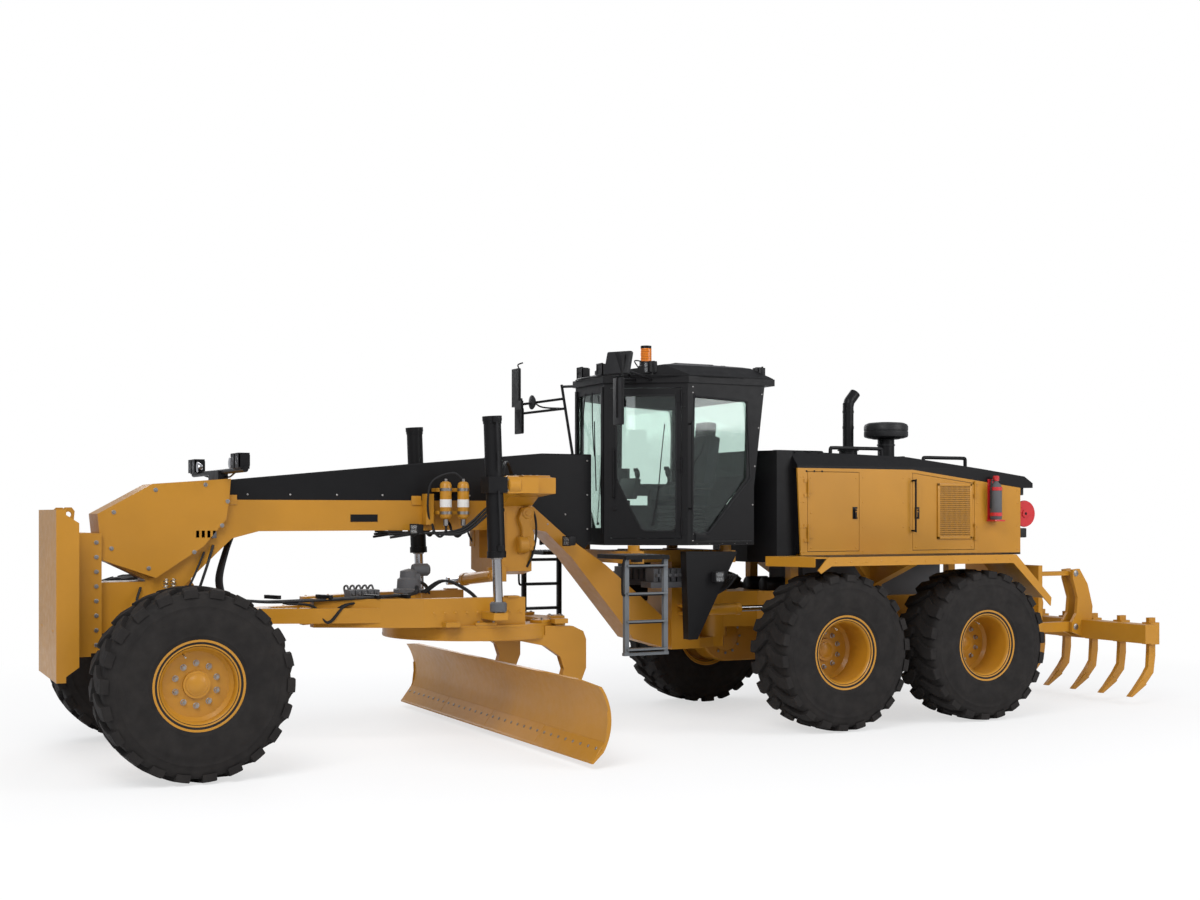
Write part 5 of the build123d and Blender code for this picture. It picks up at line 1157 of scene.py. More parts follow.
@dataclass
class Cab:
    """Doors with glass, seals, wipers, lamps, mirrors, beacon and the operator's place."""
    pillar: Point = (HITCH_X + 0.760, 0.800)
    nose: Point = (HITCH_X + 1.475, 0.330)
    seat_x: float = HITCH_X + 0.38
    light: Sequence[Point] = field(default_factory=lambda: [
        (0.120, 2.030), (0.470, 2.030), (0.731, 2.560), (0.731, 3.410), (0.120, 3.410)])

    def spot(self, hand: int, along: float, out: float, z: float) -> Vector:
        """Point on a slanted door side.

        Args:
            hand: 1 for the left side, -1 for the right.
            along: distance from the B pillar towards the nose.
            out: distance outward from the door's face.
            z: height.

        Returns:
            The point in the model's frame.
        """
        run = Vector((self.nose[0] - self.pillar[0], hand * (self.nose[1] - self.pillar[1]), 0)).normalized()
        away = Vector((-run.y * hand, run.x * hand, 0))
        base = Vector((self.pillar[0], hand * self.pillar[1], 0))
        return base + run * along + away * out + Vector((0, 0, z))

    def build(self, scatter: Scatter) -> None:
        """Makes the cab's pieces."""
        for hand, label in ((1, "left"), (-1, "right")):
            self._door(hand, label)
            self._side_glass(hand, label)
        self._lamps()
        self._mirrors()
        self._beacon()
        self._interior()
        self._shell(scatter)

    @staticmethod
    def _rounded(outline: Sequence[Point], radius: float, steps: int = 5) -> list[tuple[float, float]]:
        """Rounds the corners of a flat outline."""
        found = []
        count = len(outline)
        for i in range(count):
            before, here, after = (Vector(outline[(i + k) % count]) for k in (-1, 0, 1))
            one = here + (before - here).normalized() * radius
            two = here + (after - here).normalized() * radius
            for k in range(steps + 1):
                t = k / steps
                point = one.lerp(here, t).lerp(here.lerp(two, t), t)
                found.append((point.x, point.y))
        return found

    def _door(self, hand: int, label: str) -> None:
        """Builds a door: outer frame, inner lip, seal, pane, hinges and handle."""
        outer = [(0.065, 1.960), (0.7956, 1.960), (0.7956, 3.485), (0.065, 3.485)]
        inner = self._rounded(self.light, 0.055)
        body = f"cab_door_{label}"
        self._frame_with_hole(outer, inner, hand, -0.036,
                              0.0).piece(f"door_frame_{label}", body, Finish.BLACK, 30.0,
                                                                    [f"cab_door_{label}"])
        pane = Shaper()
        pane.plate([self.spot(hand, a, -0.012, z) for a, z in inner],
                   self.spot(hand, 0, -0.018, 0) - self.spot(hand, 0, -0.012, 0), 0.0)
        pane.piece(f"door_glass_{label}", body, Finish.GLASS)
        seal = Shaper()
        loop = self._rounded(self.light, 0.055, 3)
        seal.tube([self.spot(hand, a, 0.0, z) for a, z in loop + loop[:2]], 0.008, 6, 2)
        seal.piece(f"door_seal_{label}", body, Finish.HOSE)
        fittings = Shaper()
        for z in (2.08, 2.70, 3.38):
            fittings.rod(self.spot(hand, 0.065, 0.014, z - 0.048), self.spot(hand, 0.065, 0.014, z + 0.048),
                         0.0115, 14)
            fittings.plate([self.spot(hand, 0.065, 0.0, z - 0.046), self.spot(hand, 0.122, 0.0, z - 0.046),
                            self.spot(hand, 0.122, 0.0, z + 0.046), self.spot(hand, 0.065, 0.0, z + 0.046)],
                           self.spot(hand, 0, 0.007, 0) - self.spot(hand, 0, 0.0, 0), 0.002)
        fittings.tube([self.spot(hand, 0.755, 0.0, 2.38), self.spot(hand, 0.757, 0.045, 2.38),
                       self.spot(hand, 0.757, 0.05, 2.42),
                       self.spot(hand, 0.757, 0.05, 2.82), self.spot(hand, 0.757, 0.045, 2.86),
                       self.spot(hand, 0.755, 0.0, 2.86)],
                      0.010, 8, 3)
        fittings.rod(self.spot(hand, 0.75, 0.0, 2.26), self.spot(hand, 0.75, 0.022, 2.26), 0.02, 18)
        fittings.piece(f"door_fittings_{label}", body, Finish.BLACK)
        wiper = Shaper()
        wiper.rod(self.spot(hand, 0.36, -0.004, 2.10), self.spot(hand, 0.36, 0.02, 2.10), 0.016, 14)
        wiper.tube([self.spot(hand, 0.36, 0.018, 2.10), self.spot(hand, 0.30, 0.022, 2.45),
                    self.spot(hand, 0.27, 0.018, 2.78)], 0.006, 6)
        wiper.tube([self.spot(hand, 0.30, 0.010, 2.42), self.spot(hand, 0.27, 0.011, 2.78),
                    self.spot(hand, 0.235, 0.010, 3.12)], 0.005, 6)
        wiper.piece(f"door_wiper_{label}", body, Finish.PLASTIC)

    @staticmethod
    def _reach(way: float, low: float, high: float) -> float:
        """Says how often a way fits between the middle and the side it heads for."""
        if abs(way) <= 1e-9:
            return 1e9
        return (high if way > 0 else low) / way

    def _frame_with_hole(self, outer: Sequence[Point], inner: Sequence[Point], hand: int, low: float,
                         high: float) -> Shaper:
        """Makes a plate with a rounded window between two depths of a door side."""
        shaper = Shaper()
        part = bmesh.new()
        count = len(inner)
        middle = (sum(a for a, _ in inner) / count, sum(z for _, z in inner) / count)
        ring_out = []
        a0, a1 = min(p[0] for p in outer), max(p[0] for p in outer)
        z0, z1 = min(p[1] for p in outer), max(p[1] for p in outer)
        for a, z in inner:
            way_a, way_z = a - middle[0], z - middle[1]
            reach = min(self._reach(way_a, a0 - middle[0], a1 - middle[0]),
                        self._reach(way_z, z0 - middle[1], z1 - middle[1]))
            ring_out.append((middle[0] + way_a * reach, middle[1] + way_z * reach))
        for corner in outer:
            gaps = [(a - corner[0]) ** 2 + (z - corner[1]) ** 2 for a, z in ring_out]
            nearest = min(range(count), key=gaps.__getitem__)
            ring_out[nearest] = tuple(corner)
        levels = []
        for ring_points in (ring_out, inner):
            for depth in (high, low):
                levels.append([part.verts.new(self.spot(hand, a, depth, z)) for a, z in ring_points])
        out_high, out_low, in_high, in_low = levels
        for one, two in ((out_high, in_high), (in_high, in_low), (in_low, out_low), (out_low, out_high)):
            for k in range(count):
                part.faces.new((one[k], one[(k + 1) % count], two[(k + 1) % count], two[k]))
        shaper._merge(part)
        return shaper

    def _side_glass(self, hand: int, label: str) -> None:
        """Adds the seal, the grab rail and the sill of the rear side window."""
        outline = [(1.583, 3.371), (2.216, 3.404), (2.237, 2.005), (2.057, 2.004), (1.539, 2.576)]
        loop = self._rounded([(x - 2.320, z) for x, z in outline], 0.06, 3)
        seal = Shaper()
        y = hand * 0.8005
        seal.tube([(x, y, z) for x, z in loop + loop[:2]], 0.009, 6, 2)
        seal.piece(f"side_window_seal_{label}", "front_frame", Finish.HOSE)
        rail = Shaper()
        x = HITCH_X + 0.735
        rail.tube([(x, y, 3.12), (x + 0.004, y + hand * 0.05, 3.12), (x + 0.005, y + hand * 0.055, 3.08),
                   (x + 0.005, y + hand * 0.055, 2.30),
                   (x + 0.004, y + hand * 0.05, 2.26), (x, y, 2.26)], 0.011, 8, 3)
        rail.box((x - 0.19, y, 1.94), (x - 0.06, y + hand * 0.012, 2.0), 0.004)
        rail.piece(f"side_rail_{label}", "front_frame", Finish.BLACK)

    def _lamps(self) -> None:
        """Puts housings, lenses and brackets on the roof."""
        places = [(HITCH_X + 1.44, 0.23, 3.69, 0), (HITCH_X + 1.44, -0.23, 3.69, 0),
                  (HITCH_X + 1.06, 0.56, 3.70, 35),
                  (HITCH_X + 1.06, -0.56, 3.70, -35), (HITCH_X - 0.20, 0.64, 3.69, 150),
                  (HITCH_X - 0.20, -0.64, 3.69, -150)]
        body, lens, feet = Shaper(), Shaper(), Shaper()
        for x, y, z, turn in places:
            self.work_lamp(body, lens, (x, y, z), turn, 0.062)
            feet.box((x - 0.02, y - 0.03, z - 0.10), (x + 0.02, y + 0.03, z - 0.055), 0.003)
        body.piece("roof_lamp_bodies", "front_frame", Finish.PLASTIC)
        lens.piece("roof_lamp_lenses", "front_frame", Finish.LENS)
        feet.piece("roof_lamp_feet", "front_frame", Finish.BLACK)

    @staticmethod
    def work_lamp(body: Shaper, lens: Shaper, place: Point, turn: float, half: float) -> None:
        """Adds one square work lamp that looks along its turn about Z.

        Args:
            body: collects the housing, rim and fins.
            lens: collects the lens.
            place: middle of the lamp.
            turn: heading in degrees from +X.
            half: half the lamp's height.
        """
        spin = Matrix.Rotation(math.radians(turn), 3, "Z")
        aim = spin @ Vector((1, 0, 0))
        middle = Vector(place)

        def block(depth0: float, depth1: float, side: float, tall: float, bevel: float,
                  target: Shaper) -> None:
            """Adds a block of the lamp between two depths."""
            centre = middle + aim * (depth0 + depth1) / 2
            size = Vector(((depth1 - depth0) / 2, side, tall))
            target.box(centre - size, centre + size, bevel, spin)

        block(-0.045, 0.030, half * 0.92, half * 0.92, 0.012, body)
        for k in range(4):
            block(-0.062, -0.044, half * 0.07, half * 0.8, 0.002, body)
            body_shift = (k - 1.5) * half * 0.42
            centre = middle + aim * -0.053 + (spin @ Vector((0, 1, 0))) * body_shift
            body.box(centre - Vector((0.010, 0.004, half * 0.8)), centre + Vector((0.010, 0.004, half * 0.8)),
                     0.002, spin)
        rim = half
        for dy, dz, sy, sz in ((0, rim * 0.9, rim, rim * 0.1), (0, -rim * 0.9, rim, rim * 0.1),
                               (rim * 0.9, 0, rim * 0.1, rim), (-rim * 0.9, 0, rim * 0.1, rim)):
            centre = middle + aim * 0.034 + (spin @ Vector((0, dy, 0))) + Vector((0, 0, dz))
            body.box(centre - Vector((0.010, sy, sz)), centre + Vector((0.010, sy, sz)), 0.003, spin)
        block(0.030, 0.038, half * 0.82, half * 0.82, 0.002, lens)
        centre = middle + aim * 0.0385
        body.box(centre - Vector((0.0015, half * 0.82, 0.003)), centre + Vector((0.0015, half * 0.82, 0.003)),
                 0.0, spin)

    def _mirrors(self) -> None:
        """Dresses the mirror arms with moulded shells and mirror glass."""
        shells, glass, arms = Shaper(), Shaper(), Shaper()
        for low, high in (((HITCH_X + 1.78, -1.24, 3.38), (HITCH_X + 1.815, -1.06, 3.80)),
                                ((HITCH_X + 1.78, -1.16, 3.08), (HITCH_X + 1.815, -0.98, 3.36)),
                                ((HITCH_X + 1.595, 0.82, 3.08), (HITCH_X + 1.63, 1.00, 3.545))):
            shells.box(low, high, 0.016)
            glass.box((low[0] - 0.003, low[1] + 0.014, low[2] + 0.016),
                      (low[0] + 0.004, high[1] - 0.014, high[2] - 0.016), 0.0)
        tilt = Matrix.Rotation(math.radians(32), 3, "Z") @ Matrix.Rotation(math.radians(-18), 3, "Y")
        shells.box((HITCH_X + 1.60, 0.79, 3.565), (HITCH_X + 1.648, 1.07, 3.805), 0.022, tilt)
        arms.tube([(HITCH_X + 1.30, 0.56, 3.60), (HITCH_X + 1.42, 0.70, 3.66), (HITCH_X + 1.60, 0.90, 3.66)],
                  0.011, 8)
        arms.tube([(HITCH_X + 1.63, 0.91, 3.57), (HITCH_X + 1.635, 0.91, 3.40),
                   (HITCH_X + 1.635, 0.91, 3.15)], 0.008, 8)
        shells.lathe([(0, 0), (0.0, 0.055), (0.02, 0.078), (0.03, 0.078), (0.034, 0.06), (0.036, 0)],
                     (HITCH_X + 1.70, -0.90, 3.417), (1, 0, 0), 28)
        arms.tube([(HITCH_X + 1.53, -0.48, 3.33), (HITCH_X + 1.64, -0.80, 3.36),
                   (HITCH_X + 1.70, -0.90, 3.417)], 0.009, 8)
        arms.tube([(HITCH_X + 1.79, -1.10, 3.80), (HITCH_X + 1.80, -1.10, 3.84),
                   (HITCH_X + 1.76, -1.06, 3.86)], 0.008, 8)
        for z in (3.45, 3.31):
            arms.rod((HITCH_X + 1.79, -1.06, z - 0.02), (HITCH_X + 1.79, -1.06, z + 0.02), 0.024, 16)
        shells.piece("mirror_shells", "front_frame", Finish.PLASTIC)
        glass.piece("mirror_panes", "front_frame", Finish.MIRROR)
        arms.piece("mirror_arms", "front_frame", Finish.BLACK)

    def _beacon(self) -> None:
        """Puts a ribbed amber dome on its dark foot."""
        x = HITCH_X + 0.805
        foot = Shaper()
        foot.lathe([(0, 0), (0, 0.085), (0.018, 0.085), (0.03, 0.072), (0.062, 0.070), (0.066, 0)],
                   (x, 0, 3.752), (0, 0, 1), 32)
        foot.lathe([(0, 0), (0, 0.036), (0.10, 0.03), (0.10, 0)], (x, 0, 3.815), (0, 0, 1), 20)
        foot.piece("beacon_foot", "front_frame", Finish.PLASTIC)
        dome = Shaper()
        profile = [(0, 0), (0.0, 0.0595)]
        for k in range(8):
            profile += [(0.006 + k * 0.018, 0.0605), (0.015 + k * 0.018, 0.0575)]
        profile += [(0.150, 0.056), (0.162, 0.048), (0.166, 0.034), (0.168, 0)]
        dome.lathe(profile, (x, 0, 3.818), (0, 0, 1), 40)
        dome.piece("beacon_dome", "front_frame", Finish.AMBER)

    def _interior(self) -> None:
        """Builds the seat, consoles, levers and displays in place of the plain block."""
        x, floor = self.seat_x, 1.945
        base = Shaper()
        base.box((x - 0.20, -0.20, floor), (x + 0.20, 0.20, floor + 0.10), 0.02)
        for k in range(6):
            base.box((x - 0.19 + 0.01 * (k % 2), -0.19, floor + 0.10 + k * 0.042),
                     (x + 0.19 - 0.01 * (k % 2), 0.19, floor + 0.138 + k * 0.042), 0.014)
        base.piece("seat_bellows", "front_frame", Finish.TRIM, 38.0, ["cab_interior"])
        cushion = self._pad((x + 0.02, 0, 2.42), (0.50, 0.50, 0.13), 0.0)
        back = self._pad((x - 0.25, 0, 2.76), (0.14, 0.50, 0.60), -9.0)
        head = self._pad((x - 0.31, 0, 3.10), (0.11, 0.28, 0.19), -6.0)
        for name, data, thick in (("seat_cushion", cushion, 0.8), ("seat_back", back, 0.8),
                                  ("head_rest", head, 0.8)):
            made = dress(data, name, "front_frame", Finish.CLOTH, 60.0)
        arms = Shaper()
        for hand in (1, -1):
            y = hand * 0.335
            arms.box((x - 0.13, y - 0.065, 2.47), (x + 0.32, y + 0.065, 2.53), 0.02)
            arms.box((x + 0.10, y - 0.075, 2.40), (x + 0.38, y + 0.075, 2.49), 0.02)
            arms.box((x - 0.10, y - 0.05, 2.28), (x + 0.20, y + 0.05, 2.41), 0.015)
            arms.lathe([(0, 0), (0, 0.05), (0.015, 0.045), (0.04, 0.026), (0.06, 0.015), (0.10, 0.014),
                        (0.11, 0.024), (0.15, 0.030),
                        (0.185, 0.026), (0.20, 0.012), (0.202, 0)], (x + 0.33, y, 2.49), (0.12, 0, 1), 20)
            arms.box((x + 0.345, y - 0.022, 2.66), (x + 0.385, y + 0.022, 2.70), 0.008)
        arms.box((x + 0.62, -0.16, floor), (x + 0.76, 0.16, floor + 0.10), 0.02)
        arms.box((x + 0.64, -0.05, floor + 0.08), (x + 0.72, 0.05, 2.35), 0.015)
        for y in (-0.09, 0.09):
            arms.box((x + 0.50, y - 0.045, floor + 0.03), (x + 0.64, y + 0.045, floor + 0.05), 0.006,
                     Matrix.Rotation(math.radians(-28), 3, "Y"))
        arms.box((x + 0.60, -0.175, 2.36), (x + 0.66, 0.175, 2.58), 0.02,
                 Matrix.Rotation(math.radians(-14), 3, "Y"))
        arms.box((x - 0.10, -0.66, floor), (x + 0.45, -0.46, 2.30), 0.03)
        arms.box((x + 0.42, -0.62, 2.52), (x + 0.47, -0.42, 2.70), 0.014,
                 Matrix.Rotation(math.radians(24), 3, "Z"))
        arms.rod((x + 0.44, -0.52, 2.28), (x + 0.44, -0.52, 2.56), 0.013, 10)
        arms.box((x - 0.38, -0.60, floor), (x - 0.30, 0.60, 2.28), 0.02)
        arms.piece("consoles", "front_frame", Finish.TRIM)
        screen = Shaper()
        screen.box((x + 0.591, -0.15, 2.385), (x + 0.598, 0.15, 2.555), 0.002,
                   Matrix.Rotation(math.radians(-14), 3, "Y"))
        screen.piece("display_glass", "front_frame", Finish.GLASS)
        belt = Shaper()
        belt.tube([(x - 0.17, 0.23, 3.02), (x - 0.13, 0.20, 2.85), (x - 0.02, -0.02, 2.58),
                   (x + 0.04, -0.24, 2.50)], 0.012, 6)
        belt.piece("seat_belt", "front_frame", Finish.HOSE)

    @staticmethod
    def _pad(middle: Point, size: Point, lean: float) -> bpy.types.Mesh:
        """Shapes a crowned cushion with pulled-in sides and sewn channels.

        Args:
            middle: its middle.
            size: its size along x, y and z.
            lean: turn about Y in degrees.

        Returns:
            The cushion's mesh.
        """
        part = bmesh.new()
        bmesh.ops.create_cube(part, size=1.0)
        bmesh.ops.subdivide_edges(part, edges=part.edges[:], cuts=9, use_grid_fill=True)
        turn = Matrix.Rotation(math.radians(lean), 3, "Y")
        for vert in part.verts:
            unit = vert.co * 2
            ball = unit.normalized() * max(abs(unit.x), abs(unit.y), abs(unit.z))
            soft = unit.lerp(ball, 0.24)
            channel = 0.025 * max(0.0, 1 - abs(abs(unit.y) - 0.55) * 9)
            soft *= 1 - channel
            vert.co = turn @ Vector((soft.x * size[0] / 2, soft.y * size[1] / 2,
                                     soft.z * size[2] / 2)) + Vector(middle)
        data = bpy.data.meshes.new("pad")
        bmesh.ops.recalc_face_normals(part, faces=part.faces)
        part.to_mesh(data)
        part.free()
        return data

    def _shell(self, scatter: Scatter) -> None:
        """Adds roof seams, pillar covers, front wipers and sill bolts."""
        shell = Shaper()
        shell.tube([(HITCH_X - 0.27, -0.80, 3.612), (HITCH_X + 0.76, -0.80, 3.612),
                    (HITCH_X + 1.47, -0.33, 3.612),
                    (HITCH_X + 1.47, 0.33, 3.612), (HITCH_X + 0.76, 0.80, 3.612),
                    (HITCH_X - 0.27, 0.80, 3.612)], 0.008, 6, 8)
        for y in (-0.30, 0.05):
            shell.box((HITCH_X + 0.15, y, 3.772), (HITCH_X + 0.62, y + 0.25, 3.792), 0.008)
        shell.box((HITCH_X + 0.06, 0.12, 3.745), (HITCH_X + 0.12, 0.40, 3.775), 0.008)
        shell.tube([(HITCH_X + 0.9, 0.10, 3.74), (HITCH_X + 0.9, 0.11, 3.80), (HITCH_X + 1.05, 0.20, 3.80),
                    (HITCH_X + 1.06, 0.30, 3.72)], 0.007, 6)
        for hand in (1, -1):
            shell.box((HITCH_X + 1.476, hand * 0.30 - 0.02, 2.0), (HITCH_X + 1.490, hand * 0.30 + 0.02, 3.50),
                      0.004)
            shell.tube([(HITCH_X + 1.485, hand * 0.08, 3.46), (HITCH_X + 1.50, hand * 0.12, 3.10),
                        (HITCH_X + 1.50, hand * 0.16, 2.80)], 0.006, 6)
            shell.tube([(HITCH_X + 1.492, hand * 0.145, 3.16), (HITCH_X + 1.494, hand * 0.165, 2.80),
                        (HITCH_X + 1.492, hand * 0.185, 2.44)], 0.006, 6)
            shell.box((HITCH_X - 0.01, hand * 0.792 - 0.012, 1.90),
                      (HITCH_X + 0.73, hand * 0.792 + 0.012, 1.93), 0.004)
        shell.piece("cab_trims", "front_frame", Finish.BLACK)
        spots = []
        for hand in (1, -1):
            for z in (1.93, 2.0, 3.44, 3.50):
                spots.append(((HITCH_X + 0.70, hand * 0.80, z), (0, hand, 0)))
            for k in range(5):
                spots.append(((HITCH_X + 0.05 + k * 0.15, hand * 0.80, 1.905), (0, hand, 0)))
            for z in (2.3, 2.7, 3.1, 3.45):
                spots.append(((HITCH_X - 0.02 - 0.118 * max(0.0, z - 2.484), hand * 0.80, z), (0, hand, 0)))
        scatter.spread("cab_screws", "front_frame", Finish.STEEL, 0.0085, spots, scatter.cap)


@dataclass
class MainFrame:
    """Bolts, hoses, accumulators, valves, lamps and covers of the arched frame and the hitch."""
    half: float = 0.178

    def build(self, scatter: Scatter) -> None:
        """Makes the frame's pieces."""
        self._fasteners(scatter)
        self._accumulators()
        self._hoses()
        self._head_lamps()
        self._hitch(scatter)
        self._steps(scatter)

    def _fasteners(self, scatter: Scatter) -> None:
        """Bolts the nose box, the push plate and the long cover."""
        spots = []
        for hand in (1, -1):
            side = hand * 0.250
            for x, z in ((5.52, 1.90), (5.20, 1.72), (4.80, 1.86), (4.55, 2.10), (4.50, 2.32), (4.70, 2.47),
                         (5.14, 2.42), (5.50, 2.22)):
                spots.append(((x, side, z), (0, hand, 0)))
            for k in range(8):
                spots.append(((5.655 + 0.0, hand * 0.302, 1.06 + k * 0.128), (0, hand, 0)))
                spots.append(((5.90, hand * 0.302, 1.06 + k * 0.128), (0, hand, 0)))
        scatter.spread("nose_bolts", "front_frame", Finish.STEEL, 0.015, spots)
        cover = []
        for hand in (1, -1):
            for x in (1.52, 1.70, 2.10, 2.55, 3.0, 3.45, 3.9, 4.3):
                cover.append(((x, hand * self.half, 2.385), (0, hand, 0)))
            for x, z in ((0.80, 2.05), (0.80, 2.40), (0.80, 2.75), (1.05, 2.20), (1.25, 2.10), (1.25, 2.55)):
                cover.append(((x, hand * self.half, z), (0, hand, 0)))
        scatter.spread("cover_bolts", "front_frame", Finish.STEEL, 0.0095, cover, scatter.cap)
        tabs = Shaper()
        for x in (2.66, 4.45):
            for hand in (1, -1):
                y = hand * self.half
                tabs.box((x - 0.05, y, 2.29), (x + 0.05, y + hand * 0.012, 2.38), 0.004)
        tabs.piece("cover_tabs", "front_frame", Finish.YELLOW)
        plate = Shaper()
        plate.box((3.05, 0.177, 2.13), (3.32, 0.183, 2.20), 0.002)
        plate.piece("name_plate_blank", "front_frame", Finish.BLACK)
        lug = Shaper()
        for hand in (1, -1):
            lug.tube([(5.99, hand * 0.30, 1.20), (6.01, hand * 0.34, 1.20), (6.012, hand * 0.40, 1.20),
                      (5.99, hand * 0.44, 1.20)], 0.02, 10)
        lug.piece("tow_eyes", "front_frame", Finish.YELLOW)

    def _accumulators(self) -> None:
        """Stands the yellow pressure bottles with their bands and hoses beside the frame."""
        bottles, labels, bands, hoses = Shaper(), Shaper(), Shaper(), Shaper()
        profile = [(0, 0), (0, 0.03), (0.008, 0.046), (0.028, 0.056), (0.330, 0.056), (0.352, 0.046),
                   (0.362, 0.028), (0.366, 0)]
        for hand in (1, -1):
            for x in (2.438, 2.257):
                spot = (x, hand * 0.40, 2.155)
                bottles.lathe(profile, spot, (0, 0, 1), 32)
                labels.lathe([(0, 0.0562), (0, 0.0572), (0.075, 0.0572), (0.075, 0.0562)],
                             (x, hand * 0.40, 2.27), (0, 0, 1), 32)
                bands.rod((x, hand * 0.40, 2.09), (x, hand * 0.40, 2.155), 0.024, 16)
                bands.rod((x, hand * 0.40, 2.515), (x, hand * 0.40, 2.545), 0.016, 12)
                for z in (2.215, 2.44):
                    bands.lathe([(-0.014, 0.056), (-0.014, 0.0595), (0.014, 0.0595), (0.014, 0.056)],
                                (x, hand * 0.40, z), (0, 0, 1), 32)
                hoses.tube([(x, hand * 0.40, 2.10), (x, hand * 0.40, 2.04), (x + 0.05, hand * 0.38, 1.985),
                            (x + 0.10, hand * 0.36, 2.03),
                            (x + 0.10, hand * 0.30, 2.10), (x + 0.09, hand * 0.19, 2.14)], 0.013, 8)
            bottles.box((2.19, hand * 0.177, 2.20), (2.50, hand * 0.345, 2.235), 0.004)
            bottles.box((2.19, hand * 0.177, 2.42), (2.50, hand * 0.345, 2.455), 0.004)
            bottles.box((2.52, hand * 0.177, 2.10), (2.60, hand * 0.30, 2.40), 0.006)
            hoses.tube([(2.56, hand * 0.28, 2.12), (2.60, hand * 0.34, 2.32), (2.56, hand * 0.36, 2.52),
                        (2.36, hand * 0.38, 2.60),
                        (2.257, hand * 0.40, 2.535)], 0.011, 8)
        bottles.piece("accumulators", "front_frame", Finish.YELLOW)
        labels.piece("accumulator_labels", "front_frame", Finish.LABEL)
        bands.piece("accumulator_bands", "front_frame", Finish.STEEL)
        hoses.piece("accumulator_hoses", "front_frame", Finish.HOSE)

    def _hoses(self) -> None:
        """Runs hose bundles along the frame, to the axle and round the yoke."""
        runs = Shaper()
        for hand in (1, -1):
            for k in range(3):
                y = hand * (0.195 + 0.028 * k)
                runs.tube([(1.50, y, 2.02 - 0.02 * k), (1.70, y, 2.10),
                           (1.95, hand * (0.43 + 0.02 * k), 2.30 - k * 0.03),
                           (2.30, hand * (0.46 + 0.02 * k), 2.06 - 0.02 * k),
                           (2.62, hand * (0.24 + 0.02 * k), 2.02), (2.95, y, 2.035 - 0.028 * k)], 0.012, 8)
            runs.tube([(4.62, hand * 0.20, 1.92), (4.70, hand * 0.26, 1.70), (4.80, hand * 0.24, 1.42),
                       (4.90, hand * 0.20, 1.30), (4.94, hand * 0.17, 1.25)], 0.013, 8)
            runs.tube([(4.70, hand * 0.20, 1.86), (4.84, hand * 0.24, 1.56), (4.98, hand * 0.22, 1.36),
                       (5.02, hand * 0.17, 1.27)], 0.010, 8)
            runs.tube([(5.26, hand * 0.19, 1.55), (5.30, hand * 0.24, 1.42), (5.22, hand * 0.22, 1.32),
                       (5.16, hand * 0.17, 1.26)], 0.012, 8)
        for k in range(5):
            y = -0.08 + 0.04 * k
            runs.tube([(4.40, y, 2.03), (4.46, y, 1.86), (4.52, y * 1.3, 1.62), (4.50, y * 1.5, 1.45)], 0.012,
                      8)
        runs.piece("frame_hoses", "front_frame", Finish.HOSE)
        coils = Shaper()
        for x, y in ((4.98, 0.215), (5.05, 0.24)):
            line = []
            for i in range(90):
                angle = i * 0.9
                line.append((x + 0.022 * math.cos(angle), y + 0.022 * math.sin(angle), 1.30 + i * 0.0036))
            coils.tube(line, 0.0055, 6, 1)
        coils.piece("guard_springs", "front_frame", Finish.ZINC)
        valves = Shaper()
        for hand in (1, -1):
            for k in range(4):
                valves.box((4.60 + 0.05 * k, hand * 0.17, 1.985), (4.64 + 0.05 * k, hand * 0.25, 2.06), 0.006)
        valves.piece("nose_valves", "front_frame", Finish.CASTING)

    def _head_lamps(self) -> None:
        """Dresses the lamp bar on the nose and the small lamps under the frame."""
        body, lens, rims = Shaper(), Shaper(), Shaper()
        for hand in (1, -1):
            for y in (0.96, 0.80):
                spot = (4.545, hand * y, 2.67)
                Cab.work_lamp(body, lens, spot, 0, 0.060)
                rims.lathe([(0, 0.030), (0.0, 0.034), (0.006, 0.034), (0.006, 0.030)],
                           (4.585, hand * y, 2.67), (1, 0, 0), 24)
            body.rod((4.53, hand * 0.88, 2.58), (4.53, hand * 0.88, 2.62), 0.012, 10)
            rims.lathe([(0, 0), (0.0, 0.02), (0.03, 0.045), (0.05, 0.05), (0.05, 0.046), (0.03, 0)],
                       (4.53, hand * 0.66, 2.655), (1, 0, 0), 24)
            Cab.work_lamp(body, lens, (HITCH_X + 1.86, hand * 0.30, 1.93), 20 * hand, 0.050)
            Cab.work_lamp(body, lens, (2.70, hand * 0.30, 2.06), 30 * hand, 0.050)
            body.box((2.66, hand * 0.17, 2.05), (2.69, hand * 0.28, 2.09), 0.004)
            Cab.work_lamp(body, lens, (HITCH_X + 0.40, hand * 0.795, 1.56), 90 * hand, 0.055)
        body.piece("lamp_bodies", "front_frame", Finish.PLASTIC)
        lens.piece("lamp_lenses", "front_frame", Finish.LENS)
        rims.piece("lamp_rims", "front_frame", Finish.CHROME)
        bar = Shaper()
        for hand in (1, -1):
            bar.tube([(4.53, hand * 0.10, 2.56), (4.50, hand * 0.3, 2.54), (4.52, hand * 0.60, 2.57)], 0.008,
                     8)
            bar.box((4.49, hand * 0.88 - 0.14, 2.595), (4.57, hand * 0.88 + 0.14, 2.607), 0.003)
        bar.piece("lamp_brackets", "front_frame", Finish.BLACK)

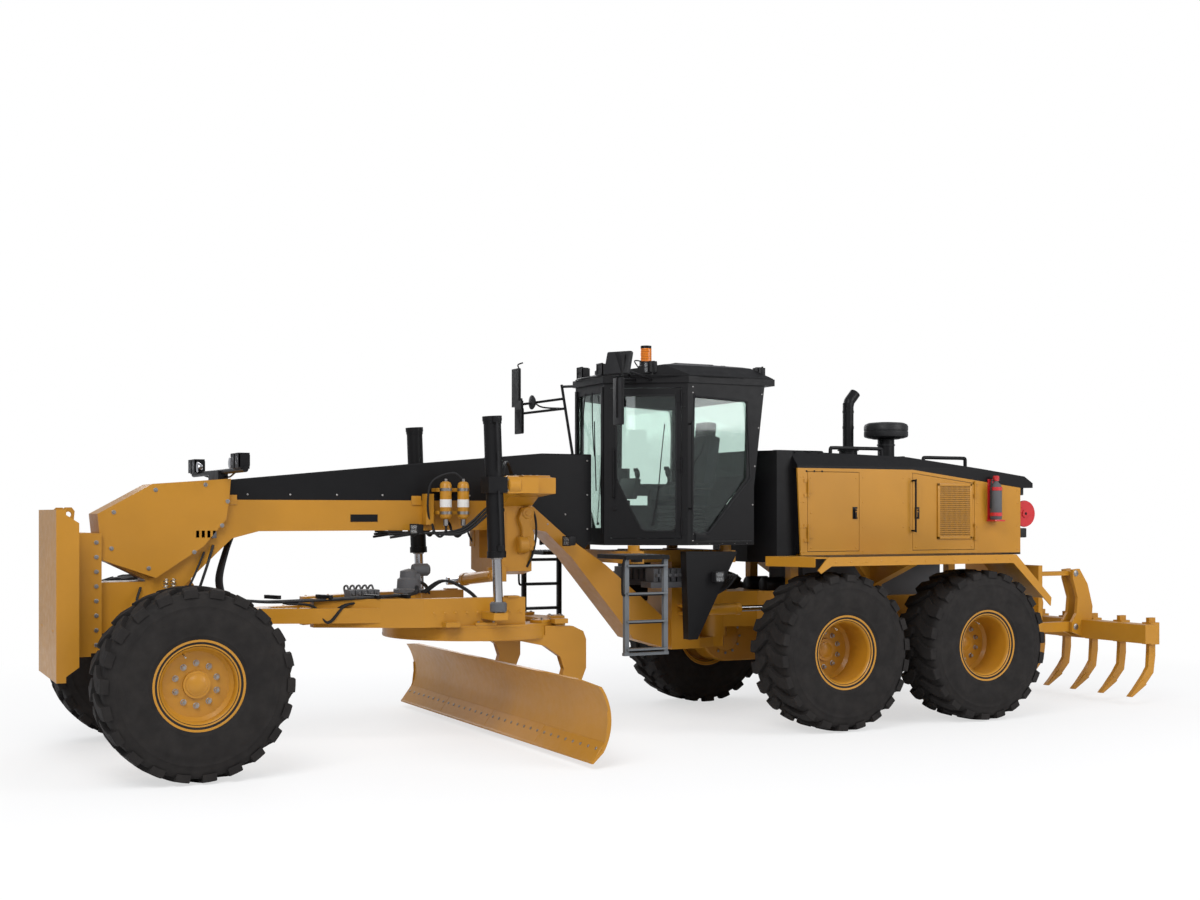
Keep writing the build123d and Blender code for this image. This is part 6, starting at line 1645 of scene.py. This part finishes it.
    def _hitch(self, scatter: Scatter) -> None:
        """Fills the hitch with hoses, valve blocks, pins' caps and tanks."""
        front, rear = Shaper(), Shaper()
        for hand in (1, -1):
            for k in range(6):
                y = hand * (0.30 + 0.045 * k)
                front.tube([(HITCH_X + 0.62, y, 1.60), (HITCH_X + 0.50, y + hand * 0.03, 1.45 + 0.01 * k),
                            (HITCH_X + 0.36, y + hand * 0.02, 1.36), (HITCH_X + 0.14, y, 1.42),
                            (HITCH_X - 0.02, y - hand * 0.02, 1.56)], 0.013, 8)
        front.piece("hitch_hoses", "front_frame", Finish.HOSE)
        block = Shaper()
        for hand in (1, -1):
            for k in range(5):
                block.box((HITCH_X + 0.62 + 0.07 * k, hand * 0.26, 1.50),
                          (HITCH_X + 0.675 + 0.07 * k, hand * 0.44, 1.64), 0.008)
                block.rod((HITCH_X + 0.647 + 0.07 * k, hand * 0.44, 1.57),
                          (HITCH_X + 0.647 + 0.07 * k, hand * 0.50, 1.57), 0.018, 12)
            block.box((HITCH_X + 0.58, hand * 0.24, 1.44), (HITCH_X + 1.0, hand * 0.46, 1.50), 0.01)
        block.piece("valve_blocks", "front_frame", Finish.CASTING)
        for hand in (1, -1):
            rear.lathe([(0, 0), (0, 0.08), (0.01, 0.092), (0.26, 0.092), (0.27, 0.08), (0.275, 0)],
                       (-1.62, hand * 0.16, 1.42), (1, 0, 0), 28)
        rear.piece("brake_tanks", "rear_frame", Finish.BLACK)
        caps = ring((HITCH_X, 0, 1.595), (0, 0, 1), 0.085, 6)
        scatter.spread("hitch_bolts", "front_frame", Finish.STEEL, 0.014, caps)

    def _steps(self, scatter: Scatter) -> None:
        """Dresses the ladders with treads and a rail: the near one's black paint painted lighter grey as a
        painted highlight, the far one plain black.
        """
        tread = scatter._store("tread", Shaper().box((-0.22, -0.055, -0.008), (0.22, 0.055, 0.008), 0.004))
        # The near, lit ladder and its studs get black paint painted grey, a painted highlight; the far ones
        # keep plain black.
        for hand, label, finish in ((1, "left", Finish.BLACK_PAINTED_LIGHTER), (-1, "right", Finish.BLACK)):
            scatter.spread(f"ladder_treads_{label}", "front_frame", finish, 1.0,
                           [((HITCH_X + 1.47, hand * 1.20, 0.895 + i * 0.27), (0, 0, 1)) for i in range(4)],
                           tread)
            side = Shaper()
            for x in (1.235, 1.665):
                side.box((HITCH_X + x - 0.004, hand * 1.20 - 0.024, 0.845),
                         (HITCH_X + x + 0.044, hand * 1.20 + 0.024, 1.775), 0.008)
            side.box((HITCH_X + 1.225, hand * 1.20 - 0.026, 0.835),
                     (HITCH_X + 1.715, hand * 1.20 + 0.026, 0.865), 0.006)
            side.piece(f"ladder_sides_{label}", "front_frame", finish)
            rail = Shaper()
            rail.tube([(HITCH_X + 1.70, hand * 1.22, 1.79), (HITCH_X + 1.73, hand * 1.22, 1.70),
                       (HITCH_X + 1.735, hand * 1.22, 1.45),
                       (HITCH_X + 1.70, hand * 1.21, 1.42)], 0.012, 8)
            rail.piece(f"ladder_rail_{label}", "front_frame", Finish.BLACK)
            studs = scatter._store(f"stud_{label}", Shaper().lathe([(-0.001, 0), (-0.001, 1), (0.5, 0.8),
                                                                    (0.5, 0)], (0, 0, 0), (0, 0, 1), 8))
            places = [((HITCH_X + 1.26 + i * 0.06, hand * (0.68 + j * 0.07), 1.805),
                       (0, 0, 1)) for i in range(8) for j in range(8)]
            scatter.spread(f"deck_studs_{label}", "front_frame", finish, 0.008, places, studs)


@dataclass
class LiftGear:
    """Yoke castings, lift cylinders' lines, and the centre shift cylinder's fittings."""
    half: float = 1.050

    def build(self, scatter: Scatter) -> None:
        """Makes the pieces round the yoke."""
        cast = Shaper()
        for hand in (1, -1):
            y = hand * self.half
            cast.lathe([(0, 0), (0, 0.075), (0.012, 0.088), (0.118, 0.088), (0.13, 0.075), (0.13, 0)],
                       (CIRCLE_X - 0.02, y, 2.476), (1, 0, 0), 28)
            cast.lathe([(0, 0), (0, 0.055), (0.01, 0.062), (0.05, 0.062), (0.06, 0.05), (0.06, 0)],
                       (CIRCLE_X - 0.21, hand * 0.34, 2.50), (0, 0, 1), 24)
            cast.box((CIRCLE_X - 0.455, hand * 0.18, 1.98), (CIRCLE_X - 0.40, hand * 0.415, 2.30), 0.02)
            cast.box((CIRCLE_X - 0.15, hand * 0.30, 1.87), (CIRCLE_X - 0.1235, hand * 0.43, 2.24), 0.006)
            cast.lathe([(0, 0), (0, 0.07), (0.014, 0.085), (0.10, 0.085), (0.114, 0.07), (0.114, 0)],
                       (CIRCLE_X - 0.40, hand * 0.41, 1.90), (1, 0, 0), 28)
            cast.box((CIRCLE_X - 0.44, hand * 0.44, 2.555), (CIRCLE_X - 0.15, hand * 0.86, 2.575), 0.008)
            link = [(-0.455, 2.27), (-0.33, 2.27), (-0.29, 2.16), (-0.33, 2.05), (-0.335, 1.86),
                    (-0.455, 1.84), (-0.465, 2.00),
                    (-0.42, 2.12), (-0.465, 2.20)]
            cast.plate([(CIRCLE_X + x, hand * 0.395, z) for x, z in link], (0, hand * 0.05, 0), 0.010)
            for x, z, radius in ((-0.385, 2.215, 0.062), (-0.395, 1.915, 0.070)):
                cast.lathe([(0, 0), (0, radius), (0.05, radius), (0.062, radius - 0.012),
                            (0.062, radius * 0.45), (0.068, radius * 0.4),
                            (0.068, 0)], (CIRCLE_X + x, hand * 0.395, z), (0, hand, 0), 28)
        cast.piece("yoke_castings", "front_frame", Finish.YELLOW)
        spots = []
        for hand in (1, -1):
            for k in range(4):
                spots.append(((CIRCLE_X - 0.42 + 0.08 * k, hand * (0.60 + 0.02 * (k % 2)), 2.575), (0, 0, 1)))
            for z in (1.91, 2.05, 2.18):
                spots.append(((CIRCLE_X - 0.132, hand * 0.36, z), (1, 0, 0)))
            spots += [((CIRCLE_X + 0.11, hand * self.half + dy, 2.476 + dz), (1, 0, 0)) for dy, dz in
                      ((0.05, 0.05), (-0.05, 0.05), (0.05, -0.05), (-0.05, -0.05))]
        scatter.spread("yoke_bolts", "front_frame", Finish.STEEL, 0.0125, spots)
        lines = Shaper()
        for hand, label in ((1, "left"), (-1, "right")):
            self._cylinder(hand, label, scatter)
            y = hand * self.half
            for k in range(2):
                lines.tube([(CIRCLE_X - 0.18, hand * (0.50 + 0.04 * k), 2.60),
                            (CIRCLE_X - 0.05, hand * (0.70 + 0.03 * k), 2.70),
                            (CIRCLE_X + 0.04, hand * (0.84 + 0.03 * k), 2.66),
                            (CIRCLE_X + 0.09, hand * (0.90 + 0.02 * k), 2.52),
                            (CIRCLE_X + 0.10, hand * (0.90 + 0.02 * k), 2.40)], 0.0105, 8)
            lines.tube([(CIRCLE_X - 0.43, hand * 0.30, 2.34), (CIRCLE_X - 0.50, hand * 0.36, 2.20),
                        (CIRCLE_X - 0.50, hand * 0.40, 2.00), (CIRCLE_X - 0.45, hand * 0.42, 1.80),
                        (CIRCLE_X - 0.40, hand * 0.40, 1.68)], 0.012, 8)
            lines.tube([(CIRCLE_X - 0.10, hand * 0.22, 2.30), (CIRCLE_X - 0.07, hand * 0.30, 2.14),
                        (CIRCLE_X - 0.085, hand * 0.37, 2.02), (CIRCLE_X - 0.128, hand * 0.36, 1.92)], 0.010,
                        8)
        lines.piece("yoke_hoses", "front_frame", Finish.HOSE)
        self._shift()

    def _cylinder(self, hand: int, label: str, scatter: Scatter) -> None:
        """Adds bands, ports and a hard line to a lift cylinder, and its rod's socket cap."""
        y = hand * self.half
        lean = 0.06316 / 1.77
        body = f"lift_barrel_{label}"
        bands, pipe = Shaper(), Shaper()
        for z in (1.83, 2.24, 2.72, 3.06):
            x = 2.230 - (3.116 - z) * lean * 1.03
            bands.lathe([(-0.014, 0.082), (-0.014, 0.0875), (0.014, 0.0875), (0.014, 0.082)], (x, y, z),
                        (lean, 0, 1), 32)
        top_x = 2.230
        bands.box((top_x - 0.035, y + hand * 0.06, 3.055), (top_x + 0.035, y + hand * 0.12, 3.105), 0.008)
        bands.box((2.155, y + hand * 0.06, 1.86), (2.215, y + hand * 0.115, 1.91), 0.008)
        bands.piece(f"lift_bands_{label}", body, Finish.BLACK)
        pipe.tube([(2.23, y + hand * 0.112, 3.06), (2.228, y + hand * 0.118, 2.96),
                   (2.214, y + hand * 0.106, 2.80), (2.208, y + hand * 0.105, 2.60)], 0.009, 8)
        pipe.tube([(2.185, y + hand * 0.105, 1.90), (2.19, y + hand * 0.110, 2.05),
                   (2.20, y + hand * 0.105, 2.30), (2.206, y + hand * 0.105, 2.42)], 0.009, 8)
        pipe.piece(f"lift_pipes_{label}", body, Finish.HOSE)
        wiper = Shaper()
        wiper.lathe([(0, 0.047), (0, 0.060), (-0.012, 0.058), (-0.014, 0.047)], (2.183, y, 1.796),
                    (lean, 0, 1), 32)
        wiper.piece(f"lift_wiper_{label}", body, Finish.STEEL)
        foot = Shaper()
        x, z = CIRCLE_X + 0.186, 1.346
        foot.lathe([(-0.058, 0.062), (-0.050, 0.078), (0.02, 0.080), (0.036, 0.066), (0.036, 0.05)],
                   (x, y, z), (0, 0, 1), 32)
        foot.piece(f"lift_socket_{label}", "drawbar", Finish.CASTING)
        scatter.spread(f"lift_socket_bolts_{label}", "drawbar", Finish.STEEL, 0.011,
                       [((x + 0.062 * math.cos(a), y + 0.062 * math.sin(a), 1.289),
                         (0, 0, 1)) for a in (0.8, 2.35, 3.9, 5.5)])

    def _shift(self) -> None:
        """Adds the gland and ports of the centre shift cylinder."""
        start = Vector((CIRCLE_X - 0.060, 0.370, 1.600))
        aim = Vector((0, -0.996368, -0.08516))
        gland = Shaper()
        gland.lathe([(0, 0.034), (0, 0.064), (0.05, 0.067), (0.07, 0.067), (0.07, 0.034)],
                    start + aim * 0.715, aim, 28)
        gland.box(start + aim * 0.12 + Vector((-0.02, -0.03, 0.04)),
                  start + aim * 0.12 + Vector((0.02, 0.03, 0.085)), 0.006)
        gland.piece("shift_gland", "shift_barrel", Finish.YELLOW)


@dataclass
class Drawbar:
    """Hose bundle, turning motor, swivel, shoes and fasteners of drawbar, circle and blade."""
    edge_bolts: int = 32

    def build(self, scatter: Scatter) -> None:
        """Makes the pieces of the working gear."""
        self._bar(scatter)
        self._circle(scatter)
        self._blade(scatter)

    def _bar(self, scatter: Scatter) -> None:
        """Dresses the A-shaped bar."""
        hoses = Shaper()
        for k in range(6):
            off = 0.028 * k
            hoses.tube([(4.30, 0.05 + off * 0.6, 1.40), (4.05, 0.06 + off, 1.385), (3.62, 0.18 + off, 1.40),
                        (3.20, 0.40 + off * 0.8, 1.425), (2.90, 0.42 + off * 0.6, 1.43 + 0.008 * (k % 2)),
                        (2.72, 0.30 + off * 0.5, 1.45), (2.66, 0.18 + off * 0.3, 1.50)], 0.0125, 8)
            hoses.tube([(3.30, 0.32 + off * 0.7, 1.385 - 0.002 * k), (3.46, 0.36 + off * 0.55, 1.345),
                        (3.60, 0.33 + off * 0.4, 1.24 - 0.01 * k), (3.72, 0.26 + off * 0.3, 1.345),
                        (3.95, 0.10 + off, 1.37)], 0.0115, 8)
        for k in range(3):
            hoses.tube([(2.56, -0.10 - 0.05 * k, 1.42), (2.48, -0.30 - 0.05 * k, 1.52),
                        (2.30, -0.52 - 0.03 * k, 1.48), (2.18, -0.72, 1.36)], 0.012, 8)
            hoses.tube([(2.58, 0.12 + 0.05 * k, 1.44), (2.44, 0.32 + 0.04 * k, 1.56),
                        (2.26, 0.52 + 0.03 * k, 1.46), (2.14, 0.65, 1.30), (2.09, 0.73, 1.21)], 0.012, 8)
        hoses.piece("bar_hoses", "drawbar", Finish.HOSE)
        clamps = Shaper()
        for x, y in ((4.05, 0.11), (3.60, 0.26), (3.20, 0.46), (2.92, 0.50)):
            clamps.box((x - 0.02, y - 0.11, 1.412), (x + 0.02, y + 0.11, 1.448), 0.004,
                       Matrix.Rotation(math.radians(20), 3, "Z"))
        clamps.piece("hose_clamps", "drawbar", Finish.BLACK)
        motor = Shaper()
        mx = CIRCLE_X + 0.69
        motor.lathe([(0, 0.128), (0.0, 0.150), (0.03, 0.150), (0.045, 0.118), (0.13, 0.112), (0.15, 0.088),
                     (0.21, 0.085), (0.22, 0.06), (0.235, 0)], (mx, 0, 1.435), (0, 0, 1), 36)
        motor.box((mx - 0.10, -0.07, 1.53), (mx + 0.06, 0.07, 1.62), 0.02)
        motor.lathe([(0, 0), (0, 0.055), (0.02, 0.062), (0.15, 0.062), (0.17, 0.045), (0.17, 0)],
                    (mx - 0.04, 0.0, 1.655), (-1, 0, 0), 24)
        motor.piece("turning_motor", "drawbar", Finish.CASTING)
        scatter.spread("motor_bolts", "drawbar", Finish.STEEL, 0.013,
                       ring((mx, 0, 1.462), (0, 0, 1), 0.138, 12))
        valve = Shaper()
        for k in range(5):
            valve.box((3.00 + 0.062 * k, -0.085, 1.40), (3.052 + 0.062 * k, 0.10, 1.475), 0.008)
            valve.rod((3.026 + 0.062 * k, 0.10, 1.44), (3.026 + 0.062 * k, 0.145, 1.44), 0.014, 12)
            valve.tube([(3.026 + 0.062 * k, -0.02, 1.47), (3.03 + 0.062 * k, -0.06, 1.51),
                        (3.04 + 0.062 * k, -0.12, 1.49), (3.04 + 0.05 * k, -0.22, 1.40)], 0.010, 8)
        valve.box((2.98, -0.10, 1.27), (3.34, 0.11, 1.402), 0.008)
        valve.piece("bar_valves", "drawbar", Finish.CASTING)
        spots = []
        for hand in (1, -1):
            for k in range(9):
                spots.append(((1.86 + k * 0.105, hand * (0.868 - k * 0.012), 1.275), (0.13, hand, 0)))
            for x, y in ((3.35, 0.45), (3.60, 0.36), (3.85, 0.26)):
                spots.append(((x, hand * y, 1.41 if x < 3.7 else 1.326), (0, 0, 1)))
        scatter.spread("bar_bolts", "drawbar", Finish.YELLOW, 0.012, spots, scatter.cap)

    def _circle(self, scatter: Scatter) -> None:
        """Adds the shoes over the ring, its hold-down bolts, the ring's lips and the tip pins' caps."""
        shoes = Shaper()
        for angle in (28, 75, 120, 165, 210, 255, 300, 345):
            spin = Matrix.Rotation(math.radians(angle), 3, "Z")
            middle = Vector((CIRCLE_X, 0, 1.166)) + spin @ Vector((0.83, 0, 0))
            shoes.box(middle - Vector((0.075, 0.10, 0.014)), middle + Vector((0.075, 0.10, 0.014)), 0.005,
                      spin)
        shoes.piece("circle_shoes", "drawbar", Finish.YELLOW)
        spots = []
        for angle in (28, 75, 120, 165, 210, 255, 300, 345):
            spin = Matrix.Rotation(math.radians(angle), 3, "Z")
            for u, v in ((0.05, 0.07), (0.05, -0.07), (-0.05, 0.07), (-0.05, -0.07)):
                spots.append((Vector((CIRCLE_X, 0, 1.18)) + spin @ Vector((0.83 + u, v, 0)), (0, 0, 1)))
        scatter.spread("shoe_bolts", "drawbar", Finish.STEEL, 0.013, spots)
        lip = Shaper()
        lip.lathe([(0, 0.9115), (0, 0.9135), (0.018, 0.9135), (0.018, 0.9115)], (CIRCLE_X, 0, 1.012),
                  (0, 0, 1), 96)
        lip.lathe([(0, 0.9115), (0, 0.9135), (0.018, 0.9135), (0.018, 0.9115)], (CIRCLE_X, 0, 1.095),
                  (0, 0, 1), 96)
        lip.piece("circle_lips", "circle", Finish.YELLOW)
        tip = Shaper()
        for hand in (1, -1):
            tip.lathe([(0, 0), (0, 0.05), (0.008, 0.058), (0.016, 0.052), (0.018, 0)],
                      (CIRCLE_X - 0.41, hand * 0.838, 0.300), (0, hand, 0), 24)
            tip.lathe([(0, 0), (0, 0.085), (0.006, 0.092), (0.010, 0)],
                      (CIRCLE_X - 0.41, hand * 0.831, 0.300), (0, hand, 0), 28)
        tip.piece("tip_caps", "circle", Finish.STEEL)

    def _blade(self, scatter: Scatter) -> None:
        """Bolts ground edges and end bits to the mouldboard, and adds its shift cylinder."""
        length = 4.88
        edge = Shaper()
        count = 4
        low, high = Vector((CIRCLE_X - 0.1055, 0, 0.052)), Vector((CIRCLE_X - 0.178, 0, 0.150))
        up = (high - low)
        out = Vector((up.z, 0, -up.x)).normalized()
        reach = 1.72
        for k in range(count):
            y0 = -length / 2 + 0.003 + k * length / count
            y1 = y0 + length / count - 0.006
            base = low - up * 0.06
            top = low + up * reach
            edge.plate([base + Vector((0, y0, 0)) + out * 0.001, base + Vector((0, y1, 0)) + out * 0.001,
                        top + Vector((0, y1, 0)) + out * 0.001, top + Vector((0, y0, 0)) + out * 0.001],
                        out * 0.016, 0.003)
        edge.piece("cutting_edges", "moldboard", Finish.YELLOW)
        spots = []
        for k in range(self.edge_bolts):
            y = -length / 2 + 0.08 + k * (length - 0.16) / (self.edge_bolts - 1)
            spots.append((low + up * 1.12 + out * 0.017 + Vector((0, y, 0)), out))
        scatter.spread("edge_bolts", "moldboard", Finish.STEEL, 0.0155, spots, scatter.cap)
        bits = Shaper()
        for hand in (1, -1):
            y0 = hand * (length / 2)
            outline = [(CIRCLE_X - 0.132, 0.11), (CIRCLE_X - 0.10, 0.062), (CIRCLE_X - 0.190, 0.165),
                       (CIRCLE_X - 0.228, 0.26), (CIRCLE_X - 0.245, 0.40), (CIRCLE_X - 0.240, 0.50),
                       (CIRCLE_X - 0.262, 0.50), (CIRCLE_X - 0.272, 0.40), (CIRCLE_X - 0.262, 0.27),
                       (CIRCLE_X - 0.216, 0.16)]
            order = [outline[i] for i in (1, 2, 3, 4, 5, 6, 7, 8, 9)]
            bits.plate([(x, y0 - hand * 0.014, z) for x, z in order], (0, hand * 0.013, 0), 0.0)
        bits.piece("end_bits", "moldboard", Finish.YELLOW)
        back = Shaper()
        back.rod((CIRCLE_X - 0.335, -0.60, 0.44), (CIRCLE_X - 0.335, 0.95, 0.44), 0.042, 24)
        for y in (-0.60, 0.93):
            back.rod((CIRCLE_X - 0.335, y - 0.02, 0.44), (CIRCLE_X - 0.335, y + 0.02, 0.44), 0.052, 24)
        back.box((CIRCLE_X - 0.36, 0.98, 0.38), (CIRCLE_X - 0.27, 1.02, 0.50), 0.006)
        back.piece("side_shift_barrel", "moldboard", Finish.YELLOW)
        ribs = Shaper()
        for k in range(9):
            y = -2.2 + k * 0.55
            ribs.plate([(CIRCLE_X - 0.262, y, 0.59), (CIRCLE_X - 0.30, y, 0.56), (CIRCLE_X - 0.30, y, 0.30),
                        (CIRCLE_X - 0.262, y, 0.25)], (0, 0.012, 0), 0.002)
        ribs.piece("blade_ribs", "moldboard", Finish.YELLOW)


@dataclass
class FrontAxle:
    """Steering lines, pin caps and fasteners of axle, knuckles and tie rod."""

    def build(self, scatter: Scatter) -> None:
        """Makes the axle's small parts."""
        caps, hoses = Shaper(), Shaper()
        for hand in (1, -1):
            hoses.tube([(5.10, hand * 0.20, 1.09), (5.16, hand * 0.32, 1.13), (5.14, hand * 0.48, 1.05),
                        (5.09, hand * 0.58, 0.97)], 0.012, 8)
            hoses.tube([(4.99, hand * 0.20, 1.09), (4.95, hand * 0.30, 1.11), (4.95, hand * 0.46, 1.02),
                        (4.98, hand * 0.56, 0.96)], 0.012, 8)
            caps.lathe([(0, 0), (0, 0.05), (0.01, 0.055), (0.016, 0.04), (0.018, 0)],
                       (5.192, hand * 0.75, 0.78), (1, 0, 0), 24)
        caps.lathe([(0, 0), (0, 0.07), (0.012, 0.078), (0.02, 0.06), (0.022, 0)], (5.225, 0, 1.0), (1, 0, 0),
                   28)
        caps.piece("axle_caps", "axle_beam", Finish.STEEL)
        hoses.piece("axle_hoses", "axle_beam", Finish.HOSE)
        scatter.spread("axle_bolts", "axle_beam", Finish.STEEL, 0.013,
                       [((AXLE_X + sx * 0.05, hand * y, 1.105),
                         (0, 0, 1)) for hand in (1, -1) for y in (0.26, 0.34) for sx in (1, -1)])


@dataclass
class Rear:
    """Fender trims, tandem covers, ripper points, pins and rear hoses."""

    def build(self, scatter: Scatter) -> None:
        """Makes the pieces behind the cab and below the bonnet."""
        for hand, label in ((1, "left"), (-1, "right")):
            self._fender(scatter, hand, label)
        self._ripper(scatter)

    def _fender(self, scatter: Scatter, hand: int, label: str) -> None:
        """Dresses one fender and its tandem case."""
        body = f"tandem_{label}"
        deck = Shaper()
        for x0, x1 in ((-1.25, -0.43), (-0.39, 0.43), (0.47, 1.12)):
            deck.box((TANDEM_X + x0, hand * 1.06, 1.770), (TANDEM_X + x1, hand * 1.60, 1.7745), 0.002)
        deck.piece(f"deck_strip_{label}", body, Finish.BLACK)
        spots = []
        for k in range(13):
            spots.append(((TANDEM_X - 1.20 + k * 0.19, hand * 1.660, 1.722), (0, hand, 0)))
        for x in (0.07, -0.07):
            for z in (1.50, 1.60, 1.69):
                spots.append(((TANDEM_X + x * 0.8, hand * 0.876, z), (0, hand, 0)))
        scatter.spread(f"fender_bolts_{label}", body, Finish.YELLOW, 0.0115, spots, scatter.cap)
        case = Shaper()
        for dx in (-0.9205, 0.9205):
            case.lathe([(0, 0), (0, 0.15), (0.008, 0.16), (0.014, 0.15), (0.016, 0)],
                       (TANDEM_X + dx, hand * 0.688, WHEEL_Z), (0, -hand, 0), 36)
        case.box((TANDEM_X - 0.22, hand * 0.986, 0.90), (TANDEM_X + 0.22, hand * 0.998, 1.06), 0.006)
        case.piece(f"case_covers_{label}", body, Finish.YELLOW)
        bolts = ring((TANDEM_X - 0.9205, hand * 0.686, WHEEL_Z), (0, -hand, 0), 0.19, 12)
        bolts += ring((TANDEM_X + 0.9205, hand * 0.686, WHEEL_Z), (0, -hand, 0), 0.19, 12)
        bolts += [((TANDEM_X - 0.19 + 0.095 * k, hand * 0.998, z),
                   (0, hand, 0)) for k in range(5) for z in (0.92, 1.04)]
        scatter.spread(f"case_bolts_{label}", body, Finish.STEEL, 0.012, bolts)

    def _ripper(self, scatter: Scatter) -> None:
        """Adds hardened points, pins with keepers and the cylinders' hoses."""
        beam = -5.595
        tips, pins = Shaper(), Shaper()
        for i in range(7):
            y = (i - 3) * 0.445
            tips.plate([(beam - 0.030, y - 0.033, 0.094), (beam + 0.012, y - 0.033, 0.098),
                        (beam - 0.150, y - 0.033, 0.247),
                        (beam - 0.205, y - 0.033, 0.285), (beam - 0.255, y - 0.033, 0.228)], (0, 0.066, 0),
                        0.004)
            pins.rod((beam - 0.350, y - 0.075, 0.80), (beam - 0.350, y + 0.075, 0.80), 0.020, 14)
        tips.piece("ripper_points", "ripper_beam", Finish.YELLOW)
        for hand in (1, -1):
            for z in (0.850, 1.490):
                pins.lathe([(0, 0), (0, 0.034), (0.008, 0.038), (0.014, 0.030), (0.014, 0)],
                           (beam, hand * 0.504, z), (0, hand, 0), 20)
        pins.piece("ripper_pins", "ripper_beam", Finish.STEEL)
        hoses = Shaper()
        for hand in (1, -1):
            hoses.tube([(-4.945, hand * 0.12, 1.50), (-5.03, hand * 0.10, 1.56), (-5.08, hand * 0.11, 1.50),
                        (-5.09, hand * 0.14, 1.42)], 0.011, 8)
        hoses.piece("ripper_hoses", "rear_frame", Finish.HOSE)
        scatter.spread("bumper_bolts", "rear_frame", Finish.STEEL, 0.018,
                       [((-4.9405, y, z), (-1, 0, 0)) for y in (-0.58, -0.28, 0.28, 0.58)
                        for z in (0.98, 1.14, 1.30)])


# dressing of the CAD nodes

CAD_FINISH = {
    "hood_top": Finish.BLACK, "frame_cover": Finish.BLACK, "cab_shell": Finish.BLACK, "stacks": Finish.BLACK,
    "cab_fittings": Finish.BLACK, "cab_glass": Finish.GLASS, "cab_interior": Finish.TRIM,
    "engine_block": Finish.CASTING,
    "lift_barrel_left": Finish.BLACK, "lift_barrel_right": Finish.BLACK, "ripper_barrels": Finish.BLACK,
    "lift_rod_left": Finish.CHROME, "lift_rod_right": Finish.CHROME, "shift_rod": Finish.CHROME,
    "artic_rod_left": Finish.CHROME, "artic_rod_right": Finish.CHROME, "ripper_rods": Finish.CHROME,
    "tie_rod": Finish.YELLOW, "drawbar_ball": Finish.STEEL}


def dress_nodes(nodes: dict[str, bpy.types.Object]) -> None:
    """Gives every carried-over CAD node its finish."""
    for name, node in nodes.items():
        finish = CAD_FINISH.get(name, Finish.TYRE if name.startswith("tyre") else Finish.YELLOW)
        node.data.materials.clear()
        node.data.materials.append(finish.material())


def main() -> None:
    """Builds the stage and every sub-assembly in order, logging each piece's face count."""
    logging.basicConfig(level=logging.INFO, format="%(name)s: %(message)s")
    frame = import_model()
    Studio().build()
    dress_nodes(frame["nodes"])
    scatter = Scatter()
    RunningGear().build(scatter)
    Bonnet().build(scatter)
    Cab().build(scatter)
    MainFrame().build(scatter)
    LiftGear().build(scatter)
    Drawbar().build(scatter)
    FrontAxle().build(scatter)
    Rear().build(scatter)


if __name__ == "__main__":
    main()
